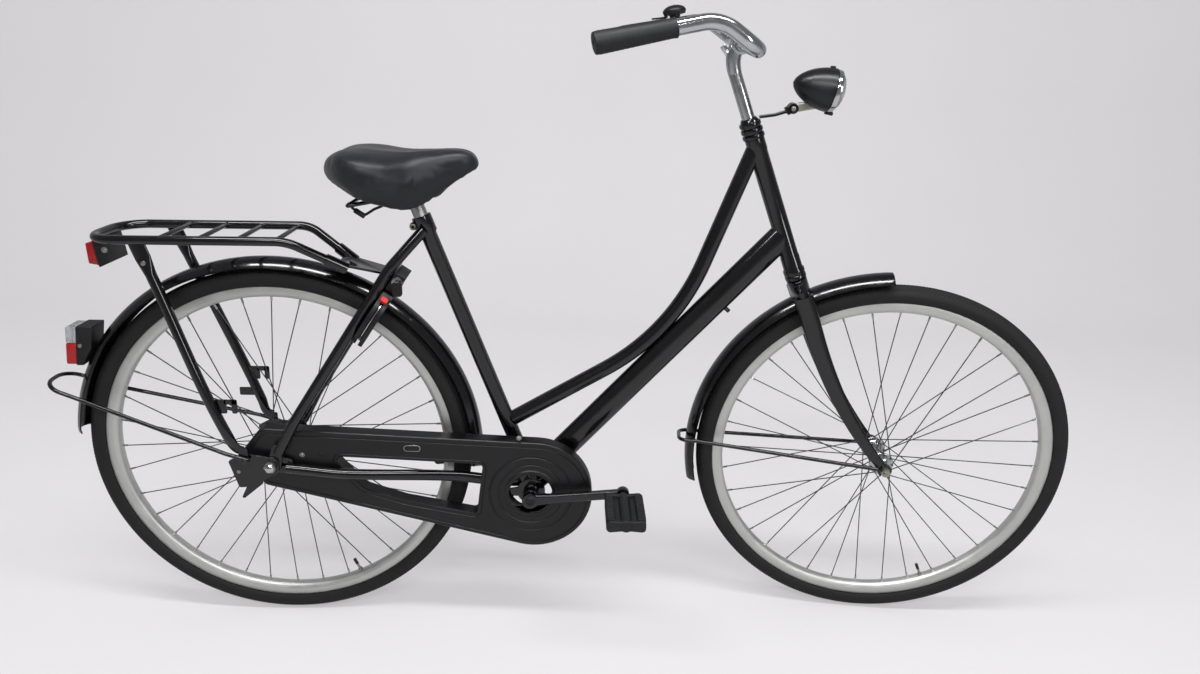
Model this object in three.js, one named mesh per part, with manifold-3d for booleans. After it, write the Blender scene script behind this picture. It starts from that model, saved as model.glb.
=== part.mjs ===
// A Dutch city bike, built as an assembly of separate pieces.
// Millimetres. X points forward, Y to the rider's left, Z up.
// The origin is on the ground under the rear axle, where the rear tyre stands.

import * as THREE from 'three';
import { mergeVertices } from 'three/addons/utils/BufferGeometryUtils.js';
import Module from 'manifold-3d';

const wasm = await Module();
wasm.setup();

// Driving sizes of the whole bike

const DEGREE = Math.PI / 180;
const HALF_TURN = Math.PI;
const FULL_TURN = 2 * Math.PI;
const GAP = 0.3;
const OVERRUN = 5;

const WHEELBASE = 1129;
const TYRE_RADIUS = 348.5;
const TYRE_SECTION_RADIUS = 18.5;
const TREAD_STRIP_WIDTH = 10;
const WHEEL_SIDES = 36;

const HEAD_ANGLE = 68.2 * DEGREE;
const FORK_RAKE = 50.5;
const STEERING_TURN = -7 * DEGREE;
const TURNED_LIFT = 0.15;

const SEAT_ANGLE = 69 * DEGREE;
const BRACKET_FORWARD = 463;
const BRACKET_HEIGHT = 288;
const DOWN_TUBE_ANGLE = 48 * DEGREE;

const CRANK_LENGTH = 170;
const CRANK_TURN = 5 * DEGREE;
const CHAINLINE = 45;

// Places that many pieces share

const at = (x, y, z) => new THREE.Vector3(x, y, z);
const along = (start, direction, distance) => start.clone().addScaledVector(direction, distance);
const SIDEWAYS = at(0, 1, 0);
const UP = at(0, 0, 1);

const AXLE_HEIGHT = TYRE_RADIUS;
const rearAxle = at(0, 0, AXLE_HEIGHT);
const frontAxle = at(WHEELBASE, 0, AXLE_HEIGHT + TURNED_LIFT);
const bracket = at(BRACKET_FORWARD, 0, BRACKET_HEIGHT);

const headUp = at(-Math.cos(HEAD_ANGLE), 0, Math.sin(HEAD_ANGLE));
const headAhead = at(Math.sin(HEAD_ANGLE), 0, Math.cos(HEAD_ANGLE));
const headFoot = along(frontAxle, headAhead, -FORK_RAKE);
const seatUp = at(-Math.cos(SEAT_ANGLE), 0, Math.sin(SEAT_ANGLE));
const seatAhead = at(Math.sin(SEAT_ANGLE), 0, Math.cos(SEAT_ANGLE));
const onHeadAxis = (distance, ahead = 0) => along(along(headFoot, headUp, distance), headAhead, ahead);
const onSeatAxis = (distance, ahead = 0) => along(along(bracket, seatUp, distance), seatAhead, ahead);

// Finishes

function finish(colour, roughness, metalness) {
  return new THREE.MeshStandardMaterial({ color: colour, roughness, metalness });
}

const paint = finish('#15161a', 0.25, 0.2);
const plastic = finish('#1b1c1f', 0.5, 0);
const rubber = finish('#1d1d1f', 0.85, 0);
const leatherette = finish('#23252b', 0.55, 0);
const aluminium = finish('#b9bcbf', 0.35, 0.9);
const chrome = finish('#c9cbcd', 0.15, 1);
const zinc = finish('#a7a596', 0.4, 0.9);
const redLens = finish('#7c1216', 0.2, 0);
const redPlastic = finish('#d8281f', 0.4, 0);
const clearLens = finish('#cfd3d6', 0.1, 0);

// Solid helpers

function outward(geometry) {
  const position = geometry.getAttribute('position');
  const index = geometry.index;
  const [a, b, c] = [at(0, 0, 0), at(0, 0, 0), at(0, 0, 0)];
  let volume = 0;
  for (let i = 0; i < index.count; i += 3) {
    a.fromBufferAttribute(position, index.getX(i));
    b.fromBufferAttribute(position, index.getX(i + 1));
    c.fromBufferAttribute(position, index.getX(i + 2));
    volume += a.dot(b.cross(c));
  }
  if (volume < 0) {
    for (let i = 0; i < index.count; i += 3) {
      const first = index.getX(i);
      index.setX(i, index.getX(i + 1));
      index.setX(i + 1, first);
    }
  }
  return geometry;
}

function welded(geometry) {
  const bare = geometry.clone();
  for (const name of Object.keys(bare.attributes)) {
    if (name !== 'position') bare.deleteAttribute(name);
  }
  return outward(dropFlat(mergeVertices(bare)));
}

function dropFlat(geometry) {
  const index = geometry.index;
  const kept = [];
  for (let i = 0; i < index.count; i += 3) {
    const [a, b, c] = [index.getX(i), index.getX(i + 1), index.getX(i + 2)];
    if (a !== b && b !== c && c !== a) kept.push(a, b, c);
  }
  geometry.setIndex(kept);
  return geometry;
}

function toSolid(geometry) {
  const clean = welded(geometry);
  return new wasm.Manifold(new wasm.Mesh({
    numProp: 3,
    vertProperties: new Float32Array(clean.getAttribute('position').array),
    triVerts: new Uint32Array(clean.index.array),
  }));
}

function toGeometry(solid) {
  const mesh = solid.getMesh();
  const geometry = new THREE.BufferGeometry();
  geometry.setAttribute('position', new THREE.BufferAttribute(mesh.vertProperties, 3));
  geometry.setIndex(new THREE.BufferAttribute(mesh.triVerts, 1));
  return geometry;
}

function join(first, ...others) {
  return toGeometry(others.reduce((solid, next) => solid.add(toSolid(next)), toSolid(first)));
}

function cut(first, ...tools) {
  return toGeometry(tools.reduce((solid, next) => solid.subtract(toSolid(next)), toSolid(first)));
}

function mirrored(geometry) {
  return geometry.clone().scale(1, -1, 1);
}

// Shape helpers

const steps = (count) => Array.from({ length: count }, (_, i) => i);

function circle(radius, sides) {
  return steps(sides).map((i) => {
    const angle = (i + 0.5) * FULL_TURN / sides;
    return new THREE.Vector2(radius * Math.cos(angle), radius * Math.sin(angle));
  });
}

function turnedTo(geometry, origin, direction) {
  const turn = new THREE.Quaternion().setFromUnitVectors(SIDEWAYS, direction.clone().normalize());
  return geometry.applyQuaternion(turn).translate(origin.x, origin.y, origin.z);
}

function cone(from, to, fromRadius, toRadius, sides = 16) {
  const direction = to.clone().sub(from);
  const middle = from.clone().lerp(to, 0.5);
  const geometry = new THREE.CylinderGeometry(toRadius, fromRadius, direction.length(), sides);
  return turnedTo(geometry, middle, direction);
}

function rod(from, to, radius, sides = 12) {
  return cone(from, to, radius, radius, sides);
}

// A rod to cut with, wide enough that its flats clear a round piece by the gap
function clearRod(from, to, radius, sides = 16) {
  return rod(from, to, (radius + GAP) / Math.cos(HALF_TURN / sides), sides);
}

// A ring or turned piece: the profile is [radius, distance along the axis] and closes on itself
function turned(profile, origin, direction, sides = 16) {
  const points = [...profile, profile[0]].map(([radius, height]) => new THREE.Vector2(radius, height));
  return turnedTo(new THREE.LatheGeometry(points, sides, HALF_TURN / sides), origin, direction);
}

function tubeWall(from, to, radius, bore, sides = 16) {
  const direction = to.clone().sub(from);
  const profile = [[bore, 0], [radius, 0], [radius, direction.length()], [bore, direction.length()]];
  return turned(profile, from, direction, sides);
}

// A flat plate whose outline lies in the X Z plane, from one Y to another
function plate(points, fromY, toY) {
  const shape = new THREE.Shape(points.map(([x, z]) => new THREE.Vector2(x, z)));
  const settings = { depth: Math.abs(toY - fromY), bevelEnabled: false, steps: 1 };
  const geometry = new THREE.ExtrudeGeometry(shape, settings);
  return geometry.rotateX(HALF_TURN / 2).translate(0, Math.max(fromY, toY), 0);
}

function block(from, to) {
  const size = to.clone().sub(from);
  const middle = from.clone().lerp(to, 0.5);
  const geometry = new THREE.BoxGeometry(Math.abs(size.x), Math.abs(size.y), Math.abs(size.z));
  return geometry.translate(middle.x, middle.y, middle.z);
}

// A closed outline from corners [x, z, radius], listed anticlockwise, moved inward by inset
function rounded(corners, inset = 0, arcStep = 20 * DEGREE) {
  const count = corners.length;
  const sides = corners.map(([x, z], i) => {
    const [nextX, nextZ] = corners[(i + 1) % count];
    return new THREE.Vector2(nextX - x, nextZ - z).normalize();
  });
  const inward = (side) => new THREE.Vector2(-side.y, side.x);
  const moved = corners.map(([x, z], i) => {
    const [before, after] = [inward(sides[(i + count - 1) % count]), inward(sides[i])];
    const shift = before.clone().add(after).multiplyScalar(inset / (1 + before.dot(after)));
    return new THREE.Vector2(x, z).add(shift);
  });
  return corners.flatMap(([, , radius], i) => {
    const [before, after] = [sides[(i + count - 1) % count], sides[i]];
    const turn = Math.atan2(before.cross(after), before.dot(after));
    const arc = Math.max(radius - inset * Math.sign(turn), GAP);
    const reach = arc * Math.tan(Math.abs(turn) / 2);
    const start = moved[i].clone().addScaledVector(before, -reach);
    const centre = start.clone().addScaledVector(inward(before), arc * Math.sign(turn));
    const pieces = Math.max(2, Math.ceil(Math.abs(turn) / arcStep));
    return steps(pieces + 1).map((k) => {
      const point = start.clone().rotateAround(centre, turn * k / pieces);
      return [point.x, point.y];
    });
  });
}

// A path of straight runs joined by arcs: corners are points and the bend radius at each
class BentPath extends THREE.Curve {
  constructor(points, radii, arcStep) {
    super();
    this.stations = [points[0].clone()];
    this.headings = [points[1].clone().sub(points[0]).normalize()];
    for (let i = 1; i < points.length - 1; i += 1) {
      this.bend(points[i - 1], points[i], points[i + 1], radii[i - 1], arcStep);
    }
    this.stations.push(points.at(-1).clone());
    this.headings.push(points.at(-1).clone().sub(points.at(-2)).normalize());
  }

  bend(before, corner, after, radius, arcStep) {
    const first = corner.clone().sub(before).normalize();
    const second = after.clone().sub(corner).normalize();
    const turn = first.angleTo(second);
    const axis = first.clone().cross(second).normalize();
    const start = along(corner, first, -radius * Math.tan(turn / 2));
    const centre = along(start, axis.clone().cross(first), radius);
    const pieces = Math.max(2, Math.ceil(turn / arcStep));
    for (const k of steps(pieces + 1)) {
      const angle = turn * k / pieces;
      this.stations.push(start.clone().sub(centre).applyAxisAngle(axis, angle).add(centre));
      this.headings.push(first.clone().applyAxisAngle(axis, angle));
    }
  }

  station(share) {
    return Math.round(share * (this.stations.length - 1));
  }

  getPointAt(share) {
    return this.stations[this.station(share)].clone();
  }

  getTangentAt(share) {
    return this.headings[this.station(share)].clone();
  }
}

function pipe(points, radii, radius, sides = 8, arcStep = 20 * DEGREE) {
  const path = new BentPath(points, radii, arcStep);
  const settings = { steps: path.stations.length - 1, extrudePath: path, bevelEnabled: false };
  return new THREE.ExtrudeGeometry(new THREE.Shape(circle(radius, sides)), settings);
}

// A skin over rings of points, closed at both ends
function loft(rings) {
  const size = rings[0].length;
  const corners = rings.flat();
  const faces = [];
  for (const i of steps(rings.length - 1)) {
    for (const k of steps(size)) {
      const [a, b] = [i * size + k, i * size + (k + 1) % size];
      faces.push(a, b, b + size, a, b + size, a + size);
    }
  }
  const last = (rings.length - 1) * size;
  const flat = (ring) => {
    const normal = ring[1].clone().sub(ring[0]).cross(ring[Math.floor(size / 2)].clone().sub(ring[0]));
    const side = ring[1].clone().sub(ring[0]).normalize();
    const other = normal.normalize().cross(side);
    return ring.map((point) => new THREE.Vector2(point.dot(side), point.dot(other)));
  };
  const capFaces = (ring) => THREE.ShapeUtils.triangulateShape(flat(ring), []);
  for (const [a, b, c] of capFaces(rings[0])) faces.push(c, b, a);
  for (const [a, b, c] of capFaces(rings.at(-1))) faces.push(last + a, last + b, last + c);
  const geometry = new THREE.BufferGeometry();
  geometry.setAttribute('position', new THREE.Float32BufferAttribute(corners.flatMap((p) => [p.x, p.y, p.z]), 3));
  geometry.setIndex(faces);
  return geometry;
}

// An oval tube: each station has a centre, a half width along side and a half height across it
function ovalTube(stations, side, sides = 8) {
  const rings = stations.map(({ centre, width, height }, i) => {
    const before = stations[Math.max(i - 1, 0)].centre;
    const after = stations[Math.min(i + 1, stations.length - 1)].centre;
    const heading = after.clone().sub(before).normalize();
    const level = along(side, heading, -side.dot(heading)).normalize();
    const across = heading.clone().cross(level);
    return circle(1, sides).map(({ x, y }) => along(along(centre, level, x * width), across, y * height));
  });
  return loft(rings);
}

// A sector of a flat ring in the X Y plane, around Z
function ringSector(inner, outer, halfThickness, from, to, arcStep = 10 * DEGREE) {
  const pieces = Math.ceil((to - from) / arcStep);
  const arc = (radius) => steps(pieces + 1).map((i) => {
    const angle = from + (to - from) * i / pieces;
    return new THREE.Vector2(radius * Math.cos(angle), radius * Math.sin(angle));
  });
  const shape = new THREE.Shape([...arc(outer), ...arc(inner).reverse()]);
  const settings = { depth: 2 * halfThickness, bevelEnabled: false, steps: 1 };
  return new THREE.ExtrudeGeometry(shape, settings).translate(0, 0, -halfThickness);
}

// A guard's thin arched section carried round the wheel, from one angle to another
function guardStrip(guard, axle) {
  const pieces = Math.ceil((guard.to - guard.from) / guard.arcStep);
  const arch = (outset) => steps(guard.sectionSteps + 1).map((i) => {
    const share = 2 * i / guard.sectionSteps - 1;
    const drop = guard.depth * Math.abs(share) ** guard.crownPower;
    return [share * (guard.halfWidth + outset), guardCrest(guard) - drop - guard.wall + outset];
  });
  const section = [...arch(guard.wall), ...arch(0).reverse()];
  const rings = steps(pieces + 1).map((i) => {
    const angle = guard.from + (guard.to - guard.from) * i / pieces;
    const outwards = at(Math.cos(angle), 0, Math.sin(angle));
    return section.map(([y, radius]) => along(along(axle, outwards, radius), SIDEWAYS, y));
  });
  return loft(rings);
}

// The scene graph

const bike = new THREE.Group();
bike.name = 'dutch_city_bike';

const steering = new THREE.Group();
steering.position.copy(headFoot);
steering.quaternion.setFromAxisAngle(headUp, STEERING_TURN);
const steered = new THREE.Group();
steered.position.copy(headFoot).negate();
steering.add(steered);
bike.add(steering);

function add(parent, name, geometry, material) {
  const mesh = new THREE.Mesh(welded(geometry), material);
  mesh.name = name;
  parent.add(mesh);
  return mesh;
}

// Frame tubes

const HEAD = { radius: 16, bore: 14.2, from: 416, to: 663, cupFrom: 398.3, cupRadius: 19 };
const SEAT_TUBE = {
  radius: 14, bore: 12.9, length: 545, lugRadius: 17, lugLength: 34,
  boltRadius: 3.5, boltHalf: 16, boltDrop: 12, boltBack: 17, earRadius: 7, earHalf: 10,
};
const SHELL = { radius: 20, bore: 17, halfWidth: 34, cupBore: 8.3, cupDepth: 7 };
const TOP_TUBE = {
  radius: 14, onHead: 651, onSeat: 129.5, lowSlope: 31.2 * DEGREE, highSlope: 70.2 * DEGREE, bendRadius: 400,
};
const DOWN_TUBE = { side: 16, height: 24, bracketHeight: 20, swellShare: 0.14, onHead: 483 };
const PEG = { share: 0.75, radius: 4, length: 9 };

const headCutter = clearRod(onHeadAxis(HEAD.from - OVERRUN), onHeadAxis(HEAD.to + OVERRUN), HEAD.radius);
const shellCutter = clearRod(
  along(bracket, SIDEWAYS, -SHELL.halfWidth - OVERRUN),
  along(bracket, SIDEWAYS, SHELL.halfWidth + OVERRUN),
  SHELL.radius,
);
const seatCutter = clearRod(onSeatAxis(0), onSeatAxis(SEAT_TUBE.length), SEAT_TUBE.radius);

function buildHeadTube() {
  const profile = [
    [HEAD.bore, HEAD.cupFrom], [HEAD.cupRadius, HEAD.cupFrom], [HEAD.cupRadius, HEAD.from],
    [HEAD.radius, HEAD.from + HEAD.cupRadius - HEAD.radius], [HEAD.radius, HEAD.to], [HEAD.bore, HEAD.to],
  ];
  add(bike, 'head_tube', turned(profile, headFoot, headUp), paint);
}

function buildSeatTube() {
  const lugFrom = SEAT_TUBE.length - SEAT_TUBE.lugLength;
  const profile = [
    [SEAT_TUBE.bore, 0], [SEAT_TUBE.radius, 0], [SEAT_TUBE.radius, lugFrom],
    [SEAT_TUBE.lugRadius, lugFrom + SEAT_TUBE.lugRadius - SEAT_TUBE.radius],
    [SEAT_TUBE.lugRadius, SEAT_TUBE.length], [SEAT_TUBE.bore, SEAT_TUBE.length],
  ];
  const tube = turned(profile, bracket, seatUp, 16);
  const boltPlace = onSeatAxis(SEAT_TUBE.length - SEAT_TUBE.boltDrop, -SEAT_TUBE.boltBack);
  const bolt = rod(
    along(boltPlace, SIDEWAYS, -SEAT_TUBE.boltHalf),
    along(boltPlace, SIDEWAYS, SEAT_TUBE.boltHalf),
    SEAT_TUBE.boltRadius,
    6,
  );
  const ears = rod(
    along(boltPlace, SIDEWAYS, -SEAT_TUBE.earHalf),
    along(boltPlace, SIDEWAYS, SEAT_TUBE.earHalf),
    SEAT_TUBE.earRadius,
    8,
  );
  const boreCutter = rod(onSeatAxis(-OVERRUN), onSeatAxis(SEAT_TUBE.length + OVERRUN), SEAT_TUBE.bore, 16);
  add(bike, 'seat_tube', cut(join(tube, cut(join(ears, bolt), boreCutter)), shellCutter), paint);
}

function buildBracketShell() {
  const lip = SHELL.halfWidth - SHELL.cupDepth;
  const profile = [
    [SHELL.cupBore, -SHELL.halfWidth], [SHELL.radius, -SHELL.halfWidth],
    [SHELL.radius, SHELL.halfWidth], [SHELL.cupBore, SHELL.halfWidth],
    [SHELL.cupBore, lip], [SHELL.bore, lip], [SHELL.bore, -lip], [SHELL.cupBore, -lip],
  ];
  add(bike, 'bottom_bracket_shell', turned(profile, bracket, SIDEWAYS, 16), paint);
}

function buildTopTube() {
  const start = onHeadAxis(TOP_TUBE.onHead);
  const end = onSeatAxis(TOP_TUBE.onSeat);
  const rise = at(Math.cos(TOP_TUBE.lowSlope), 0, Math.sin(TOP_TUBE.lowSlope));
  const fall = at(-Math.cos(TOP_TUBE.highSlope), 0, -Math.sin(TOP_TUBE.highSlope));
  const between = start.clone().sub(end);
  const lowRun = (between.x * fall.z - between.z * fall.x) / (rise.x * fall.z - rise.z * fall.x);
  const tube = pipe([start, along(end, rise, lowRun), end], [TOP_TUBE.bendRadius], TOP_TUBE.radius, 10, 7 * DEGREE);
  add(bike, 'top_tube', cut(tube, headCutter, seatCutter), paint);
}

function buildDownTube() {
  const end = onHeadAxis(DOWN_TUBE.onHead);
  const station = (share, height) => ({
    centre: bracket.clone().lerp(end, share), width: DOWN_TUBE.side, height,
  });
  const stations = [station(0, DOWN_TUBE.bracketHeight), station(DOWN_TUBE.swellShare, DOWN_TUBE.height)];
  const tube = ovalTube([...stations, station(1, DOWN_TUBE.height)], SIDEWAYS, 12);
  const below = at(Math.sin(DOWN_TUBE_ANGLE), 0, -Math.cos(DOWN_TUBE_ANGLE));
  const pegTop = bracket.clone().lerp(end, PEG.share);
  const peg = rod(pegTop, along(pegTop, below, DOWN_TUBE.height + PEG.length), PEG.radius, 8);
  const mitred = cut(join(tube, peg), headCutter, shellCutter, seatCutter);
  add(bike, 'down_tube', mitred, paint);
}

// Chainstays with their fork ends, and seat stays with the eyes that sit on the axle

const FORK_END = { inner: 60, outer: 65, slot: 5.4, rear: 27, low: 17, high: 20, front: 36, corner: 5 };
const CHAINSTAY = {
  outer: 68, radius: 9.5, inner: 34, flatHalf: 7, flatHeight: 11, atBracket: 26,
  rearX: 26, bendX: 118, meetX: 328, levelX: 400, drop: 5.5, frontDrop: 45,
};
const SEATSTAY = {
  radius: 9.5, outer: 68.2, footX: 14, footZ: 36, kneeX: 45, kneeZ: 84,
  shoulderX: 221, shoulderZ: 365.5, shoulderY: 45, topY: 21, belowTop: 22, bendRadius: 120,
  eyeRadius: 14, eyeCorner: 9, eyeThick: 3, bridgeRadius: 6, bridgeShare: 0.9, tabReach: 1.1,
};
const EYE_INNER = FORK_END.outer + GAP;

const REAR_AXLE = { radius: 5, half: 86, nutRadius: 11, nutThick: 8, nutFrom: 72, lockFrom: 50.6, lockRadius: 9 };

const stayPoint = (x, y, height) => at(x, y, AXLE_HEIGHT + height);
const chainstayStations = [
  [CHAINSTAY.rearX, CHAINSTAY.outer, 0, CHAINSTAY.radius, CHAINSTAY.radius],
  [CHAINSTAY.bendX, CHAINSTAY.outer, 0.22, CHAINSTAY.radius, CHAINSTAY.radius],
  [CHAINSTAY.meetX, CHAINSTAY.inner, 0.73, CHAINSTAY.flatHalf, CHAINSTAY.flatHeight],
  [CHAINSTAY.levelX, CHAINSTAY.inner, 0.9, CHAINSTAY.flatHalf, CHAINSTAY.flatHeight],
  [BRACKET_FORWARD, CHAINSTAY.atBracket, 1, CHAINSTAY.flatHalf, CHAINSTAY.flatHeight],
];

function chainstayTube(outset = 0) {
  const stations = chainstayStations.map(([x, y, dropShare, width, height]) => ({
    centre: stayPoint(x, -y, -CHAINSTAY.drop - dropShare * CHAINSTAY.frontDrop),
    width: width + outset,
    height: height + outset,
  }));
  return ovalTube(stations, SIDEWAYS);
}

function forkEnd() {
  const corners = [
    [FORK_END.front, AXLE_HEIGHT - FORK_END.low, FORK_END.corner],
    [FORK_END.front, AXLE_HEIGHT + FORK_END.high / 2, FORK_END.corner],
    [0, AXLE_HEIGHT + FORK_END.high, FORK_END.corner],
    [-FORK_END.rear, AXLE_HEIGHT + FORK_END.high / 2, FORK_END.corner],
    [-FORK_END.rear, AXLE_HEIGHT - FORK_END.low, FORK_END.corner],
  ];
  const slotCorners = [
    [-FORK_END.rear - OVERRUN, AXLE_HEIGHT - FORK_END.slot],
    [FORK_END.slot, AXLE_HEIGHT - FORK_END.slot],
    [FORK_END.slot, AXLE_HEIGHT + FORK_END.slot],
    [-FORK_END.rear - OVERRUN, AXLE_HEIGHT + FORK_END.slot],
  ];
  const slot = plate(slotCorners, -FORK_END.inner + OVERRUN, -FORK_END.outer - OVERRUN);
  return cut(plate(rounded(corners), -FORK_END.inner, -FORK_END.outer), slot);
}

function buildChainstays() {
  const outside = block(
    at(-FORK_END.rear, -FORK_END.outer, AXLE_HEIGHT - FORK_END.rear),
    at(CHAINSTAY.rearX - OVERRUN, -CHAINSTAY.outer - CHAINSTAY.radius - OVERRUN, AXLE_HEIGHT + FORK_END.rear),
  );
  const stay = cut(join(cut(chainstayTube(), outside), forkEnd()), shellCutter, seatCutter);
  add(bike, 'right_chainstay', stay, paint);
  add(bike, 'left_chainstay', mirrored(stay), paint);
}

const seatstayTop = onSeatAxis(SEAT_TUBE.length - SEATSTAY.belowTop);
const seatstayPath = [
  stayPoint(SEATSTAY.footX, -SEATSTAY.outer, SEATSTAY.footZ),
  stayPoint(SEATSTAY.kneeX, -SEATSTAY.outer, SEATSTAY.kneeZ),
  stayPoint(SEATSTAY.shoulderX, -SEATSTAY.shoulderY, SEATSTAY.shoulderZ),
  at(seatstayTop.x, -SEATSTAY.topY, seatstayTop.z),
];

function seatstay() {
  const tube = pipe(seatstayPath, [SEATSTAY.bendRadius, SEATSTAY.bendRadius / 2], SEATSTAY.radius);
  const corners = [
    [-SEATSTAY.eyeRadius, AXLE_HEIGHT - SEATSTAY.eyeRadius, SEATSTAY.eyeCorner],
    [SEATSTAY.eyeRadius, AXLE_HEIGHT - SEATSTAY.eyeRadius, SEATSTAY.eyeCorner],
    [SEATSTAY.footX + SEATSTAY.radius, AXLE_HEIGHT + SEATSTAY.footZ, FORK_END.corner],
    [SEATSTAY.footX - SEATSTAY.radius, AXLE_HEIGHT + SEATSTAY.footZ + FORK_END.corner, FORK_END.corner],
  ];
  const eye = plate(rounded(corners), -EYE_INNER, -EYE_INNER - SEATSTAY.eyeThick);
  const hole = rod(
    at(0, -FORK_END.inner, AXLE_HEIGHT),
    at(0, -FORK_END.inner - 4 * OVERRUN, AXLE_HEIGHT),
    REAR_AXLE.radius + GAP,
  );
  const lug = rod(
    onSeatAxis(SEAT_TUBE.length - 2 * SEAT_TUBE.lugLength),
    onSeatAxis(SEAT_TUBE.length + OVERRUN),
    SEAT_TUBE.lugRadius + GAP,
    24,
  );
  return cut(join(tube, eye), hole, lug);
}

const bridgePlace = seatstayPath[1].clone().lerp(seatstayPath[2], SEATSTAY.bridgeShare);

function buildSeatstays() {
  const bare = seatstay();
  const clear = SEATSTAY.radius + GAP;
  const far = pipe(seatstayPath, [SEATSTAY.bendRadius, SEATSTAY.bendRadius / 2], clear);
  const bridge = rod(bridgePlace, at(bridgePlace.x, -bridgePlace.y, bridgePlace.z), SEATSTAY.bridgeRadius, 12);
  const bridgeMiddle = at(bridgePlace.x, 0, bridgePlace.z);
  const inwards = rearAxle.clone().sub(bridgeMiddle).normalize();
  const guardTab = rod(bridgeMiddle, along(rearAxle, inwards, -guardCrest(REAR_GUARD) + SEATSTAY.tabReach), SEATSTAY.bridgeRadius);
  add(bike, 'right_seatstay', join(bare, cut(bridge, mirrored(far)), guardTab), paint);
  add(bike, 'left_seatstay', mirrored(bare), paint);
}

// Chaincase: a shell round the chain, open through the middle where the chainstay passes

const CASE = {
  outer: 57.5, inner: 31.5, wall: 1.5, faceWall: 3.5,
  rearTopX: -20, rearTopZ: 66.5, rearBackX: -57, rearBackZ: 19.5, rearLowX: -21, rearLowZ: -46.5,
  frontX: 114, frontLowZ: -143, frontTopZ: 99, lobeRadius: 107,
  cornerBack: 9, cornerTop: 22, cornerLow: 16,
  slotRearX: 103, slotTopZ: 12.5, slotFrontX: -88, slotFrontTopZ: 60, slotFrontLowX: -100, slotFrontLowZ: -43,
  slotLowX: 232, slotLowZ: -77.5, slotKneeX: 158, slotKneeZ: -52.5,
  slotCorner: 8, slotBend: 40, crankHole: 40, axleHole: 15, innerAxleHole: 24, edge: 5, stayClear: 1,
};
const BADGE = { x: 248, z: 31, half: 15, radius: 6, rise: 0.6 };

function caseCorners() {
  const rear = (x, z, radius) => [x, AXLE_HEIGHT + z, radius];
  const front = (x, z, radius) => [BRACKET_FORWARD + x, BRACKET_HEIGHT + z, radius];
  const shell = [
    rear(CASE.rearLowX, CASE.rearLowZ, CASE.cornerLow),
    front(CASE.frontX, CASE.frontLowZ, CASE.lobeRadius),
    front(CASE.frontX, CASE.frontTopZ, CASE.lobeRadius),
    rear(CASE.rearTopX, CASE.rearTopZ, CASE.cornerTop),
    rear(CASE.rearBackX, CASE.rearBackZ, CASE.cornerBack),
  ];
  const slot = [
    rear(CASE.slotRearX, CASE.slotTopZ, CASE.slotCorner),
    rear(CASE.slotKneeX, CASE.slotKneeZ, CASE.slotBend),
    rear(CASE.slotLowX, CASE.slotLowZ, CASE.slotBend),
    front(CASE.slotFrontLowX, CASE.slotFrontLowZ, CASE.slotCorner),
    front(CASE.slotFrontX, CASE.slotFrontTopZ, CASE.slotCorner),
  ];
  return { shell, slot };
}

function buildChaincase() {
  const { shell, slot } = caseCorners();
  const outline = rounded(shell);
  const body = plate(outline, -CASE.inner, -CASE.outer + CASE.edge / 2);
  const face = plate(rounded(shell, CASE.edge / 2), -CASE.inner, -CASE.outer);
  const through = plate(rounded(slot), -CASE.inner + OVERRUN, -CASE.outer - OVERRUN);
  const cavity = cut(
    plate(rounded(shell, CASE.wall), -CASE.inner - CASE.wall, -CASE.outer + CASE.faceWall),
    plate(rounded(slot, -CASE.wall), -CASE.inner, -CASE.outer),
  );
  const hole = (place, radius, fromY, toY) => rod(
    along(place, SIDEWAYS, -fromY), along(place, SIDEWAYS, -toY), radius, 20,
  );
  const badgeCorners = [
    [BADGE.x - BADGE.half, AXLE_HEIGHT + BADGE.z - BADGE.radius, BADGE.radius - GAP],
    [BADGE.x + BADGE.half, AXLE_HEIGHT + BADGE.z - BADGE.radius, BADGE.radius - GAP],
    [BADGE.x + BADGE.half, AXLE_HEIGHT + BADGE.z + BADGE.radius, BADGE.radius - GAP],
    [BADGE.x - BADGE.half, AXLE_HEIGHT + BADGE.z + BADGE.radius, BADGE.radius - GAP],
  ];
  const badge = plate(rounded(badgeCorners), -CASE.outer + CASE.wall / 2, -CASE.outer - BADGE.rise);
  const shaped = cut(
    join(body, face),
    through,
    cavity,
    hole(bracket, CASE.crankHole, CASE.inner - OVERRUN, CASE.outer + OVERRUN),
    hole(rearAxle, CASE.axleHole, CASE.outer - 2 * OVERRUN, CASE.outer + OVERRUN),
    hole(rearAxle, CASE.innerAxleHole, CASE.inner - OVERRUN, CASE.inner + OVERRUN),
    chainstayTube(CASE.stayClear),
  );
  add(bike, 'chaincase', join(shaped, badge), plastic);
}

// Drive: chainring, cranks, chain and rear sprocket

const LINK_PITCH = 12.7;
const RING = { teeth: 44, thick: 3, rim: 10, armWidth: 16, arms: 5, hub: 26, hubThick: 6 };
const SPROCKET = { teeth: 17, thick: 3, bore: 15.3 };
const CHAIN = { width: 8, depth: 8, toothDepth: 6 };
const pitchRadius = (teeth) => LINK_PITCH / (2 * Math.sin(HALF_TURN / teeth));
const tipRadius = (teeth) => pitchRadius(teeth) - CHAIN.depth / 2 - GAP;

function toothedOutline(teeth, centre) {
  const tip = tipRadius(teeth);
  return steps(teeth).map((i) => {
    const angle = i * FULL_TURN / teeth;
    const radius = i % 2 ? tip - CHAIN.toothDepth / 2 : tip;
    return [centre.x + radius * Math.cos(angle), centre.z + radius * Math.sin(angle)];
  });
}

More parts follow.
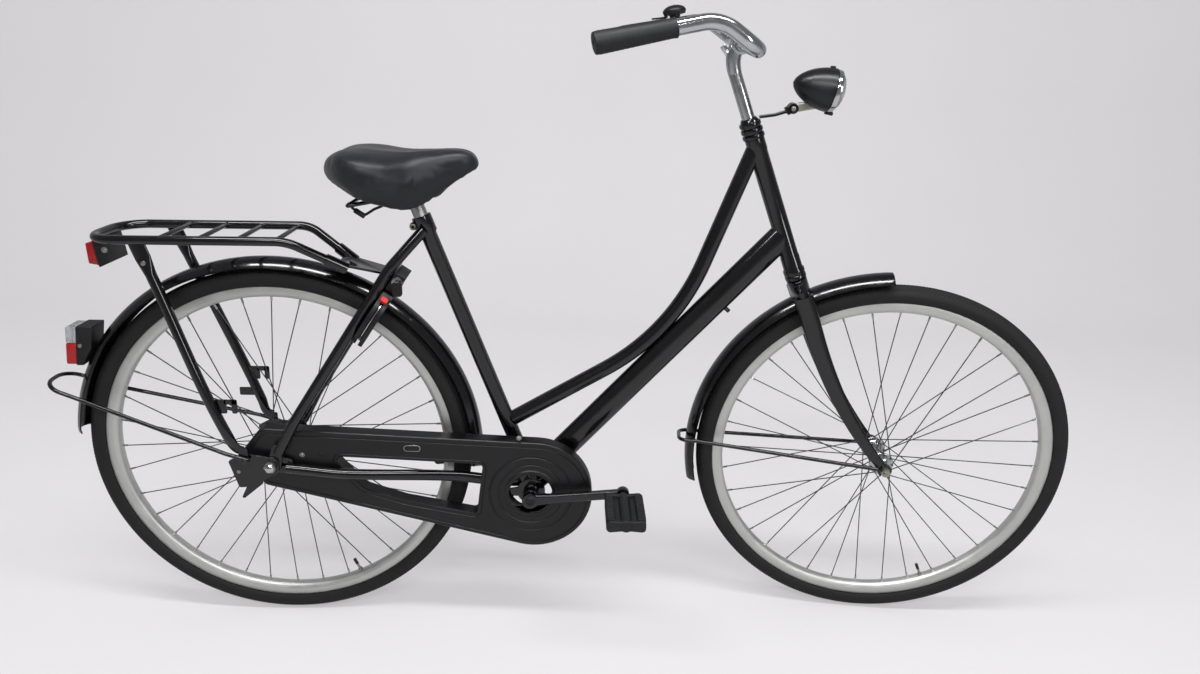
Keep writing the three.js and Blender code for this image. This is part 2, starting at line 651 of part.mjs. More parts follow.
function buildChain() {
  const [small, large] = [pitchRadius(SPROCKET.teeth), pitchRadius(RING.teeth)];
  const between = bracket.clone().sub(rearAxle);
  const slope = Math.atan2(between.z, between.x);
  const lean = Math.acos((large - small) / between.length());
  const arc = (centre, radius, from, to, pieces) => steps(pieces + 1).map((i) => {
    const angle = from + (to - from) * i / pieces;
    return [centre.x + radius * Math.cos(angle), centre.z + radius * Math.sin(angle)];
  });
  const loop = (outset) => [
    ...arc(bracket, large + outset, slope - HALF_TURN + lean, slope + HALF_TURN - lean, 24),
    ...arc(rearAxle, small + outset, slope + HALF_TURN - lean, slope + HALF_TURN + lean, 12),
  ];
  const [from, to] = [-CHAINLINE + CHAIN.width / 2, -CHAINLINE - CHAIN.width / 2];
  const body = plate(loop(CHAIN.depth / 2), from, to);
  const inside = plate(loop(-CHAIN.depth / 2), from + OVERRUN, to - OVERRUN);
  add(bike, 'chain', cut(body, inside), zinc);
}

function buildSprocket() {
  const [from, to] = [-CHAINLINE + SPROCKET.thick / 2, -CHAINLINE - SPROCKET.thick / 2];
  const disc = plate(toothedOutline(SPROCKET.teeth, rearAxle), from, to);
  const bore = rod(
    along(rearAxle, SIDEWAYS, from + OVERRUN), along(rearAxle, SIDEWAYS, to - OVERRUN), SPROCKET.bore, 24,
  );
  add(bike, 'rear_sprocket', cut(disc, bore), zinc);
}

const SPINDLE = { radius: 8, half: 80 };
const CRANK = {
  bossRadius: 15, bossFrom: 42, inner: 71, outer: 84, eyeRadius: 12, bossHalf: 13, neckHalf: 9,
  eyeShare: 0.96, neckShare: 0.25,
};
const PEDAL_AXLE = { radius: 5, out: 180, collar: 8 };
const crankHeading = at(Math.cos(CRANK_TURN), 0, Math.sin(CRANK_TURN));
const crankRise = at(-Math.sin(CRANK_TURN), 0, Math.cos(CRANK_TURN));
const pedalCentre = along(bracket, crankHeading, CRANK_LENGTH);
const farPedalCentre = along(bracket, crankHeading, -CRANK_LENGTH);

function crankArm() {
  const edge = (distance, half) => [distance, half];
  const shares = [edge(0, CRANK.bossHalf), edge(CRANK.neckShare, CRANK.neckHalf), edge(CRANK.eyeShare, CRANK.neckHalf)];
  const place = (share, offset) => {
    const point = along(along(bracket, crankHeading, share * CRANK_LENGTH), crankRise, offset);
    return [point.x, point.z];
  };
  const lower = shares.map(([share, half]) => place(share, -half));
  const upper = shares.map(([share, half]) => place(share, half)).reverse();
  const arm = plate([...lower, ...upper], -CRANK.inner, -CRANK.outer);
  const boss = rod(along(bracket, SIDEWAYS, -CRANK.inner + OVERRUN), along(bracket, SIDEWAYS, -CRANK.outer), CRANK.bossRadius, 14);
  const eye = rod(along(pedalCentre, SIDEWAYS, -CRANK.inner), along(pedalCentre, SIDEWAYS, -CRANK.outer), CRANK.eyeRadius, 10);
  const axle = rod(along(pedalCentre, SIDEWAYS, -CRANK.inner), along(pedalCentre, SIDEWAYS, -PEDAL_AXLE.out), PEDAL_AXLE.radius, 8);
  const collar = rod(
    along(pedalCentre, SIDEWAYS, -CRANK.outer + GAP),
    along(pedalCentre, SIDEWAYS, -PEDAL.inner + GAP),
    PEDAL_AXLE.collar,
    8,
  );
  return join(arm, boss, eye, axle, collar);
}

function spindleHole() {
  const reach = SPINDLE.half + GAP;
  return rod(along(bracket, SIDEWAYS, -reach), along(bracket, SIDEWAYS, reach), SPINDLE.radius + 2 * GAP);
}

function chainring() {
  const [from, to] = [-CHAINLINE + RING.thick / 2, -CHAINLINE - RING.thick / 2];
  const inner = tipRadius(RING.teeth) - CHAIN.toothDepth / 2 - RING.rim;
  const disc = plate(toothedOutline(RING.teeth, bracket), from, to);
  const middle = rod(along(bracket, SIDEWAYS, from + OVERRUN), along(bracket, SIDEWAYS, to - OVERRUN), inner, 22);
  const arms = steps(RING.arms).map((i) => {
    const angle = CRANK_TURN + (i + 0.5) * FULL_TURN / RING.arms;
    const arm = block(at(0, from, -RING.armWidth / 2), at(inner + RING.rim / 2, to, RING.armWidth / 2));
    return arm.rotateY(-angle).translate(bracket.x, 0, bracket.z);
  });
  const hub = rod(along(bracket, SIDEWAYS, -CRANK.bossFrom), along(bracket, SIDEWAYS, -CRANK.bossFrom - RING.hubThick), RING.hub, 14);
  const boss = rod(along(bracket, SIDEWAYS, -CRANK.bossFrom), along(bracket, SIDEWAYS, -CRANK.inner - OVERRUN), CRANK.bossRadius, 14);
  return join(cut(disc, middle), ...arms, hub, boss);
}

function buildCranks() {
  add(bike, 'right_crank', cut(join(crankArm(), chainring()), spindleHole()), paint);
  const left = crankArm().translate(-bracket.x, 0, -bracket.z).rotateZ(HALF_TURN).scale(1, 1, -1);
  add(bike, 'left_crank', cut(left.translate(bracket.x, 0, bracket.z), spindleHole()), paint);
  const ends = [-1, 1].map((side) => along(bracket, SIDEWAYS, side * SPINDLE.half));
  add(bike, 'crank_spindle', rod(ends[0], ends[1], SPINDLE.radius, 16), zinc);
}

// Pedals: a plastic cage with two rubber treads

const PEDAL = { inner: 92, outer: 184, length: 68, thick: 26, cut: 7, coreHalf: 11, reflector: 1.5, reflectorHalf: 14 };

function pedalBody(centre, side) {
  const [halfLength, halfThick] = [PEDAL.length / 2, PEDAL.thick / 2];
  const corner = PEDAL.cut;
  const outline = [
    [-halfLength, -halfThick, corner], [halfLength, -halfThick, corner],
    [halfLength, halfThick, corner], [-halfLength, halfThick, corner],
  ].map(([x, z, radius]) => [centre.x + x, centre.z + z, radius]);
  const body = plate(rounded(outline, 0, 30 * DEGREE), side * PEDAL.inner, side * PEDAL.outer);
  const window = (sign) => block(
    at(centre.x + sign * PEDAL.coreHalf, side * (PEDAL.inner + corner), centre.z - PEDAL.thick),
    at(centre.x + sign * (halfLength - 2 * corner), side * (PEDAL.outer - corner), centre.z + PEDAL.thick),
  );
  const bore = rod(
    along(centre, SIDEWAYS, side * (PEDAL.inner - OVERRUN)),
    along(centre, SIDEWAYS, side * (PEDAL_AXLE.out + GAP)),
    PEDAL_AXLE.radius + 2 * GAP,
    8,
  );
  return cut(body, window(1), window(-1), bore);
}

function buildPedals() {
  add(bike, 'right_pedal', pedalBody(pedalCentre, -1), rubber);
  add(bike, 'left_pedal', pedalBody(farPedalCentre, 1), rubber);
}

// Wheels: tyre, rim, and a hub laced with crossed spokes

const RIM = { tyreStand: 30.5, wellDepth: 9, bedDepth: 21, half: 12.2, lip: 2.5, bedHalf: 9 };
const rimFlange = TYRE_RADIUS - RIM.tyreStand;
const rimWell = rimFlange - RIM.wellDepth;
const rimBed = rimFlange - RIM.bedDepth;
const SPOKE = { count: 36, radius: 1.25, hubTurn: 60 * DEGREE, headOffset: 3.4, rimOffset: 1.5, sunk: 3 };
const VALVE = { radius: 3, length: 27, angle: -65 * DEGREE };
const FRONT_HUB = { half: 45, bore: 4.8, barrel: 14, flange: 23, flangeAt: 30, flangeThick: 6, nose: 10, noseLength: 9 };
const REAR_HUB = {
  half: 49, bore: 5.3, barrel: 28, flange: 36, flangeAt: 27, flangeThick: 6, nose: 15, noseLength: 15,
};

function tyre() {
  const centre = TYRE_RADIUS - TYRE_SECTION_RADIUS;
  const bead = RIM.half - RIM.lip - GAP;
  const top = rimFlange + GAP;
  const widest = Math.acos((top - centre) / TYRE_SECTION_RADIUS);
  const treadHalf = TREAD_STRIP_WIDTH / 2;
  const tread = TYRE_RADIUS / Math.cos(HALF_TURN / WHEEL_SIDES);
  const sideShares = [1, 0.68, 0.34];
  const side = sideShares.map((share) => [
    centre + TYRE_SECTION_RADIUS * Math.cos(share * widest),
    TYRE_SECTION_RADIUS * Math.sin(share * widest),
  ]);
  const half = [[rimWell + GAP, bead], [top, bead], ...side, [tread, treadHalf]];
  return [...half.map(([radius, y]) => [radius, -y]), ...half.reverse()];
}

function rim() {
  const half = [
    [rimWell, RIM.half - RIM.lip], [rimFlange, RIM.half - RIM.lip], [rimFlange, RIM.half],
    [rimBed, RIM.bedHalf],
  ];
  return [...half, ...half.map(([radius, y]) => [radius, -y]).reverse()];
}

function hubProfile(hub) {
  const shoulder = hub.half - hub.noseLength;
  const outer = [
    [hub.bore, hub.half], [hub.nose, hub.half], [hub.nose, shoulder],
    [hub.barrel, hub.flangeAt + hub.flangeThick / 2], [hub.flange, hub.flangeAt + hub.flangeThick / 2],
    [hub.flange, hub.flangeAt - hub.flangeThick / 2], [hub.barrel, hub.flangeAt - hub.flangeThick / 2],
  ];
  return [...outer, ...outer.map(([radius, y]) => [radius, -y]).reverse()];
}

function lacedHub(hub, axle) {
  const shell = turned(hubProfile(hub), axle, SIDEWAYS, 12);
  const reach = rimBed * Math.cos(HALF_TURN / WHEEL_SIDES) - GAP;
  const start = hub.flange - SPOKE.sunk;
  const spokes = steps(SPOKE.count).map((i) => {
    const side = i % 2 ? 1 : -1;
    const leads = Math.floor(i / 2) % 2 ? 1 : -1;
    const rimAngle = i * FULL_TURN / SPOKE.count;
    const hubAngle = rimAngle - leads * SPOKE.hubTurn;
    const place = (radius, angle, y) => at(
      axle.x + radius * Math.cos(angle), axle.y + y, axle.z + radius * Math.sin(angle),
    );
    const head = place(start, hubAngle, side * (hub.flangeAt + leads * SPOKE.headOffset / 2));
    const end = place(reach, rimAngle, side * SPOKE.rimOffset);
    return rod(head, end, SPOKE.radius, 3);
  });
  return join(shell, ...spokes);
}

function valve(axle) {
  const outwards = at(Math.cos(VALVE.angle), 0, Math.sin(VALVE.angle));
  const from = along(axle, outwards, rimBed - VALVE.length);
  return rod(from, along(axle, outwards, rimWell - RIM.lip), VALVE.radius, 6);
}

function buildWheel(parent, name, axle, hub) {
  add(parent, `${name}_tyre`, turned(tyre(), axle, SIDEWAYS, WHEEL_SIDES), rubber);
  add(parent, `${name}_rim`, join(turned(rim(), axle, SIDEWAYS, WHEEL_SIDES), valve(axle)), aluminium);
  add(parent, `${name}_hub_and_spokes`, lacedHub(hub, axle), aluminium);
}

function buildRearAxle() {
  const shaft = rod(at(0, -REAR_AXLE.half, AXLE_HEIGHT), at(0, REAR_AXLE.half, AXLE_HEIGHT), REAR_AXLE.radius, 8);
  const pieces = [-1, 1].flatMap((side) => [
    rod(
      at(0, side * REAR_AXLE.nutFrom, AXLE_HEIGHT),
      at(0, side * (REAR_AXLE.nutFrom + REAR_AXLE.nutThick), AXLE_HEIGHT),
      REAR_AXLE.nutRadius,
      6,
    ),
    rod(
      at(0, side * REAR_AXLE.lockFrom, AXLE_HEIGHT),
      at(0, side * (FORK_END.inner - GAP), AXLE_HEIGHT),
      REAR_AXLE.lockRadius,
      8,
    ),
  ]);
  add(bike, 'rear_axle', join(shaft, ...pieces), zinc);
}

// Brackets at the rear axle

const AXLE_PLATE = {
  thick: 3, backX: -75, backZ: 9, topX: -48, topZ: 24, lowX: -60, lowZ: -44, footX: -38, footZ: -42,
  noseX: 13, noseTop: 15, noseLow: -13, corner: 4, hookX: -58, hookZ: -65, hookWide: 6, hookRootX: -18, hookRootZ: -30,
  holeX: -58, holeZ: -12, holeRadius: 2.6,
};
const PLATE_INNER = EYE_INNER + SEATSTAY.eyeThick + GAP;

function axlePlate(side) {
  const high = (x, z, radius) => [x, AXLE_HEIGHT + z, radius];
  const corners = [
    high(AXLE_PLATE.lowX, AXLE_PLATE.lowZ, AXLE_PLATE.corner),
    high(AXLE_PLATE.footX, AXLE_PLATE.footZ, AXLE_PLATE.corner),
    high(AXLE_PLATE.noseX, AXLE_PLATE.noseLow, 2 * AXLE_PLATE.corner),
    high(AXLE_PLATE.noseX, AXLE_PLATE.noseTop, 2 * AXLE_PLATE.corner),
    high(AXLE_PLATE.topX, AXLE_PLATE.topZ, AXLE_PLATE.corner),
    high(AXLE_PLATE.backX, AXLE_PLATE.backZ, AXLE_PLATE.corner),
  ];
  const hook = [
    high(AXLE_PLATE.hookX, AXLE_PLATE.hookZ, 2), high(AXLE_PLATE.hookX + AXLE_PLATE.hookWide, AXLE_PLATE.hookZ, 2),
    high(AXLE_PLATE.hookRootX, AXLE_PLATE.hookRootZ - AXLE_PLATE.hookWide, 2),
    high(AXLE_PLATE.hookRootX, AXLE_PLATE.hookRootZ + AXLE_PLATE.hookWide, 2),
    high(AXLE_PLATE.footX - AXLE_PLATE.hookWide, AXLE_PLATE.footZ + AXLE_PLATE.hookWide, 2),
  ];
  const [from, to] = [side * PLATE_INNER, side * (PLATE_INNER + AXLE_PLATE.thick)];
  const hole = (x, z, radius) => rod(
    at(x, from - side * OVERRUN, AXLE_HEIGHT + z), at(x, to + side * OVERRUN, AXLE_HEIGHT + z), radius, 8,
  );
  const body = join(plate(rounded(corners, 0, 45 * DEGREE), from, to), plate(rounded(hook, 0, 90 * DEGREE), from, to));
  return cut(body, hole(0, 0, REAR_AXLE.radius + 3 * GAP), hole(AXLE_PLATE.holeX, AXLE_PLATE.holeZ, AXLE_PLATE.holeRadius));
}

function buildAxlePlates() {
  add(bike, 'right_axle_plate', axlePlate(-1), paint);
  add(bike, 'left_axle_plate', axlePlate(1), paint);
}

// Carrier: a bent hoop with cross bars, its bracket on the stay bridge, and two legs

const CARRIER = {
  radius: 7.7, height: 760.3, halfWidth: 62.7, bendX: 57, backX: -269.5, cornerRadius: 46, endDrop: 4,
  neckX: 133, neckY: 32, neckZ: 713, bendRadius: 60, barRadius: 4, firstBar: -150, barPitch: 62.7, bars: 4,
};
const LEG = {
  radius: 8.7, topX: -186, topY: 64, footX: -46, footZ: 15, footY: 73.4, kneeX: -67, kneeZ: 62, kneeY: 77.8,
  flatSide: 1.4, flatHeight: 9, topSide: 4, topHeight: 13, flatZ: 36, topReach: 30, clearHalf: 20,
};
const CARRIER_BRACKET = { half: 20, wide: 12, thick: 4, sleeve: 10.5, sleeveLength: 26, boltRadius: 5 };

const legFoot = at(LEG.footX, -LEG.footY, AXLE_HEIGHT + LEG.footZ);
const legFlat = at((LEG.footX + LEG.kneeX) / 2, -LEG.footY, AXLE_HEIGHT + LEG.flatZ);
const legKnee = at(LEG.kneeX, -LEG.kneeY, AXLE_HEIGHT + LEG.kneeZ);
const legTop = at(LEG.topX, -LEG.topY, CARRIER.height);

function carrierPath() {
  const side = (sign) => [
    at(CARRIER.neckX, sign * CARRIER.neckY, CARRIER.neckZ),
    at(CARRIER.bendX, sign * CARRIER.halfWidth, CARRIER.height),
    at(CARRIER.backX, sign * CARRIER.halfWidth, CARRIER.height - CARRIER.endDrop),
  ];
  return [...side(-1), ...side(1).reverse()];
}

function railRod(sign, outset) {
  const [, bend, back] = carrierPath();
  const place = (point) => at(point.x, sign * Math.abs(point.y), point.z);
  return rod(place(bend), place(back), CARRIER.radius + outset, 12);
}

function buildCarrier() {
  const radii = [CARRIER.bendRadius, CARRIER.cornerRadius, CARRIER.cornerRadius, CARRIER.bendRadius];
  const hoop = pipe(carrierPath(), radii, CARRIER.radius);
  const barZ = CARRIER.height;
  const bars = steps(CARRIER.bars).map((i) => {
    const x = CARRIER.firstBar + i * CARRIER.barPitch;
    return rod(at(x, -CARRIER.halfWidth, barZ), at(x, CARRIER.halfWidth, barZ), CARRIER.barRadius, 8);
  });
  add(bike, 'carrier', join(hoop, ...bars), paint);
}

function buildCarrierBracket() {
  const necks = [-1, 1].map((sign) => at(CARRIER.neckX, sign * CARRIER.neckY, CARRIER.neckZ));
  const neckBack = [-1, 1].map((sign) => at(CARRIER.bendX, sign * CARRIER.halfWidth, CARRIER.height));
  const heading = [0, 1].map((i) => necks[i].clone().sub(neckBack[i]).normalize());
  const clearNeck = heading.map((way, i) => rod(
    neckBack[i], along(necks[i], way, GAP), CARRIER.radius + GAP, 12,
  ));
  const sleeves = heading.map((way, i) => rod(
    along(necks[i], way, -CARRIER_BRACKET.sleeveLength),
    along(necks[i], way, CARRIER_BRACKET.sleeveLength / 2),
    CARRIER_BRACKET.sleeve,
    12,
  ));
  const bridge = at(bridgePlace.x, 0, bridgePlace.z);
  const start = at(CARRIER.neckX - CARRIER_BRACKET.wide / 2, 0, CARRIER.neckZ + CARRIER_BRACKET.thick / 2);
  const end = at(bridge.x + SEATSTAY.bridgeRadius, 0, bridge.z + SEATSTAY.bridgeRadius + CARRIER_BRACKET.thick);
  const way = end.clone().sub(start).normalize();
  const rise = way.clone().cross(SIDEWAYS).negate();
  const corner = (place, y, lift) => along(along(place, SIDEWAYS, y), rise, lift);
  const ring = (place, half) => [
    corner(place, -half, -CARRIER_BRACKET.thick / 2), corner(place, half, -CARRIER_BRACKET.thick / 2),
    corner(place, half, CARRIER_BRACKET.thick / 2), corner(place, -half, CARRIER_BRACKET.thick / 2),
  ];
  const tongue = loft([ring(start, CARRIER.neckY), ring(end, CARRIER_BRACKET.half)]);
  const bridgeClear = rod(
    at(bridge.x, -CARRIER.halfWidth, bridge.z), at(bridge.x, CARRIER.halfWidth, bridge.z),
    SEATSTAY.bridgeRadius + GAP, 12,
  );
  const stayClear = pipe(seatstayPath, [SEATSTAY.bendRadius, SEATSTAY.bendRadius / 2], SEATSTAY.radius + GAP);
  const shaped = cut(join(tongue, ...sleeves), ...clearNeck, bridgeClear, stayClear, mirrored(stayClear));
  add(bike, 'carrier_bracket', shaped, paint);
}

function leg() {
  const up = legTop.clone().sub(legKnee).normalize();
  const round = along(legTop, up, -LEG.topReach * 2);
  return ovalTube([
    { centre: legFoot, width: LEG.flatSide, height: LEG.flatHeight },
    { centre: legFlat, width: LEG.flatSide, height: LEG.flatHeight },
    { centre: legKnee, width: LEG.radius, height: LEG.radius },
    { centre: round, width: LEG.radius, height: LEG.radius },
    { centre: along(legTop, up, -LEG.topReach), width: LEG.topSide, height: LEG.topHeight },
    { centre: legTop, width: LEG.topSide, height: LEG.topHeight },
  ], SIDEWAYS);
}

const STRAP_HOOK = {
  out: 40, high: 26, thick: 3, wall: 9, mouth: 9, rightHeight: 118, leftHeight: 118, clipHeight: 78, clipOut: 34,
  clipHigh: 16, corner: 2, tipCorner: 4,
};

function strapHook(height, out, high, sign, notch) {
  const share = (AXLE_HEIGHT + height - legKnee.z) / (legTop.z - legKnee.z);
  const centre = legKnee.clone().lerp(legTop, share);
  const [low, top] = [centre.z - high / 2, centre.z + high / 2];
  const points = [
    [centre.x, low, STRAP_HOOK.corner], [centre.x + out, low, STRAP_HOOK.corner],
    [centre.x + out, top, STRAP_HOOK.tipCorner], [centre.x, top, STRAP_HOOK.corner],
  ].map(([x, z, radius]) => [sign > 0 ? x : 2 * centre.x - x, z, radius]);
  const outline = sign > 0 ? points : points.reverse();
  const [from, to] = [centre.y - STRAP_HOOK.thick / 2, centre.y + STRAP_HOOK.thick / 2];
  const body = plate(rounded(outline), from, to);
  if (!notch) return body;
  const mouth = block(
    at(centre.x + out - STRAP_HOOK.wall - STRAP_HOOK.mouth, from - OVERRUN, low - OVERRUN),
    at(centre.x + out - STRAP_HOOK.wall, to + OVERRUN, top - STRAP_HOOK.wall),
  );
  return cut(body, mouth);
}

function buildLegs() {
  const tools = [railRod(-1, GAP), axlePlateClear(), block(
    at(LEG.topX - 2 * LEG.topHeight, -CARRIER.halfWidth - LEG.clearHalf, CARRIER.height),
    at(LEG.topX + 2 * LEG.topHeight, -CARRIER.halfWidth + LEG.clearHalf, CARRIER.height + 2 * LEG.topHeight),
  )];
  const right = join(leg(), strapHook(STRAP_HOOK.rightHeight, STRAP_HOOK.out, STRAP_HOOK.high, 1, true));
  add(bike, 'carrier_right_leg', cut(right, ...tools), paint);
  const left = join(
    leg(),
    strapHook(STRAP_HOOK.leftHeight, STRAP_HOOK.out, STRAP_HOOK.high, 1, true),
    strapHook(STRAP_HOOK.clipHeight, STRAP_HOOK.clipOut, STRAP_HOOK.clipHigh, -1, false),
  );
  add(bike, 'carrier_left_leg', mirrored(cut(left, ...tools)), paint);
}

function axlePlateClear() {
  const outer = PLATE_INNER + AXLE_PLATE.thick + GAP;
  return block(
    at(AXLE_PLATE.backX - OVERRUN, -FORK_END.inner, AXLE_HEIGHT + AXLE_PLATE.lowZ),
    at(AXLE_PLATE.noseX, -outer, AXLE_HEIGHT + AXLE_PLATE.topZ + OVERRUN),
  );
}

// Mudguards and their wire stays

const GUARD = {
  halfWidth: 26, depth: 15, wall: 1.2, crownPower: 2.2, sectionSteps: 6, arcStep: 11.5 * DEGREE,
};
const REAR_GUARD = { ...GUARD, clearance: 21.5, from: -4 * DEGREE, to: 174.5 * DEGREE };
const FRONT_GUARD = {
  ...GUARD, clearance: 22.5, from: 94 * DEGREE, to: 191.6 * DEGREE, spacerFrom: 366, spacerRadius: 15,
};
const guardCrest = (guard) => TYRE_RADIUS + guard.clearance;
const REAR_ROD = {
  radius: 3.6, footX: -36, footY: 78.3, footZ: 15, bendX: -74, bendZ: 27, backX: -333, backY: 37, backZ: 107,
  endX: -398, endZ: 134, eyeRadius: 6, eyeThick: 3,
};
const FRONT_ROD = {
  radius: 3.6, footY: 60.5, footZ: 5, backX: -348, backY: 31.1, backZ: 22, farDrop: 12, endX: -384, footX: -14,
};

function rearStay() {
  const half = [
    at(REAR_ROD.footX, -REAR_ROD.footY, AXLE_HEIGHT + REAR_ROD.footZ),
    at(REAR_ROD.bendX, -REAR_ROD.footY, AXLE_HEIGHT + REAR_ROD.bendZ),
    at(REAR_ROD.backX, -REAR_ROD.backY, AXLE_HEIGHT + REAR_ROD.backZ),
    at(REAR_ROD.endX, -REAR_ROD.backY, AXLE_HEIGHT + REAR_ROD.endZ),
  ];
  const other = half.map((point) => at(point.x, -point.y, point.z)).reverse();
  const bend = REAR_ROD.backY - OVERRUN;
  return pipe([...half, ...other], [bend, bend, bend, bend, bend, bend], REAR_ROD.radius, 6);
}

function frontStay() {
  const half = [
    at(frontAxle.x + FRONT_ROD.footX, -FRONT_ROD.footY, AXLE_HEIGHT + FRONT_ROD.footZ),
    at(frontAxle.x + FRONT_ROD.backX, -FRONT_ROD.backY, AXLE_HEIGHT + FRONT_ROD.backZ),
    at(frontAxle.x + FRONT_ROD.endX, -FRONT_ROD.backY, AXLE_HEIGHT + FRONT_ROD.backZ),
  ];
  const other = half.map((point) => at(point.x, -point.y, point.z - FRONT_ROD.farDrop)).reverse();
  const bend = (FRONT_ROD.backX - FRONT_ROD.endX) / 2;
  return pipe([...half, ...other], [bend, bend, bend, bend], FRONT_ROD.radius, 6);
}

function buildGuards() {
  add(bike, 'rear_mudguard', guardStrip(REAR_GUARD, rearAxle), paint);
  add(bike, 'rear_mudguard_stay', rearStay(), paint);
  const spacer = rod(onHeadAxis(FRONT_GUARD.spacerFrom), onHeadAxis(FORK.crownFrom - GAP), FRONT_GUARD.spacerRadius);
  add(steered, 'front_mudguard', join(guardStrip(FRONT_GUARD, frontAxle), spacer), paint);
  add(steered, 'front_mudguard_stay', frontStay(), paint);
}

// Fork

const FORK = {
  crownFrom: 372, crownTo: 398, crownHalf: 50, crownAhead: 18, steererRadius: 12.7, steererBore: 11.8, steererTo: 690,
  bladeY: 41, tipY: 54.8, curveFrom: 300, curvePower: 2.2, rootHeight: 18, tipHeight: 8, rootSide: 10, tipSide: 2.6,
  tipFrom: 8, plateInner: 51.8, plateOuter: 57, plateRadius: 13, slot: 4.9,
};
const forkShares = [1, 0.82, 0.62, 0.47, 0.33, 0.2, 0.09, 0];

function forkBlade(outset = 0) {
  const stations = forkShares.map((share) => {
    const distance = FORK.tipFrom + share * (FORK.crownFrom + OVERRUN - FORK.tipFrom);
    const bend = Math.max(0, 1 - distance / FORK.curveFrom) ** FORK.curvePower;
    const spread = FORK.bladeY + (FORK.tipY - FORK.bladeY) * (1 - Math.min(1, distance / FORK.curveFrom));
    return {
      centre: along(onHeadAxis(distance, FORK_RAKE * bend), SIDEWAYS, -spread),
      width: FORK.tipSide + (FORK.rootSide - FORK.tipSide) * share + outset,
      height: FORK.tipHeight + (FORK.rootHeight - FORK.tipHeight) * share ** 0.7 + outset,
    };
  });
  return ovalTube(stations, SIDEWAYS);
}

function forkTip() {
  const disc = rod(
    along(frontAxle, SIDEWAYS, -FORK.plateInner), along(frontAxle, SIDEWAYS, -FORK.plateOuter), FORK.plateRadius, 12,
  );
  const hole = rod(
    along(frontAxle, SIDEWAYS, -FORK.plateInner + OVERRUN), along(frontAxle, SIDEWAYS, -FORK.plateOuter - OVERRUN),
    FORK.slot, 8,
  );
  const slot = block(
    at(frontAxle.x - FORK.slot, -FORK.plateInner + OVERRUN, AXLE_HEIGHT - 2 * FORK.plateRadius),
    at(frontAxle.x + FORK.slot, -FORK.plateOuter - OVERRUN, AXLE_HEIGHT),
  );
  return { disc, hole, slot };
}

function buildFork() {
  const crown = ovalTube([
    { centre: onHeadAxis(FORK.crownFrom), width: FORK.crownHalf, height: FORK.crownAhead },
    { centre: onHeadAxis((FORK.crownFrom + FORK.crownTo) / 2), width: FORK.crownHalf, height: FORK.crownAhead },
    { centre: onHeadAxis(FORK.crownTo), width: FORK.crownAhead, height: FORK.crownAhead },
  ], SIDEWAYS, 12);
  const steerer = rod(onHeadAxis(FORK.crownTo - OVERRUN), onHeadAxis(FORK.steererTo), FORK.steererRadius);
  const bore = rod(onHeadAxis(FORK.crownFrom - OVERRUN), onHeadAxis(FORK.steererTo + OVERRUN), FORK.steererBore);
  const { disc, hole, slot } = forkTip();
  const blade = cut(join(forkBlade(), disc), hole, slot);
  add(steered, 'fork', cut(join(crown, steerer, blade, mirrored(blade)), bore), paint);
}

// Headset, stem and handlebar

const HEADSET = {
  upperFrom: 663.3, upperTo: 698,
  upperRadius: 19, waist: 16.5, nutRadius: 14.5, bore: 13.6, quillBore: 11.6, ringHeight: 7,
};

function buildHeadset() {
  const step = HEADSET.ringHeight;
  const length = HEADSET.upperTo - HEADSET.upperFrom;
  const profile = [
    [HEADSET.bore, 0], [HEADSET.upperRadius, 0], [HEADSET.upperRadius, step], [HEADSET.waist, step + 1.5 * GAP],
    [HEADSET.waist, 1.5 * step], [HEADSET.upperRadius, 1.5 * step + GAP], [HEADSET.upperRadius, 2.5 * step],
    [HEADSET.waist, 2.5 * step + GAP], [HEADSET.waist, 3 * step], [HEADSET.upperRadius - GAP, 3 * step + GAP],
    [HEADSET.upperRadius - GAP, 4 * step], [HEADSET.nutRadius, length - GAP * 2], [HEADSET.nutRadius, length],
    [HEADSET.quillBore, length], [HEADSET.quillBore, length - step + OVERRUN / 2],
    [HEADSET.bore, length - step + OVERRUN / 2],
  ];
  add(steered, 'upper_headset', turned(profile, onHeadAxis(HEADSET.upperFrom), headUp, 12), paint);
}

const STEM = {
  radius: 11.1, from: 600, to: 806, ahead: 23.4, rise: 12.5, clampRadius: 17, clampHalf: 22, neckRadius: 13,
  boltRadius: 6, boltHeight: 6,
};
const BAR = {
  radius: 11.1, straightY: 240, cornerX: 6, cornerZ: -3, kneeX: -52, kneeZ: 37, kneeY: 248,
  endX: -214, endY: 300, endZ: 2, bendRadius: 32, kneeBend: 60,
};
const GRIP = { length: 113, leftLength: 100, frontRadius: 13, endRadius: 15.5, wall: 3 };
const clampCentre = onHeadAxis(STEM.to + STEM.rise, STEM.ahead);

function barPath() {
  const place = (x, y, z) => at(clampCentre.x + x, y, clampCentre.z + z);
  const half = [
    place(BAR.endX, -BAR.endY, BAR.endZ),
    place(BAR.kneeX, -BAR.kneeY, BAR.kneeZ),
    place(BAR.cornerX, -BAR.straightY, BAR.cornerZ),
  ];
  const other = half.map((point) => at(point.x, -point.y, point.z)).reverse();
  return [...half, place(0, -BAR.straightY / 2, 0), place(0, BAR.straightY / 2, 0), ...other];
}

function barTube(outset = 0) {
  const radii = [BAR.kneeBend, BAR.bendRadius, BAR.kneeBend, BAR.kneeBend, BAR.bendRadius, BAR.kneeBend];
  return pipe(barPath(), radii, BAR.radius + outset);
}

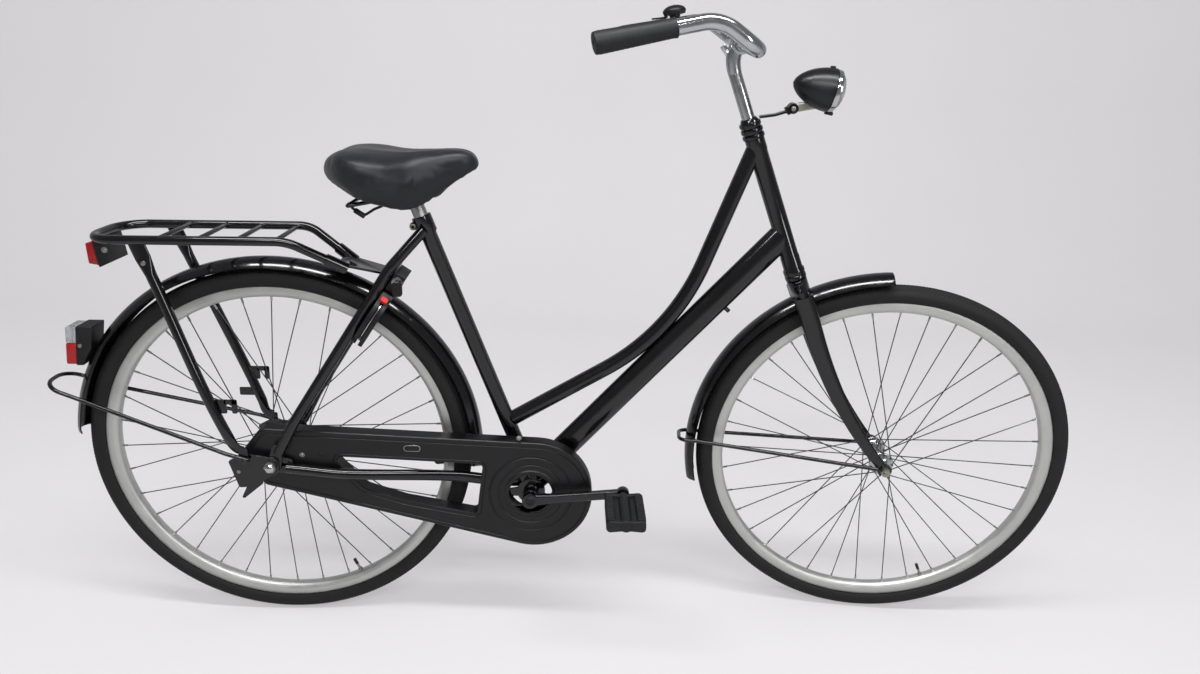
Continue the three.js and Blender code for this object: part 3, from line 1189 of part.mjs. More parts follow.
function buildStem() {
  const quill = rod(onHeadAxis(STEM.from), onHeadAxis(STEM.to), STEM.radius);
  const neck = rod(onHeadAxis(STEM.to - STEM.neckRadius), clampCentre, STEM.neckRadius);
  const clamp = rod(
    along(clampCentre, SIDEWAYS, -STEM.clampHalf), along(clampCentre, SIDEWAYS, STEM.clampHalf), STEM.clampRadius, 14,
  );
  const bolt = rod(onHeadAxis(STEM.to), onHeadAxis(STEM.to + STEM.neckRadius + STEM.boltHeight, -STEM.boltHeight), STEM.boltRadius, 6);
  const hole = clearRod(
    along(clampCentre, SIDEWAYS, -STEM.clampHalf - OVERRUN), along(clampCentre, SIDEWAYS, STEM.clampHalf + OVERRUN),
    BAR.radius, 12,
  );
  add(steered, 'stem', cut(join(quill, neck, clamp, bolt), hole), chrome);
}

function gripAlong(start, heading, length) {
  const end = along(start, heading, -GRIP.wall);
  const front = along(start, heading, length - GRIP.wall);
  const body = cone(end, front, GRIP.endRadius, GRIP.frontRadius, 12);
  const bore = clearRod(along(start, heading, -GAP), along(front, heading, OVERRUN), BAR.radius, 12);
  return cut(body, bore);
}

function buildBar() {
  add(steered, 'handlebar', barTube(), chrome);
  const path = barPath();
  const heading = (start, next) => next.clone().sub(start).normalize();
  add(steered, 'right_grip', gripAlong(path[0], heading(path[0], path[1]), GRIP.length), rubber);
  add(steered, 'left_grip', gripAlong(path.at(-1), heading(path.at(-1), path.at(-2)), GRIP.leftLength), rubber);
}

// Bell on the left half of the bar

const BELL = {
  share: 0.67, bandRadius: 14.5, bandLength: 14, domeRadius: 23, domeHeight: 15, baseRadius: 21, baseHeight: 6,
  stalk: 17, pivotBack: 16, leverLength: 30, leverWide: 9, leverThick: 3,
};

function buildBell() {
  const path = barPath();
  const [grip, knee] = [path.at(-1), path.at(-2)];
  const heading = knee.clone().sub(grip).normalize();
  const centre = grip.clone().lerp(knee, BELL.share);
  const out = along(UP, heading, -UP.dot(heading)).normalize();
  const band = rod(along(centre, heading, -BELL.bandLength / 2), along(centre, heading, BELL.bandLength / 2), BELL.bandRadius);
  const base = rod(along(centre, out, BAR.radius + GAP), along(centre, out, BELL.stalk), BELL.baseRadius / 2, 8);
  const profile = [
    [0, 0], [BELL.baseRadius, 0], [BELL.domeRadius, BELL.baseHeight], [BELL.domeRadius * 0.86, BELL.domeHeight * 0.8],
    [BELL.domeRadius * 0.5, BELL.domeHeight + GAP], [0, BELL.domeHeight + BELL.baseHeight / 2],
  ];
  const dome = turned(profile, along(centre, out, BELL.stalk - GAP), out, 12);
  const hole = clearRod(along(centre, heading, -BELL.bandLength), along(centre, heading, BELL.bandLength), BAR.radius, 12);
  add(steered, 'bell', cut(join(band, base, dome), hole), plastic);
  const across = heading.clone().cross(out);
  const pivot = along(along(centre, heading, -BELL.pivotBack), out, BELL.stalk - BELL.leverThick - 2 * GAP);
  const tip = along(pivot, heading, -BELL.leverLength);
  const corner = (place, side, lift) => along(along(place, across, side), out, lift);
  const ring = (place, half) => [
    corner(place, -half, 0), corner(place, half, 0), corner(place, half, BELL.leverThick), corner(place, -half, BELL.leverThick),
  ];
  add(steered, 'bell_lever', loft([ring(pivot, BELL.leverWide / 2), ring(tip, BELL.leverWide)]), plastic);
}

// Headlamp on its arm from the headset

const LAMP = {
  shellRadius: 36, ringRadius: 33, length: 66, lensDepth: 20, tilt: 10 * DEGREE,
  pivotOn: 689.81, pivotAhead: 74.38, centreOn: 695.94, centreAhead: 142.53, kneeOn: 689.07, kneeAhead: 43.92,
  wall: 2, earHalf: 6, earThick: 3, screwRadius: 4, armWidth: 22, armThick: 4,
};

function buildLamp() {
  const aim = at(Math.cos(LAMP.tilt), 0, -Math.sin(LAMP.tilt));
  const front = onHeadAxis(LAMP.centreOn, LAMP.centreAhead);
  const back = along(front, aim, -LAMP.length);
  const wall = LAMP.wall;
  const outerShares = [[0.1, 0], [0.45, 0.05], [0.72, 0.25], [0.92, 0.55], [1, 0.85], [1, 1]];
  const innerShares = [[1, 1], [0.72, 0.35], [wall / LAMP.shellRadius, 0.3]];
  const outer = outerShares.map(([radius, run]) => [radius * LAMP.shellRadius, run * LAMP.length]);
  const inner = innerShares.map(([radius, run]) => [radius * LAMP.shellRadius - wall, run * LAMP.length]);
  const shell = turned([[0, 0], ...outer, ...inner], back, aim);
  const pivot = onHeadAxis(LAMP.pivotOn, LAMP.pivotAhead);
  const ear = rod(along(pivot, SIDEWAYS, -LAMP.earHalf), along(pivot, SIDEWAYS, LAMP.earHalf), LAMP.screwRadius * 2, 14);
  const stalk = rod(pivot, along(along(back, aim, LAMP.length / 2), UP, -LAMP.shellRadius * 0.8), LAMP.earHalf, 10);
  const inside = rod(along(back, aim, LAMP.length / 4), along(front, aim, OVERRUN), LAMP.shellRadius - 2 * wall, 16);
  const hole = rod(along(pivot, SIDEWAYS, -LAMP.shellRadius), along(pivot, SIDEWAYS, LAMP.shellRadius), LAMP.screwRadius + GAP, 12);
  add(steered, 'headlamp_shell', cut(join(shell, cut(join(ear, stalk), inside)), hole), plastic);

  const lensProfile = [
    [0, 0], [LAMP.ringRadius + wall, 0], [LAMP.ringRadius + wall, 2 * wall],
    [LAMP.ringRadius * 0.86, 4 * wall], [LAMP.ringRadius * 0.55, LAMP.lensDepth * 0.8], [0, LAMP.lensDepth],
  ];
  add(steered, 'headlamp_lens', turned(lensProfile, along(front, aim, GAP), aim, 16), clearLens);

  const top = onHeadAxis(HEADSET.upperTo - HEADSET.ringHeight / 2, HEADSET.nutRadius);
  const knee = onHeadAxis(LAMP.kneeOn, LAMP.kneeAhead);
  const strip = (half) => {
    const line = [top, knee, along(pivot, UP, -LAMP.screwRadius)];
    return ovalTube(line.map((centre) => ({ centre, width: half, height: LAMP.armThick / 2 })), SIDEWAYS, 8);
  };
  const cheeks = [-1, 1].map((side) => rod(
    along(pivot, SIDEWAYS, side * (LAMP.earHalf + GAP)),
    along(pivot, SIDEWAYS, side * (LAMP.earHalf + GAP + LAMP.earThick)),
    LAMP.screwRadius * 2.2,
    14,
  ));
  const screw = rod(
    along(pivot, SIDEWAYS, -LAMP.earHalf - LAMP.earThick * 2), along(pivot, SIDEWAYS, LAMP.earHalf + LAMP.earThick * 2),
    LAMP.screwRadius, 12,
  );
  const earClear = rod(
    along(pivot, SIDEWAYS, -LAMP.earHalf - GAP), along(pivot, SIDEWAYS, LAMP.earHalf + GAP), LAMP.screwRadius * 2 + GAP * 2, 14,
  );
  const nutClear = rod(onHeadAxis(HEADSET.upperFrom), onHeadAxis(HEADSET.upperTo + OVERRUN), HEADSET.upperRadius + GAP, 20);
  const arm = cut(strip(LAMP.armWidth / 2), nutClear, earClear);
  add(steered, 'headlamp_bracket', join(arm, ...cheeks, screw), zinc);
}

// Front axle

const FRONT_AXLE = { radius: 4.5, half: 70, nutRadius: 9, nutThick: 8, lockFrom: 45.4, lockRadius: 8 };

function buildFrontAxle() {
  const shaft = rod(along(frontAxle, SIDEWAYS, -FRONT_AXLE.half), along(frontAxle, SIDEWAYS, FRONT_AXLE.half), FRONT_AXLE.radius, 8);
  const pieces = [-1, 1].flatMap((side) => [
    rod(
      along(frontAxle, SIDEWAYS, side * (FORK.plateOuter + GAP)),
      along(frontAxle, SIDEWAYS, side * (FORK.plateOuter + GAP + FRONT_AXLE.nutThick)),
      FRONT_AXLE.nutRadius,
      6,
    ),
    rod(
      along(frontAxle, SIDEWAYS, side * FRONT_AXLE.lockFrom),
      along(frontAxle, SIDEWAYS, side * (FORK.plateInner - GAP)),
      FRONT_AXLE.lockRadius,
      8,
    ),
  ]);
  add(steered, 'front_axle', join(shaft, ...pieces), zinc);
}

// Seat post, clamp, rails and saddle

const POST = { radius: 12.5, sunk: 215, stand: 43 };
const CLAMP = { radius: 17, stand: 21, height: 24, half: 32, drum: 13 };
const post = { from: SEAT_TUBE.length - POST.sunk, to: SEAT_TUBE.length + POST.stand };
const clamp = { from: SEAT_TUBE.length + CLAMP.stand, to: SEAT_TUBE.length + CLAMP.stand + CLAMP.height };
const seatTop = onSeatAxis(SEAT_TUBE.length);
const RAIL = {
  radius: 3.5, half: 22, noseAhead: 77.3, noseY: 12, noseRise: 86, backBehind: 107.7, backY: 58, backRise: 25.2,
  frontAhead: 32.3,
};
const SADDLE = { backBehind: 156.7, length: 258, halfWidth: 100, floorRise: 3.2, height: 114, padThick: 30 };

function buildSeatPost() {
  add(bike, 'seat_post', rod(onSeatAxis(post.from), onSeatAxis(post.to), POST.radius), aluminium);
  const band = tubeWall(onSeatAxis(clamp.from), onSeatAxis(clamp.to), CLAMP.radius, POST.radius + GAP, 12);
  const drumPlace = onSeatAxis(clamp.to - CLAMP.drum / 2, 0);
  const drum = rod(along(drumPlace, SIDEWAYS, -CLAMP.half), along(drumPlace, SIDEWAYS, CLAMP.half), CLAMP.drum, 12);
  const clear = clearRod(onSeatAxis(post.from), onSeatAxis(post.to + GAP), POST.radius, 12);
  const notch = block(
    at(drumPlace.x - 2 * CLAMP.drum, -RAIL.half - RAIL.radius - GAP, drumPlace.z - 2 * RAIL.radius),
    at(drumPlace.x + 2 * CLAMP.drum, -RAIL.half + RAIL.radius + GAP, drumPlace.z + 2 * RAIL.radius),
  );
  add(bike, 'saddle_clamp', cut(join(band, drum), clear, notch, mirrored(notch)), paint);
}

function railPoints() {
  const middle = onSeatAxis(clamp.to - CLAMP.drum / 2);
  return [
    at(seatTop.x + RAIL.noseAhead, -RAIL.noseY, seatTop.z + RAIL.noseRise),
    at(seatTop.x + RAIL.frontAhead, -RAIL.half, middle.z + RAIL.radius),
    at(middle.x - CLAMP.radius, -RAIL.half, middle.z),
    at(seatTop.x - RAIL.backBehind, -RAIL.backY, seatTop.z + RAIL.backRise),
  ];
}

function railTube(outset = 0) {
  const bend = RAIL.half;
  return pipe(railPoints(), [bend, bend], RAIL.radius + outset, 6);
}

// Each share row: how far along, half width, top and skirt height, as shares of the saddle's size
const saddleShares = [
  [0, 0.18, 0.7, 0.6], [0.03, 0.38, 0.83, 0.54], [0.08, 0.58, 0.92, 0.48], [0.15, 0.8, 0.98, 0.42],
  [0.24, 0.95, 0.99, 0.32], [0.33, 1, 0.98, 0.25], [0.42, 0.92, 0.96, 0.19], [0.5, 0.78, 0.945, 0.13],
  [0.58, 0.62, 0.945, 0.14], [0.66, 0.5, 0.96, 0.25], [0.75, 0.4, 0.975, 0.4], [0.84, 0.34, 0.995, 0.53],
  [0.92, 0.28, 0.985, 0.62], [0.97, 0.2, 0.93, 0.67], [1, 0.1, 0.84, 0.7],
];
// A section: outer skin from the right skirt over the top, then back under the pad
const sectionShares = [
  [-0.72, 0], [-0.93, 0.25], [-1, 0.55], [-0.94, 0.8], [-0.72, 0.95], [-0.4, 1], [0, 0.985],
  [0.4, 1], [0.72, 0.95], [0.94, 0.8], [1, 0.55], [0.93, 0.25], [0.72, 0],
];

const hollowShares = [[0.66, 0.02], [0.6, 1], [0.3, 1], [-0.3, 1], [-0.6, 1], [-0.66, 0.02]];

function saddleSkin() {
  const floor = seatTop.z + SADDLE.floorRise;
  return saddleShares.map(([run, wide, top, skirt]) => {
    const x = seatTop.x - SADDLE.backBehind + run * SADDLE.length;
    const half = wide * SADDLE.halfWidth;
    const low = floor + skirt * SADDLE.height;
    const high = floor + top * SADDLE.height;
    const pad = Math.min(SADDLE.padThick, (high - low) * 0.6);
    const outer = sectionShares.map(([side, up]) => at(x, side * half, low + up * (high - low)));
    const inner = hollowShares.map(([side, up]) => at(x, side * half, up < 1 ? low + up * (high - low) : high - pad));
    return [...outer, ...inner];
  });
}

function buildSaddle() {
  add(bike, 'saddle', loft(saddleSkin()), leatherette);
  const cross = (index) => {
    const [a, b] = [railPoints()[index], mirroredPoint(railPoints()[index])];
    return rod(a, b, RAIL.radius, 6);
  };
  add(bike, 'saddle_rails', join(railTube(), mirrored(railTube()), cross(0), cross(3)), paint);
}

function mirroredPoint(point) {
  return at(point.x, -point.y, point.z);
}

// Rear light on the guard and the reflector under the carrier's end

const LIGHT = {
  halfWidth: 20, lensInset: 1.5, frontTopX: -306, splitTopX: -334, backTopX: -353, topZ: 240,
  frontLowX: -318, splitLowX: -343, backLowX: -361, lowZ: 167,
};
const REFLECTOR = {
  halfWidth: 42, topX: -266, topDrop: 11.8, lowX: -260, lowDrop: 56.3, thick: 3.5,
  backTopX: -282, backTopDrop: 16.3, backLowX: -281, backLowDrop: 51.3, inset: 2,
};

function buildRearLight() {
  const [top, low] = [AXLE_HEIGHT + LIGHT.topZ, AXLE_HEIGHT + LIGHT.lowZ];
  const guardClear = clearRod(
    at(0, -TYRE_RADIUS, AXLE_HEIGHT), at(0, TYRE_RADIUS, AXLE_HEIGHT), guardCrest(REAR_GUARD) + GAP, 2 * WHEEL_SIDES,
  );
  const body = plate([
    [LIGHT.frontTopX, top], [LIGHT.splitTopX, top], [LIGHT.splitLowX, low], [LIGHT.frontLowX, low],
  ], -LIGHT.halfWidth, LIGHT.halfWidth);
  add(bike, 'rear_light_housing', cut(body, guardClear), plastic);
  const lensHalf = LIGHT.halfWidth - LIGHT.lensInset;
  const lens = plate([
    [LIGHT.splitTopX - GAP, top - LIGHT.lensInset], [LIGHT.backTopX, top - LIGHT.lensInset],
    [LIGHT.backLowX, low + LIGHT.lensInset], [LIGHT.splitLowX - GAP, low + LIGHT.lensInset],
  ], -lensHalf, lensHalf);
  add(bike, 'rear_light_lens', lens, redLens);
}

function buildReflector() {
  const [top, low] = [CARRIER.height - REFLECTOR.topDrop, CARRIER.height - REFLECTOR.lowDrop];
  const bracketPlate = plate([
    [REFLECTOR.topX, top], [REFLECTOR.topX - REFLECTOR.thick, top],
    [REFLECTOR.lowX - REFLECTOR.thick, low], [REFLECTOR.lowX, low],
  ], -REFLECTOR.halfWidth, REFLECTOR.halfWidth);
  add(bike, 'reflector_bracket', bracketPlate, paint);
  const half = REFLECTOR.halfWidth - REFLECTOR.inset;
  const lens = plate([
    [REFLECTOR.topX - REFLECTOR.thick - GAP, top - REFLECTOR.inset],
    [REFLECTOR.backTopX, CARRIER.height - REFLECTOR.backTopDrop],
    [REFLECTOR.backLowX, CARRIER.height - REFLECTOR.backLowDrop],
    [REFLECTOR.lowX - REFLECTOR.thick - GAP, low + REFLECTOR.inset],
  ], -half, half);
  add(bike, 'rear_reflector', lens, redLens);
}

// Ring lock: a horseshoe round the rear wheel, with its shackle, finger lever, cylinder and key

const LOCK = {
  angle: 57 * DEGREE, ahead: 7.9, reach: 328, inner: 46, outer: 70, half: 10, middle: 58,
  channel: 5, shackle: 4.2, rightEnd: 230 * DEGREE, leftEnd: -50 * DEGREE, play: 2 * DEGREE,
  shackleLength: 112 * DEGREE, lever: 141 * DEGREE, slotHalf: 2.6, leverHalf: 2, leverSpread: 4 * DEGREE,
  knobInner: 71, knobOuter: 85, knobHalf: 7, knobSpread: 7 * DEGREE, slotOuter: 75, slotBack: 6 * DEGREE,
  boxLow: 62, boxHigh: 96, boxLeft: 12, boxRight: 44, barrelHigh: 84, barrelAhead: 1, barrelRadius: 9,
  barrelDeep: 20, barrelOut: 48,
};
const KEY = { shaft: 2, out: 56.5, thick: 3, bow: 11, hang: 22, backCorner: 4, lowCorner: 6, topCorner: 3 };
const lockOut = at(Math.cos(LOCK.angle), 0, Math.sin(LOCK.angle));
const lockAhead = at(Math.sin(LOCK.angle), 0, -Math.cos(LOCK.angle));
const lockCentre = along(along(rearAxle, lockOut, LOCK.reach), lockAhead, LOCK.ahead);

// Drawn with X to the bike's left, Y away from the axle, then set in the wheel's plane
function inLock(geometry) {
  const frame = new THREE.Matrix4().makeBasis(SIDEWAYS, lockOut, SIDEWAYS.clone().cross(lockOut));
  return geometry.applyMatrix4(frame).translate(lockCentre.x, lockCentre.y, lockCentre.z);
}

function buildLock() {
  const ring = ringSector(LOCK.inner, LOCK.outer, LOCK.half, LOCK.leftEnd, LOCK.rightEnd, 18 * DEGREE);
  const box = block(at(-LOCK.boxRight, LOCK.boxLow, -LOCK.half), at(LOCK.boxLeft, LOCK.boxHigh, LOCK.half));
  const channel = ringSector(
    LOCK.middle - LOCK.channel, LOCK.middle + LOCK.channel, LOCK.channel,
    LOCK.leftEnd - LOCK.play, LOCK.rightEnd + LOCK.play, 18 * DEGREE,
  );
  const slot = ringSector(
    LOCK.middle, LOCK.knobOuter, LOCK.slotHalf, LOCK.lever - LOCK.slotBack, LOCK.rightEnd + LOCK.play, 18 * DEGREE,
  );
  const barrelHole = rod(
    at(-LOCK.barrelDeep, LOCK.barrelHigh, LOCK.barrelAhead), at(-LOCK.boxRight - OVERRUN, LOCK.barrelHigh, LOCK.barrelAhead),
    LOCK.barrelRadius + GAP, 16,
  );
  add(bike, 'lock_housing', inLock(cut(join(ring, box), channel, slot, barrelHole)), plastic);

  const from = LOCK.rightEnd - LOCK.play - LOCK.shackleLength;
  const pieces = 8;
  const rings = steps(pieces + 1).map((i) => {
    const angle = from + LOCK.shackleLength * i / pieces;
    const outwards = at(Math.cos(angle), Math.sin(angle), 0);
    return circle(LOCK.shackle, 8).map(({ x, y }) => along(outwards.clone().multiplyScalar(LOCK.middle + x), UP, y));
  });
  add(bike, 'lock_shackle', inLock(loft(rings)), aluminium);

  const stem = ringSector(
    LOCK.middle + LOCK.shackle + GAP, LOCK.knobInner + GAP, LOCK.leverHalf,
    LOCK.lever - LOCK.leverSpread / 2, LOCK.lever + LOCK.leverSpread / 2,
  );
  const knob = ringSector(
    LOCK.knobInner, LOCK.knobOuter, LOCK.knobHalf, LOCK.lever - LOCK.knobSpread / 2, LOCK.lever + LOCK.knobSpread / 2,
  );
  add(bike, 'lock_lever', inLock(join(stem, knob)), redPlastic);

  const barrel = rod(
    at(-LOCK.barrelDeep - GAP, LOCK.barrelHigh, LOCK.barrelAhead), at(-LOCK.barrelOut, LOCK.barrelHigh, LOCK.barrelAhead),
    LOCK.barrelRadius, 16,
  );
  add(bike, 'lock_cylinder', inLock(barrel), aluminium);

  const place = inLock(new THREE.BufferGeometry().setFromPoints([at(0, LOCK.barrelHigh, LOCK.barrelAhead)]));
  const centre = new THREE.Vector3().fromBufferAttribute(place.getAttribute('position'), 0);
  const shaft = rod(
    at(centre.x, -LOCK.barrelOut - GAP, centre.z), at(centre.x, -KEY.out - KEY.thick, centre.z), KEY.shaft, 10,
  );
  const corners = [
    [centre.x - KEY.bow / 2, centre.z - KEY.hang, KEY.backCorner], [centre.x + KEY.bow, centre.z - KEY.hang, KEY.lowCorner],
    [centre.x + KEY.bow, centre.z + KEY.bow / 3, KEY.topCorner],
    [centre.x - KEY.bow / 2, centre.z + KEY.bow / 3, KEY.topCorner],
  ];
  const bow = plate(rounded(corners), -KEY.out, -KEY.out - KEY.thick);
  add(bike, 'lock_key', join(shaft, bow), plastic);
}

// Coaster brake arm on the left, held to the chainstay by a band

const BRAKE_ARM = {
  from: 54, to: 57, rootHalf: 14, tipHalf: 7, rootCorner: 10, tipCorner: 5, reach: 150, drop: 16,
  bandFrom: 138, bandTo: 152, bandThick: 2.2,
};

function buildBrakeArm() {
  const corners = [
    [-BRAKE_ARM.rootHalf, AXLE_HEIGHT - BRAKE_ARM.rootHalf, BRAKE_ARM.rootCorner],
    [BRAKE_ARM.reach, AXLE_HEIGHT - BRAKE_ARM.drop - BRAKE_ARM.tipHalf, BRAKE_ARM.tipCorner],
    [BRAKE_ARM.reach, AXLE_HEIGHT - BRAKE_ARM.drop + BRAKE_ARM.tipHalf, BRAKE_ARM.tipCorner],
    [-BRAKE_ARM.rootHalf, AXLE_HEIGHT + BRAKE_ARM.rootHalf, BRAKE_ARM.rootCorner],
  ];
  const arm = plate(rounded(corners), BRAKE_ARM.from, BRAKE_ARM.to);
  const hole = rod(
    at(0, BRAKE_ARM.from - OVERRUN, AXLE_HEIGHT), at(0, BRAKE_ARM.to + OVERRUN, AXLE_HEIGHT), REAR_AXLE.lockRadius + GAP, 16,
  );
  const slice = block(
    at(BRAKE_ARM.bandFrom, BRAKE_ARM.from, AXLE_HEIGHT - 4 * BRAKE_ARM.rootHalf),
    at(BRAKE_ARM.bandTo, 2 * BRAKE_ARM.from, AXLE_HEIGHT + 4 * BRAKE_ARM.rootHalf),
  );
  const band = toGeometry(toSolid(mirrored(chainstayTube(GAP + BRAKE_ARM.bandThick))).intersect(toSolid(slice)));
  const stay = mirrored(chainstayTube(GAP));
  add(bike, 'coaster_brake_arm', cut(join(arm, band), hole, stay), zinc);
}

buildHeadTube();
buildSeatTube();
buildBracketShell();
buildTopTube();
buildDownTube();
buildChainstays();
buildSeatstays();
buildChaincase();
buildChain();
buildSprocket();
buildCranks();
buildPedals();
buildWheel(bike, 'rear', rearAxle, REAR_HUB);
buildRearAxle();
buildAxlePlates();
buildCarrier();
buildCarrierBracket();
buildLegs();
buildGuards();
buildFork();
buildHeadset();
buildStem();
buildBar();
buildBell();
buildLamp();
buildFrontAxle();
buildWheel(steered, 'front', frontAxle, FRONT_HUB);
buildSeatPost();
buildSaddle();
buildRearLight();
buildReflector();
buildLock();
buildBrakeArm();

export default bike;
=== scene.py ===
# %% [markdown]
# # A Dutch city bike
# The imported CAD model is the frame: its bodies turn and slide, and its nodes say where each piece is.
# This notebook gives every piece its finished skin and its material. Lengths are in millimetres
# until a mesh is written, and one scale turns them to metres there.

# %% Load the frame
import math
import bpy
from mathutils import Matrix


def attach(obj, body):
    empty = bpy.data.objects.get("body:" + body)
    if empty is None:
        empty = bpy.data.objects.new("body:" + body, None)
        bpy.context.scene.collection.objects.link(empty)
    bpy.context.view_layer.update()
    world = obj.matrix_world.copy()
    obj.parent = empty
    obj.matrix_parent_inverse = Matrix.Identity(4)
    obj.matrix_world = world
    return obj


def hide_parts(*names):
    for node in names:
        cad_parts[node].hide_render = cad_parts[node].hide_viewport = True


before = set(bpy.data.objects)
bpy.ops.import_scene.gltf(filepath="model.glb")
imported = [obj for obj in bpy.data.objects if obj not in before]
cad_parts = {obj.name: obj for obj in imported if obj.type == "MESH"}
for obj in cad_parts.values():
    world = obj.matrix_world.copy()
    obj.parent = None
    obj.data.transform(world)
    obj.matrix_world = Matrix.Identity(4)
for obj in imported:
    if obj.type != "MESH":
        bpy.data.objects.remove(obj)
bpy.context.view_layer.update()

from types import SimpleNamespace as Sizes

import bmesh
import bpy
import numpy as np
from mathutils import Matrix, Vector
from mathutils.geometry import tessellate_polygon

# %% [markdown]
# ## Places that many pieces share
# A bicycle is drawn from a few lines: the two axles, the bracket where the cranks turn, the slanted
# steering line and the slanted seat line. Every piece below is placed from these.

# %% Places
MM = 0.001
WHEELBASE = 1129.0
TYRE_RADIUS = 348.5
TURNED_LIFT = 0.15
HEAD_ANGLE = math.radians(68.2)
FORK_RAKE = 50.5
STEERING_TURN = math.radians(-7.0)
SEAT_ANGLE = math.radians(69.0)
BRACKET = np.array([463.0, 0.0, 288.0])
CRANK_LENGTH = 170.0
CRANK_TURN = math.radians(5.0)
GAP = 0.3
SIDES = (("right", -1), ("left", 1))

SIDEWAYS = np.array([0.0, 1.0, 0.0])
UP = np.array([0.0, 0.0, 1.0])
MIRROR = np.array([1.0, -1.0, 1.0])
REAR_AXLE = np.array([0.0, 0.0, TYRE_RADIUS])
FRONT_AXLE = np.array([WHEELBASE, 0.0, TYRE_RADIUS + TURNED_LIFT])
HEAD_UP = np.array([-math.cos(HEAD_ANGLE), 0.0, math.sin(HEAD_ANGLE)])
HEAD_AHEAD = np.array([math.sin(HEAD_ANGLE), 0.0, math.cos(HEAD_ANGLE)])
SEAT_UP = np.array([-math.cos(SEAT_ANGLE), 0.0, math.sin(SEAT_ANGLE)])
SEAT_AHEAD = np.array([math.sin(SEAT_ANGLE), 0.0, math.cos(SEAT_ANGLE)])
HEAD_FOOT = FRONT_AXLE - FORK_RAKE * HEAD_AHEAD


def at(x, y, z):
    """A point or a direction."""
    return np.array([x, y, z], float)


def slope(angle):
    """The direction in the bike's plane at an angle above straight ahead."""
    return at(math.cos(angle), 0, math.sin(angle))


def on_head(distance, ahead=0.0):
    """A point at a distance up the steering line, and some way ahead of it."""
    return HEAD_FOOT + distance * HEAD_UP + ahead * HEAD_AHEAD


def on_seat(distance, ahead=0.0):
    """A point at a distance up the seat line, and some way ahead of it."""
    return BRACKET + distance * SEAT_UP + ahead * SEAT_AHEAD


def across(centre, side, distance):
    """A point beside a centre: side is 1 for the left and -1 for the right."""
    return centre + SIDEWAYS * side * distance


def stay(x, y, height):
    """A point by its height above the rear axle."""
    return at(x, y, TYRE_RADIUS + height)


def steered(points):
    """Points turned about the steering line by the angle that the photographed bar has."""
    x, y, z = HEAD_UP
    cross = np.array([[0, -z, y], [z, 0, -x], [-y, x, 0]])
    turn = np.eye(3) + math.sin(STEERING_TURN) * cross + (1 - math.cos(STEERING_TURN)) * cross @ cross
    return HEAD_FOOT + (points - HEAD_FOOT) @ turn.T


def mirrored(points):
    """The same points on the other side, in reverse order."""
    return [p * MIRROR for p in points[::-1]]


def placed(name, data):
    """A new object that holds the data, linked into the scene."""
    made = bpy.data.objects.new(name, data)
    bpy.context.scene.collection.objects.link(made)
    return made


print("fork foot", HEAD_FOOT.round(1))

# %% [markdown]
# ## Camera, floor and light
# The photograph looks at the drive side from chest height, a little from behind the middle.
# The floor and wall are plain and pale, and three large soft lamps light the gloss paint.

# %% Camera
CAMERA_PLACE = at(522.83, -1332.71, 1074.36)
CAMERA_YAW, CAMERA_PITCH, CAMERA_ROLL = 0.0474, 0.2934, 0.0345
FOCAL_PIXELS = 777.4
IMAGE_WIDTH, IMAGE_HEIGHT = 1200.0, 674.0
CENTRE_X, CENTRE_Y = 602.55, 288.93

ahead = at(
    math.sin(CAMERA_YAW) * math.cos(CAMERA_PITCH),
    math.cos(CAMERA_YAW) * math.cos(CAMERA_PITCH),
    -math.sin(CAMERA_PITCH),
)
level = np.cross(ahead, UP)
level = level / np.linalg.norm(level)
lift = np.cross(level, ahead)
right = math.cos(CAMERA_ROLL) * level + math.sin(CAMERA_ROLL) * lift
above = np.cross(right, ahead)

camera_data = bpy.data.cameras.new("camera")
camera_data.sensor_width = 36.0
camera_data.lens = FOCAL_PIXELS / IMAGE_WIDTH * camera_data.sensor_width
camera_data.shift_x = (IMAGE_WIDTH / 2 - CENTRE_X) / IMAGE_WIDTH
camera_data.shift_y = (CENTRE_Y - IMAGE_HEIGHT / 2) / IMAGE_WIDTH
camera_data.clip_end = 60.0
camera = placed("camera", camera_data)
turn = np.eye(4)
turn[:3, 0], turn[:3, 1], turn[:3, 2], turn[:3, 3] = right, above, -ahead, CAMERA_PLACE * MM
camera.matrix_world = Matrix(turn.tolist())
bpy.context.scene.camera = camera
bpy.context.scene.view_settings.view_transform = "Standard"
print("lens", round(camera_data.lens, 2))

# %% [markdown]
# ## Materials
# One function turns a written hex colour to the linear numbers that the shader wants, and one adds a
# node with its settings and links. Two more start a finish and join its outputs to the shader.

# %% Small material helpers
def colour(code):
    """An sRGB hex colour as linear red, green, blue and full alpha."""
    channels = [int(code[i:i + 2], 16) / 255 for i in (1, 3, 5)]
    linear = [c / 12.92 if c <= 0.04045 else ((c + 0.055) / 1.055) ** 2.4 for c in channels]
    return (*linear, 1.0)


def add(tree, kind, settings=None, links=None):
    """Adds one node: settings fill its sockets or fields, links join its sockets to other outputs."""
    node = tree.nodes.new(kind)
    for key, value in (settings or {}).items():
        if isinstance(key, int) or key in node.inputs:
            node.inputs[key].default_value = value
        else:
            setattr(node, key, value)
    for key, source in (links or {}).items():
        tree.links.new(source, node.inputs[key])
    return node


def finish(name, settings):
    """A new material with an empty tree but for its surface shader, whose own sockets take settings."""
    material = bpy.data.materials.new(name)
    material.use_nodes = True
    tree = material.node_tree
    tree.nodes.clear()
    shader = add(tree, "ShaderNodeBsdfPrincipled", settings)
    add(tree, "ShaderNodeOutputMaterial", links={"Surface": shader.outputs["BSDF"]})
    where = add(tree, "ShaderNodeTexCoord")
    return material, tree, shader, where.outputs["Object"]


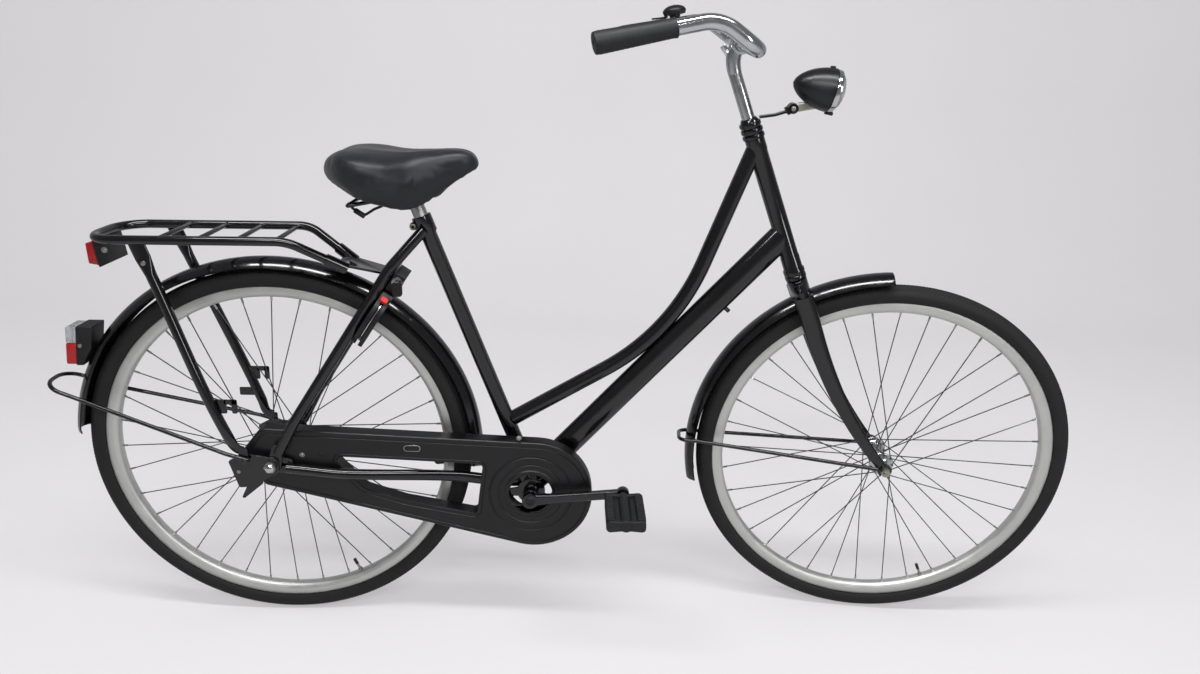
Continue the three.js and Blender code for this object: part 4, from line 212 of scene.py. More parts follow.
def dress_shader(tree, shader, tone, roughness, relief):
    """Joins a finish's tone, roughness and relief outputs to its surface shader."""
    tree.links.new(tone, shader.inputs["Base Color"])
    if roughness is not None:
        tree.links.new(roughness, shader.inputs["Roughness"])
    tree.links.new(relief, shader.inputs["Normal"])


print("material helpers ready")

# %% [markdown]
# ### Stoved enamel on steel tube
# The frame is dipped or sprayed gloss black and baked. The paint flows into a glass-like coat with a
# faint orange peel a couple of millimetres across, and dust dulls it in soft patches.

# %% Enamel
def enamel():
    """Near-black base under a clear coat: broad dust patches lift colour and roughness a little."""
    material, tree, shader, where = finish(
        "black_stoved_enamel", {"IOR": 1.5, "Coat Weight": 0.6, "Coat Roughness": 0.06},
    )
    dust = add(tree, "ShaderNodeTexNoise", {"Scale": 1 / (60 * MM), "Detail": 5.0}, {"Vector": where})
    film = add(
        tree, "ShaderNodeMapRange", {"From Min": 0.42, "From Max": 0.75}, {"Value": dust.outputs["Fac"]},
    )
    tone = add(
        tree, "ShaderNodeMix", {"data_type": "RGBA", 6: colour("#040405"), 7: colour("#0c0c10")},
        {0: film.outputs["Result"]},
    )
    patches = add(tree, "ShaderNodeTexNoise", {"Scale": 1 / (25 * MM), "Detail": 3.0}, {"Vector": where})
    gloss = add(
        tree, "ShaderNodeMapRange", {"From Min": 0.3, "From Max": 0.7, "To Min": 0.1, "To Max": 0.2},
        {"Value": patches.outputs["Fac"]},
    )
    peel = add(tree, "ShaderNodeTexNoise", {"Scale": 1 / (2.6 * MM), "Detail": 1.0}, {"Vector": where})
    relief = add(
        tree, "ShaderNodeBump", {"Distance": 0.03 * MM, "Strength": 0.35}, {"Height": peel.outputs["Fac"]},
    )
    dress_shader(tree, shader, tone.outputs[2], gloss.outputs["Result"], relief.outputs["Normal"])
    return material


paint = enamel()
print("made", paint.name)


# %% [markdown]
# ### Moulded plastics and rubbers
# The case, bell and lock are injection moulded: a fine spark-eroded grain breaks the reflection into
# a satin sheen. Rubber is duller still, and greys where hands or the road have touched it.

# %% Plastics and rubbers
def moulded(name, dark, pale, rough, grain, height, sheen=0.0):
    """Two near tones in handling patches, a roughness that follows them, and a grain of given size."""
    material, tree, shader, where = finish(name, {"IOR": 1.52, "Sheen Weight": sheen, "Sheen Roughness": 0.6})
    handling = add(tree, "ShaderNodeTexNoise", {"Scale": 1 / (38 * MM), "Detail": 6.0}, {"Vector": where})
    worn = add(
        tree, "ShaderNodeMapRange", {"From Min": 0.4, "From Max": 0.72}, {"Value": handling.outputs["Fac"]},
    )
    tone = add(
        tree, "ShaderNodeMix", {"data_type": "RGBA", 6: colour(dark), 7: colour(pale)},
        {0: worn.outputs["Result"]},
    )
    satin = add(
        tree, "ShaderNodeMapRange", {"To Min": rough, "To Max": rough + 0.12},
        {"Value": worn.outputs["Result"]},
    )
    sparks = add(tree, "ShaderNodeTexNoise", {"Scale": 1 / (grain * MM), "Detail": 2.0}, {"Vector": where})
    relief = add(
        tree, "ShaderNodeBump", {"Distance": height * MM, "Strength": 0.5}, {"Height": sparks.outputs["Fac"]},
    )
    dress_shader(tree, shader, tone.outputs[2], satin.outputs["Result"], relief.outputs["Normal"])
    return material


case_plastic = moulded("satin_moulded_case_plastic", "#060608", "#0e0f12", 0.34, 0.7, 0.05)
black_plastic = moulded("moulded_nylon", "#090a0c", "#131417", 0.42, 0.6, 0.06)
lamp_plastic = moulded("lamp_shell_plastic", "#0b0d10", "#15181c", 0.3, 0.8, 0.04)
grip_rubber = moulded("grip_rubber", "#0e0f12", "#181a1e", 0.5, 0.5, 0.08)
tread_rubber = moulded("vulcanised_tyre_rubber", "#09090b", "#141416", 0.7, 0.6, 0.12)
red_plastic = moulded("red_moulded_tab", "#c4160f", "#e0362a", 0.38, 0.6, 0.04)
print("made moulded finishes")


# %% [markdown]
# ### Metals
# Chrome plate on the bar is a mirror with faint wiping marks. The rims are anodised aluminium: turned
# rings too fine to see one by one give a soft band of light. Nuts and screws are zinc plated.

# %% Metals
def metal(name, dark, pale, low_rough, high_rough, grain, height):
    """Metal with cloudy patches of tone and roughness, and a shallow grain."""
    material, tree, shader, where = finish(name, {"Metallic": 1.0})
    clouds = add(tree, "ShaderNodeTexNoise", {"Scale": 1 / (14 * MM), "Detail": 5.0}, {"Vector": where})
    tone = add(
        tree, "ShaderNodeMix", {"data_type": "RGBA", 6: colour(dark), 7: colour(pale)},
        {0: clouds.outputs["Fac"]},
    )
    wiped = add(
        tree, "ShaderNodeMapRange",
        {"From Min": 0.3, "From Max": 0.7, "To Min": low_rough, "To Max": high_rough},
        {"Value": clouds.outputs["Fac"]},
    )
    fine = add(tree, "ShaderNodeTexNoise", {"Scale": 1 / (grain * MM), "Detail": 2.0}, {"Vector": where})
    relief = add(
        tree, "ShaderNodeBump", {"Distance": height * MM, "Strength": 0.4}, {"Height": fine.outputs["Fac"]},
    )
    dress_shader(tree, shader, tone.outputs[2], wiped.outputs["Result"], relief.outputs["Normal"])
    return material


def turned_metal(name, centre, dark, pale, pitch, height):
    """Metal with rings round an axle: the distance from the axle's middle drives a fine wave."""
    material, tree, shader, where = finish(name, {"Metallic": 1.0})
    offset = add(tree, "ShaderNodeVectorMath", {"operation": "SUBTRACT", 1: tuple(centre * MM)}, {0: where})
    reach = add(tree, "ShaderNodeVectorMath", {"operation": "LENGTH"}, {0: offset.outputs[0]})
    turns = add(
        tree, "ShaderNodeMath", {"operation": "MULTIPLY", 1: 2 * math.pi / (pitch * MM)},
        {0: reach.outputs["Value"]},
    )
    wave = add(tree, "ShaderNodeMath", {"operation": "SINE"}, {0: turns.outputs[0]})
    clouds = add(tree, "ShaderNodeTexNoise", {"Scale": 1 / (30 * MM), "Detail": 5.0}, {"Vector": where})
    tone = add(
        tree, "ShaderNodeMix", {"data_type": "RGBA", 6: colour(dark), 7: colour(pale)},
        {0: clouds.outputs["Fac"]},
    )
    satin = add(
        tree, "ShaderNodeMapRange", {"From Min": 0.3, "From Max": 0.7, "To Min": 0.4, "To Max": 0.55},
        {"Value": clouds.outputs["Fac"]},
    )
    relief = add(
        tree, "ShaderNodeBump", {"Distance": height * MM, "Strength": 0.4}, {"Height": wave.outputs[0]},
    )
    dress_shader(tree, shader, tone.outputs[2], satin.outputs["Result"], relief.outputs["Normal"])
    return material


chrome = metal("chrome_plate", "#d2d4d6", "#e6e7e8", 0.06, 0.16, 1.2, 0.01)
cast_alloy = metal("polished_alloy", "#c2c4c6", "#d6d8d9", 0.14, 0.28, 0.8, 0.02)
post_alloy = metal("satin_post_alloy", "#c6c6c2", "#d8d8d4", 0.32, 0.45, 0.6, 0.02)
spoke_steel = metal("stainless_spoke_steel", "#55575b", "#74767a", 0.24, 0.38, 0.8, 0.01)
zinc = metal("zinc_plated_steel", "#a5a397", "#bdbbb0", 0.28, 0.5, 0.7, 0.03)
dull_steel = metal("oiled_chain_steel", "#4c4a46", "#7d7a74", 0.3, 0.55, 0.8, 0.04)
RING_PITCH = 1.1
rear_rim_metal = turned_metal("anodised_rear_rim", REAR_AXLE, "#dedfdb", "#ecece8", RING_PITCH, 0.03)
front_rim_metal = turned_metal(
    "anodised_front_rim", steered(FRONT_AXLE), "#dedfdb", "#ecece8", RING_PITCH, 0.03,
)
print("made metals")


# %% [markdown]
# ### Leatherette and lenses
# The saddle cover is vinyl with a leather grain pressed into it: small cells with soft valleys. The
# lenses are acrylic, clear in front and deep red behind, with prisms moulded into them.

# %% Cover and lenses
def leatherette():
    """Grain cells under 2 mm wide from the distance to their borders, over a soft sheen."""
    material, tree, shader, where = finish(
        "grained_leatherette", {"IOR": 1.48, "Sheen Weight": 0.08, "Sheen Roughness": 0.5},
    )
    wear = add(tree, "ShaderNodeTexNoise", {"Scale": 1 / (45 * MM), "Detail": 4.0}, {"Vector": where})
    worn = add(
        tree, "ShaderNodeMapRange", {"From Min": 0.35, "From Max": 0.7}, {"Value": wear.outputs["Fac"]},
    )
    tone = add(
        tree, "ShaderNodeMix", {"data_type": "RGBA", 6: colour("#0c0e12"), 7: colour("#171a20")},
        {0: worn.outputs["Result"]},
    )
    satin = add(
        tree, "ShaderNodeMapRange", {"To Min": 0.32, "To Max": 0.44}, {"Value": worn.outputs["Result"]},
    )
    cells = add(
        tree, "ShaderNodeTexVoronoi", {"feature": "DISTANCE_TO_EDGE", "Scale": 1 / (1.7 * MM)},
        {"Vector": where},
    )
    valleys = add(tree, "ShaderNodeMapRange", {"From Max": 0.3}, {"Value": cells.outputs["Distance"]})
    relief = add(
        tree, "ShaderNodeBump", {"Distance": 0.1 * MM, "Strength": 0.45},
        {"Height": valleys.outputs["Result"]},
    )
    dress_shader(tree, shader, tone.outputs[2], satin.outputs["Result"], relief.outputs["Normal"])
    return material


def lens(name, tone, deep, transmission, prism):
    """Acrylic with a grid of prisms of one size, seen as small pyramids in the bump."""
    material, tree, shader, where = finish(
        name, {"IOR": 1.49, "Transmission Weight": transmission, "Roughness": 0.08, "Coat Weight": 0.4},
    )
    prisms = add(
        tree, "ShaderNodeTexVoronoi",
        {"feature": "F1", "distance": "CHEBYCHEV", "Scale": 1 / (prism * MM), "Randomness": 0.0},
        {"Vector": where},
    )
    shade = add(
        tree, "ShaderNodeMix", {"data_type": "RGBA", 6: colour(tone), 7: colour(deep)},
        {0: prisms.outputs["Distance"]},
    )
    relief = add(
        tree, "ShaderNodeBump", {"Distance": 0.5 * MM, "Strength": 0.6},
        {"Height": prisms.outputs["Distance"]},
    )
    dress_shader(tree, shader, shade.outputs[2], None, relief.outputs["Normal"])
    return material


cover = leatherette()
red_lens = lens("red_acrylic_lens", "#b8141a", "#6d0b10", 0.15, 3.2)
clear_lens = lens("clear_acrylic_lens", "#f2f4f5", "#dfe3e5", 0.85, 3.6)
print("made cover and lenses")


# %% [markdown]
# ## Surface helpers
# Most of a bicycle is one of three shapes: a section carried along a path, a profile turned round a
# line, or a flat plate with rounded edges. Each is a grid of points worked out as one numpy array, and
# the same function joins any grid's neighbours into faces.

# %% Grids and skins
def unit(v):
    """The vector or vectors at length one."""
    v = np.asarray(v, float)
    return v / np.linalg.norm(v, axis=-1, keepdims=True)


def net(points, wrap_rows=False, wrap_columns=True, caps=True):
    """Quads between neighbouring rows and columns of a grid; caps close its first and last row."""
    rows, columns = points.shape[:2]
    row = np.arange(rows if wrap_rows else rows - 1)[:, None]
    column = np.arange(columns if wrap_columns else columns - 1)[None, :]
    after, beside = (row + 1) % rows, (column + 1) % columns
    corners = [
        row * columns + column, row * columns + beside, after * columns + beside, after * columns + column,
    ]
    faces = np.stack(
        [np.broadcast_to(c, (row.size, column.size)) for c in corners], -1,
    ).reshape(-1, 4).tolist()
    if caps and not wrap_rows:
        faces.append(list(range(columns))[::-1])
        faces.append([(rows - 1) * columns + k for k in range(columns)])
    return outward(points.reshape(-1, 3), faces)


def outward(points, faces):
    """Turns every face round if the closed skin's signed volume, a sum of fans, is negative."""
    fans = np.array([(f[0], f[k], f[k + 1]) for f in faces for k in range(1, len(f) - 1)])
    a, b, c = points[fans[:, 0]], points[fans[:, 1]], points[fans[:, 2]]
    middle = points.mean(0)
    if np.sum((a - middle) * np.cross(b - middle, c - middle)) < 0:
        faces = [f[::-1] for f in faces]
    return points, faces


def creased(mesh, sharp):
    """Smooths every face and keeps a crease where two meet at more than the sharp angle."""
    mesh.polygons.foreach_set("use_smooth", np.ones(len(mesh.polygons), bool))
    mesh.set_sharp_from_angle(angle=math.radians(sharp))


def piece(name, skins, material, body, replaces=(), turn=False, sharp=38.0):
    """Writes closed skins into one object that rides on a body; creases over the sharp angle stay."""
    skins = skins if isinstance(skins, list) else [skins]
    starts = np.cumsum([0] + [len(points) for points, _ in skins[:-1]])
    points = np.concatenate([points for points, _ in skins])
    points = steered(points) if turn else points
    faces = [[k + int(start) for k in face] for (_, faces), start in zip(skins, starts) for face in faces]
    mesh = bpy.data.meshes.new(name)
    mesh.from_pydata((points * MM).tolist(), [], faces)
    creased(mesh, sharp)
    mesh.materials.append(material)
    made = placed(name, mesh)
    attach(made, body)
    if replaces:
        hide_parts(*([replaces] if isinstance(replaces, str) else replaces))
    return made


# %% Sections, paths and turned profiles
def ring(radius, count=32):
    """A circle: count points at equal angles."""
    angle = np.linspace(0, 2 * np.pi, count, endpoint=False)
    return radius * np.stack([np.cos(angle), np.sin(angle)], -1)


def carried(path, section, side=SIDEWAYS, closed=False, caps=True):
    """A section carried along a path: each ring is centre + x * level + y * across, where level keeps
    as near to the last ring's level as the heading lets it."""
    path = np.asarray(path, float)
    step = np.roll(path, -1, 0) - np.roll(path, 1, 0) if closed else np.gradient(path, axis=0)
    heading = unit(step)
    levels = np.empty_like(path)
    level = np.asarray(side, float)
    for i, way in enumerate(heading):
        level = unit(level - way * (level @ way))
        levels[i] = level
    across = np.cross(heading, levels)
    section = np.broadcast_to(section, (len(path), *np.shape(section)[-2:]))
    grid = path[:, None] + section[..., :1] * levels[:, None] + section[..., 1:] * across[:, None]
    return net(grid, wrap_rows=closed, caps=caps)


def bent(points, radii, step=6.0):
    """Straight runs joined by arcs: at each inner corner the arc has its radius, cut in steps of angle."""
    points = [np.asarray(p, float) for p in points]
    line = [points[0]]
    for before, corner, after, radius in zip(points, points[1:], points[2:], radii):
        first, second = unit(corner - before), unit(after - corner)
        angle = math.acos(np.clip(first @ second, -1, 1))
        inwards = unit(second - first * (first @ second))
        start = corner - first * radius * math.tan(angle / 2)
        along = np.linspace(0, angle, max(3, math.ceil(math.degrees(angle) / step) + 1))[:, None]
        line.extend(start + radius * (np.sin(along) * first + (1 - np.cos(along)) * inwards))
    return np.array(line + [points[-1]])


def tube(points, radii, radius, count=28, side=SIDEWAYS):
    """A round tube along a bent path."""
    return carried(bent(points, radii), ring(radius, count), side)


def rod(start, end, radius, other=None, count=28, edge=0.5):
    """A round bar or cone from start to end with a small rounded edge at both ends."""
    length = np.linalg.norm(end - start)
    other = radius if other is None else other
    edge = min(edge, length / 4)
    profile = [[radius - edge, 0], [radius - edge * 0.3, edge * 0.3], [radius, edge]]
    profile += [[other, length - edge], [other - edge * 0.3, length - edge * 0.3], [other - edge, length]]
    return turned(profile, start, end - start, count)


def pin(centre, way, near, far, radius, **finish):
    """A rod along one direction through a centre, from one distance to another."""
    return rod(centre + way * near, centre + way * far, radius, **finish)


def turned(profile, origin, axis, count=48, closed=False):
    """A profile of (radius, distance along) turned round an axis; a closed profile makes a ring."""
    profile = np.maximum(np.asarray(profile, float), [[0.05, -np.inf]])
    axis = unit(axis)
    level = unit(np.cross(axis, UP if abs(axis[2]) < 0.9 else SIDEWAYS))
    across = np.cross(axis, level)
    angle = np.linspace(0, 2 * np.pi, count, endpoint=False)
    spokes = np.cos(angle)[:, None] * level + np.sin(angle)[:, None] * across
    grid = np.asarray(origin) + profile[:, None, :1] * spokes + profile[:, None, 1:] * axis
    return net(grid, wrap_rows=closed, caps=not closed)


def oval(stations, side=SIDEWAYS, count=28, smooth=12):
    """An oval tube through stations (centre, half width, half height), eased between by a smooth curve."""
    centres = np.array([s[0] for s in stations], float)
    sizes = np.array([s[1:] for s in stations], float)
    run = np.concatenate([[0], np.cumsum(np.linalg.norm(np.diff(centres, axis=0), axis=1))])
    fine = np.unique(np.concatenate([np.linspace(a, b, smooth) for a, b in zip(run, run[1:])]))
    path = np.stack([eased(run, centres[:, k], fine) for k in range(3)], -1)
    size = np.stack([np.interp(fine, run, sizes[:, k]) for k in range(2)], -1)
    return carried(path, ring(1, count)[None] * size[:, None], side)


def eased(run, values, fine):
    """Cubic pieces through the values whose slopes are the mean of the neighbouring runs' slopes."""
    rate = np.diff(values) / np.diff(run)
    bend = np.concatenate([[rate[0]], (rate[1:] + rate[:-1]) / 2, [rate[-1]]])
    i = np.clip(np.searchsorted(run, fine, side="right") - 1, 0, len(run) - 2)
    width = run[i + 1] - run[i]
    t = (fine - run[i]) / width
    low, high = values[i], values[i + 1]
    return (
        (1 + 2 * t) * (1 - t) ** 2 * low + t * (1 - t) ** 2 * width * bend[i]
        + t * t * (3 - 2 * t) * high + t * t * (t - 1) * width * bend[i + 1]
    )


# %% Plates and outlines
def rounded(corners, inset=0.0, step=6.0):
    """A closed outline of [x, z, radius] corners, moved inward by inset, with arcs in equal steps."""
    points = np.array([c[:2] for c in corners], float)
    radii = [c[2] for c in corners]
    way = unit(np.roll(points, -1, 0) - points)
    inward = np.stack([-way[:, 1], way[:, 0]], -1)
    before_way, before_in = np.roll(way, 1, 0), np.roll(inward, 1, 0)
    share = inset / (1 + np.sum(before_in * inward, -1, keepdims=True))
    moved = points + (before_in + inward) * share
    outline = []
    for corner, first, second, side, radius in zip(moved, before_way, way, before_in, radii):
        angle = math.atan2(first[0] * second[1] - first[1] * second[0], first @ second)
        arc = max(radius - inset * np.sign(angle), GAP)
        start = corner - first * arc * math.tan(abs(angle) / 2)
        turn = np.linspace(0, abs(angle), max(3, math.ceil(abs(math.degrees(angle)) / step) + 1))[:, None]
        outline.extend(start + arc * (np.sin(turn) * first + (1 - np.cos(turn)) * side * np.sign(angle)))
    return np.array(outline)


def standing(outline, y):
    """An outline of (x, z) set upright at a distance to the side."""
    return np.stack([outline[:, 0], np.full(len(outline), y), outline[:, 1]], -1)


def box(left, right, low, high, radius):
    """The corners of an upright rectangle, all with one corner radius."""
    return [[left, low, radius], [right, low, radius], [right, high, radius], [left, high, radius]]


def slab(corners, from_y, to_y, edge=0.6):
    """A plate with rounded edges: the outline moves inward by a quarter circle at both faces."""
    low, high = min(from_y, to_y), max(from_y, to_y)
    quarter = np.linspace(0, np.pi / 2, 4)
    insets = np.concatenate([edge * (1 - np.sin(quarter)), edge * (1 - np.cos(quarter))])
    places = np.concatenate([low + edge * (1 - np.cos(quarter)), high - edge * (1 - np.sin(quarter))])
    return net(np.array([standing(rounded(corners, i), y) for i, y in zip(insets, places)]))


def dressed(node, material, body, width=0.5, sharp=40.0):
    """A copy of a CAD node with its doubles merged and flats joined, and its hard edges rounded."""
    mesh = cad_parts[node].data.copy()
    work = bmesh.new()
    work.from_mesh(mesh)
    bmesh.ops.remove_doubles(work, verts=work.verts, dist=0.00001)
    bmesh.ops.dissolve_limit(
        work, angle_limit=math.radians(1), use_dissolve_boundaries=False, verts=work.verts, edges=work.edges,
    )
    work.to_mesh(mesh)
    work.free()
    creased(mesh, sharp)
    mesh.materials.clear()
    mesh.materials.append(material)
    made = placed(node + "_dressed", mesh)
    if width:
        bevel = made.modifiers.new("edge", "BEVEL")
        bevel.width = width * MM
        bevel.segments = 2
        bevel.limit_method = "ANGLE"
        bevel.angle_limit = math.radians(sharp)
        bevel.harden_normals = False
    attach(made, body)
    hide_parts(node)
    return made


print("helpers ready")

# %% [markdown]
# ## Floor, wall and lamps
# A pale sweep stands in for the room. What the camera, mirrors and glass see of it is a plain pale
# tone, while the floor keeps the bicycle's shadow.

# %% Stage
FLOOR_HALF = 9000.0
WALL_PLACE = 2600.0
SWEEP_RADIUS = 900.0


def stage_sweep():
    """A floor that curves up into a wall: a quarter circle joins two straight runs."""
    angle = np.linspace(0, np.pi / 2, 24)
    bend = np.stack([
        WALL_PLACE - SWEEP_RADIUS + SWEEP_RADIUS * np.sin(angle), SWEEP_RADIUS * (1 - np.cos(angle)),
    ], -1)
    line = np.concatenate([[[-FLOOR_HALF, 0.0]], bend, [[WALL_PLACE, FLOOR_HALF]]])
    grid = np.array([[at(x, y, z) for y, z in line] for x in (-FLOOR_HALF, FLOOR_HALF)])
    mesh = bpy.data.meshes.new("sweep")
    count = len(line)
    faces = [[k, k + count, k + count + 1, k + 1] for k in range(count - 1)]
    mesh.from_pydata((grid.reshape(-1, 3) * MM).tolist(), [], faces)
    mesh.polygons.foreach_set("use_smooth", np.ones(len(mesh.polygons), bool))
    return placed("sweep", mesh)


def stage_paint():
    """Matt wall paint, brightened for rays from the camera and darkened a little in mirrors."""
    material, tree, shader, where = finish("matt_wall_paint", {"Roughness": 0.9})
    cloud = add(tree, "ShaderNodeTexNoise", {"Scale": 1 / (900 * MM), "Detail": 3.0}, {"Vector": where})
    tone = add(
        tree, "ShaderNodeMix", {"data_type": "RGBA", 6: colour("#dad9da"), 7: colour("#e2e1e3")},
        {0: cloud.outputs["Fac"]},
    )
    tree.links.new(tone.outputs[2], shader.inputs["Base Color"])
    path = add(tree, "ShaderNodeLightPath")
    glow = add(
        tree, "ShaderNodeEmission", {"Color": colour("#e9e6e7")}, {"Strength": path.outputs["Is Camera Ray"]},
    )
    seen = add(
        tree, "ShaderNodeMath", {"operation": "MAXIMUM"},
        {0: path.outputs["Is Glossy Ray"], 1: path.outputs["Is Camera Ray"]},
    )
    share = add(tree, "ShaderNodeMath", {"operation": "MULTIPLY", 1: 0.42}, {0: seen.outputs[0]})
    mix = add(tree, "ShaderNodeMixShader", links={
        0: share.outputs[0], 1: shader.outputs["BSDF"], 2: glow.outputs["Emission"],
    })
    output = next(n for n in tree.nodes if n.type == "OUTPUT_MATERIAL")
    tree.links.new(mix.outputs[0], output.inputs["Surface"])
    return material


sweep = stage_sweep()
sweep.data.materials.append(stage_paint())


def soft_lamp(name, place, target, size, depth, power):
    """An area lamp of a size and depth that faces its target."""
    data = bpy.data.lights.new(name, "AREA")
    data.shape = "RECTANGLE"
    data.size = size * MM
    data.size_y = depth * MM
    data.energy = power
    lamp = placed(name, data)
    lamp.location = Vector(place * MM)
    lamp.rotation_euler = Vector((target - place) * MM).to_track_quat("-Z", "Y").to_euler()
    return lamp


MIDDLE = at(560.0, 0.0, 500.0)
soft_lamp("ceiling_strip", at(500.0, -700.0, 3000.0), MIDDLE, 3400.0, 260.0, 60.0)
soft_lamp("near_strip", at(300.0, -2300.0, 2500.0), MIDDLE, 2600.0, 220.0, 34.0)
soft_lamp("front_lamp", at(2600.0, -2300.0, 1500.0), MIDDLE, 500.0, 1200.0, 16.0)

world = bpy.data.worlds.new("studio")
world.use_nodes = True
sky = world.node_tree.nodes["Background"]
sky.inputs["Color"].default_value = colour("#e4e5e8")
rays = add(world.node_tree, "ShaderNodeLightPath")
level = add(
    world.node_tree, "ShaderNodeMapRange", {"To Min": 0.6, "To Max": 0.2},
    {"Value": rays.outputs["Is Glossy Ray"]},
)
world.node_tree.links.new(level.outputs["Result"], sky.inputs["Strength"])
bpy.context.scene.world = world
print("stage ready")

# %% [markdown]
# ## Wheels
# A tyre is pressed in a mould: smooth walls, then a band of small blocks that meets the road. The
# blocks are real geometry here: the radius drops wherever a groove runs along or across the band.
# Turning one section round the axle, with the groove depth a function of both parameters, gives all.

# %% Tyre
TYRE = Sizes(
    section=18.5, bead=9.4, well=309.3, top=318.3, blocks=330, per_block=4,
    groove=1.3, band=0.95, centre_rib=0.2, rib=0.35, rib_at=1.35, rib_half=0.09,
)


def tyre_net(centre):
    """Grid of angle round the wheel and angle round the section; grooves are a sum of square waves."""
    middle = TYRE_RADIUS - TYRE.section
    widest = math.acos((TYRE.top - middle) / TYRE.section)
    around = np.linspace(0, 2 * np.pi, TYRE.blocks * TYRE.per_block, endpoint=False)
    lean = np.concatenate([
        np.linspace(-widest, -TYRE.band * 1.15, 9), np.linspace(-TYRE.band, TYRE.band, 25),
        np.linspace(TYRE.band * 1.15, widest, 9),
    ])
    radius = middle + TYRE.section * np.cos(lean)
    side = TYRE.section * np.sin(lean)
    in_band = np.abs(lean) <= TYRE.band
    track = np.arange(len(lean)) % 4
    along_groove = in_band & (track == 0) & (np.abs(lean) > TYRE.centre_rib)
    shift = np.where(np.arange(len(lean)) // 4 % 2 == 0, 0, TYRE.per_block // 2)
    step = (np.arange(len(around))[:, None] + shift[None, :]) % TYRE.per_block
    across_groove = (step == 0) & in_band[None, :] & (np.abs(lean) > TYRE.centre_rib)[None, :]
    wall_rib = TYRE.rib * (np.abs(np.abs(lean) - TYRE.rib_at) < TYRE.rib_half)
    drop = TYRE.groove * np.maximum(along_groove[None, :], across_groove) - wall_rib[None, :]
    scale = 1 - drop / TYRE.section
    ring_radius = middle + (radius - middle)[None, :] * scale
    ring_side = side[None, :] * scale
    beads = np.array([
        [TYRE.top, TYRE.bead], [TYRE.well, TYRE.bead],
        [TYRE.well, -TYRE.bead], [TYRE.top, -TYRE.bead],
    ])
    full = np.ones((len(around), 1))
    ring_radius = np.concatenate([ring_radius, full * beads[:, 0]], 1)
    ring_side = np.concatenate([ring_side, full * beads[:, 1]], 1)
    x = centre[0] + ring_radius * np.cos(around)[:, None]
    z = centre[2] + ring_radius * np.sin(around)[:, None]
    return net(np.stack([x, centre[1] + ring_side, z], -1), wrap_rows=True)


WHEELS = (("rear", REAR_AXLE, "rear_wheel", False), ("front", FRONT_AXLE, "front_wheel", True))
for name, centre, body, turned_too in WHEELS:
    made = piece(
        name + "_tyre_moulded", tyre_net(centre), tread_rubber, body, name + "_tyre", turned_too, 50.0,
    )
    print(made.name, len(made.data.polygons), "faces")

# %% [markdown]
# ### Rims, hubs and spokes
# The rim is rolled from one strip, so its section is one closed outline turned round the axle. The
# spokes are straight wires from the hub flange to the rim, laced so that each crosses its neighbours;
# their ends are worked out as arrays, and each becomes a thin tube with a nipple at the rim.

# %% Rim
RIM = Sizes(flange=318.0, well=309.0, bed=297.0, half=12.2, lip=2.5, bed_half=9.0)
VALVE = Sizes(radius=3.0, length=27.0, angle=math.radians(-65.0))


def rim_section():
    """Flange with a rolled hook, a flat brake wall and a crowned inner bed."""
    half = RIM.half
    outer = [[RIM.well, half - RIM.lip], [RIM.flange - 1.2, half - RIM.lip]]
    hook = [[RIM.flange - 0.3, half - RIM.lip + 0.5], [RIM.flange, half - 1.3],
            [RIM.flange - 0.3, half - 0.4], [RIM.flange - 1.2, half]]
    wall = [[RIM.well - 3.0, half - 0.3], [RIM.well - 4.2, half - 0.5]]
    lean = np.linspace(0.15, np.pi / 2 - 0.1, 6)
    bed = [[RIM.bed + 7.0 * (1 - math.sin(a)), RIM.bed_half * math.cos(a) + 1.4] for a in lean]
    side = outer + hook + wall + bed
    return side + [[r, -y] for r, y in side[::-1]]


def valve_skins(centre):
    """A valve stem, its nut and its dust cap, standing inward from the rim bed."""
    out = slope(VALVE.angle)
    foot = centre + out * (RIM.bed + 2.0)
    tip = centre + out * (RIM.bed - VALVE.length)
    nut = centre + out * (RIM.bed - 4.0)
    cap = centre + out * (RIM.bed - VALVE.length * 0.55)
    return (
        rod(foot, tip, VALVE.radius * 0.8),
        rod(nut, foot, VALVE.radius * 1.5, count=6),
        rod(cap, tip, VALVE.radius),
    )


for (name, centre, body, turned_too), metal_here in zip(WHEELS, (rear_rim_metal, front_rim_metal)):
    section = turned(rim_section(), centre, SIDEWAYS, 192, closed=True)
    piece(name + "_rim_rolled", section, metal_here, body, name + "_rim", turned_too, 30.0)
    stem, nut, cap = valve_skins(centre)
    piece(name + "_valve_stem", [stem, nut], zinc, body, (), turned_too)
    piece(name + "_valve_cap", cap, black_plastic, body, (), turned_too)
print("rims ready")

# %% Hubs and spokes
SPOKE = Sizes(count=36, radius=1.0, hub_turn=math.radians(60.0), head_offset=3.4, rim_offset=1.5, sunk=3.0)
NIPPLE = Sizes(radius=1.9, length=11.0)
FRONT_HUB = Sizes(
    half=45.0, bore=4.8, barrel=14.0, flange=23.0, flange_at=30.0, thick=4.0, nose=10.0, nose_length=9.0,
)
REAR_HUB = Sizes(
    half=49.0, bore=5.3, barrel=28.0, flange=36.0, flange_at=27.0, thick=4.0, nose=15.0, nose_length=15.0,
)


def hub_skin(hub, centre):
    """The hub's profile: bore, nose, cone to the flange, rounded flange, and a barrel between."""
    flange, place, thick = hub.flange, hub.flange_at, hub.thick
    lean = np.linspace(0, np.pi, 7)
    edge = [[flange - 1.5 + 1.5 * math.sin(a), place + thick / 2 * math.cos(a)] for a in lean]
    side = [[hub.bore, hub.half], [hub.nose - 1, hub.half], [hub.nose, hub.half - 1],
            [hub.nose, hub.half - hub.nose_length], [hub.barrel * 0.9, place + thick]]
    side += edge
    side += [
        [hub.barrel + 3, place - thick / 2], [hub.barrel + 0.8, place - thick],
        [hub.barrel, place - 2 * thick],
    ]
    profile = side + [[r, -y] for r, y in side[::-1]]
    return turned(profile, centre, SIDEWAYS, 64, closed=True)


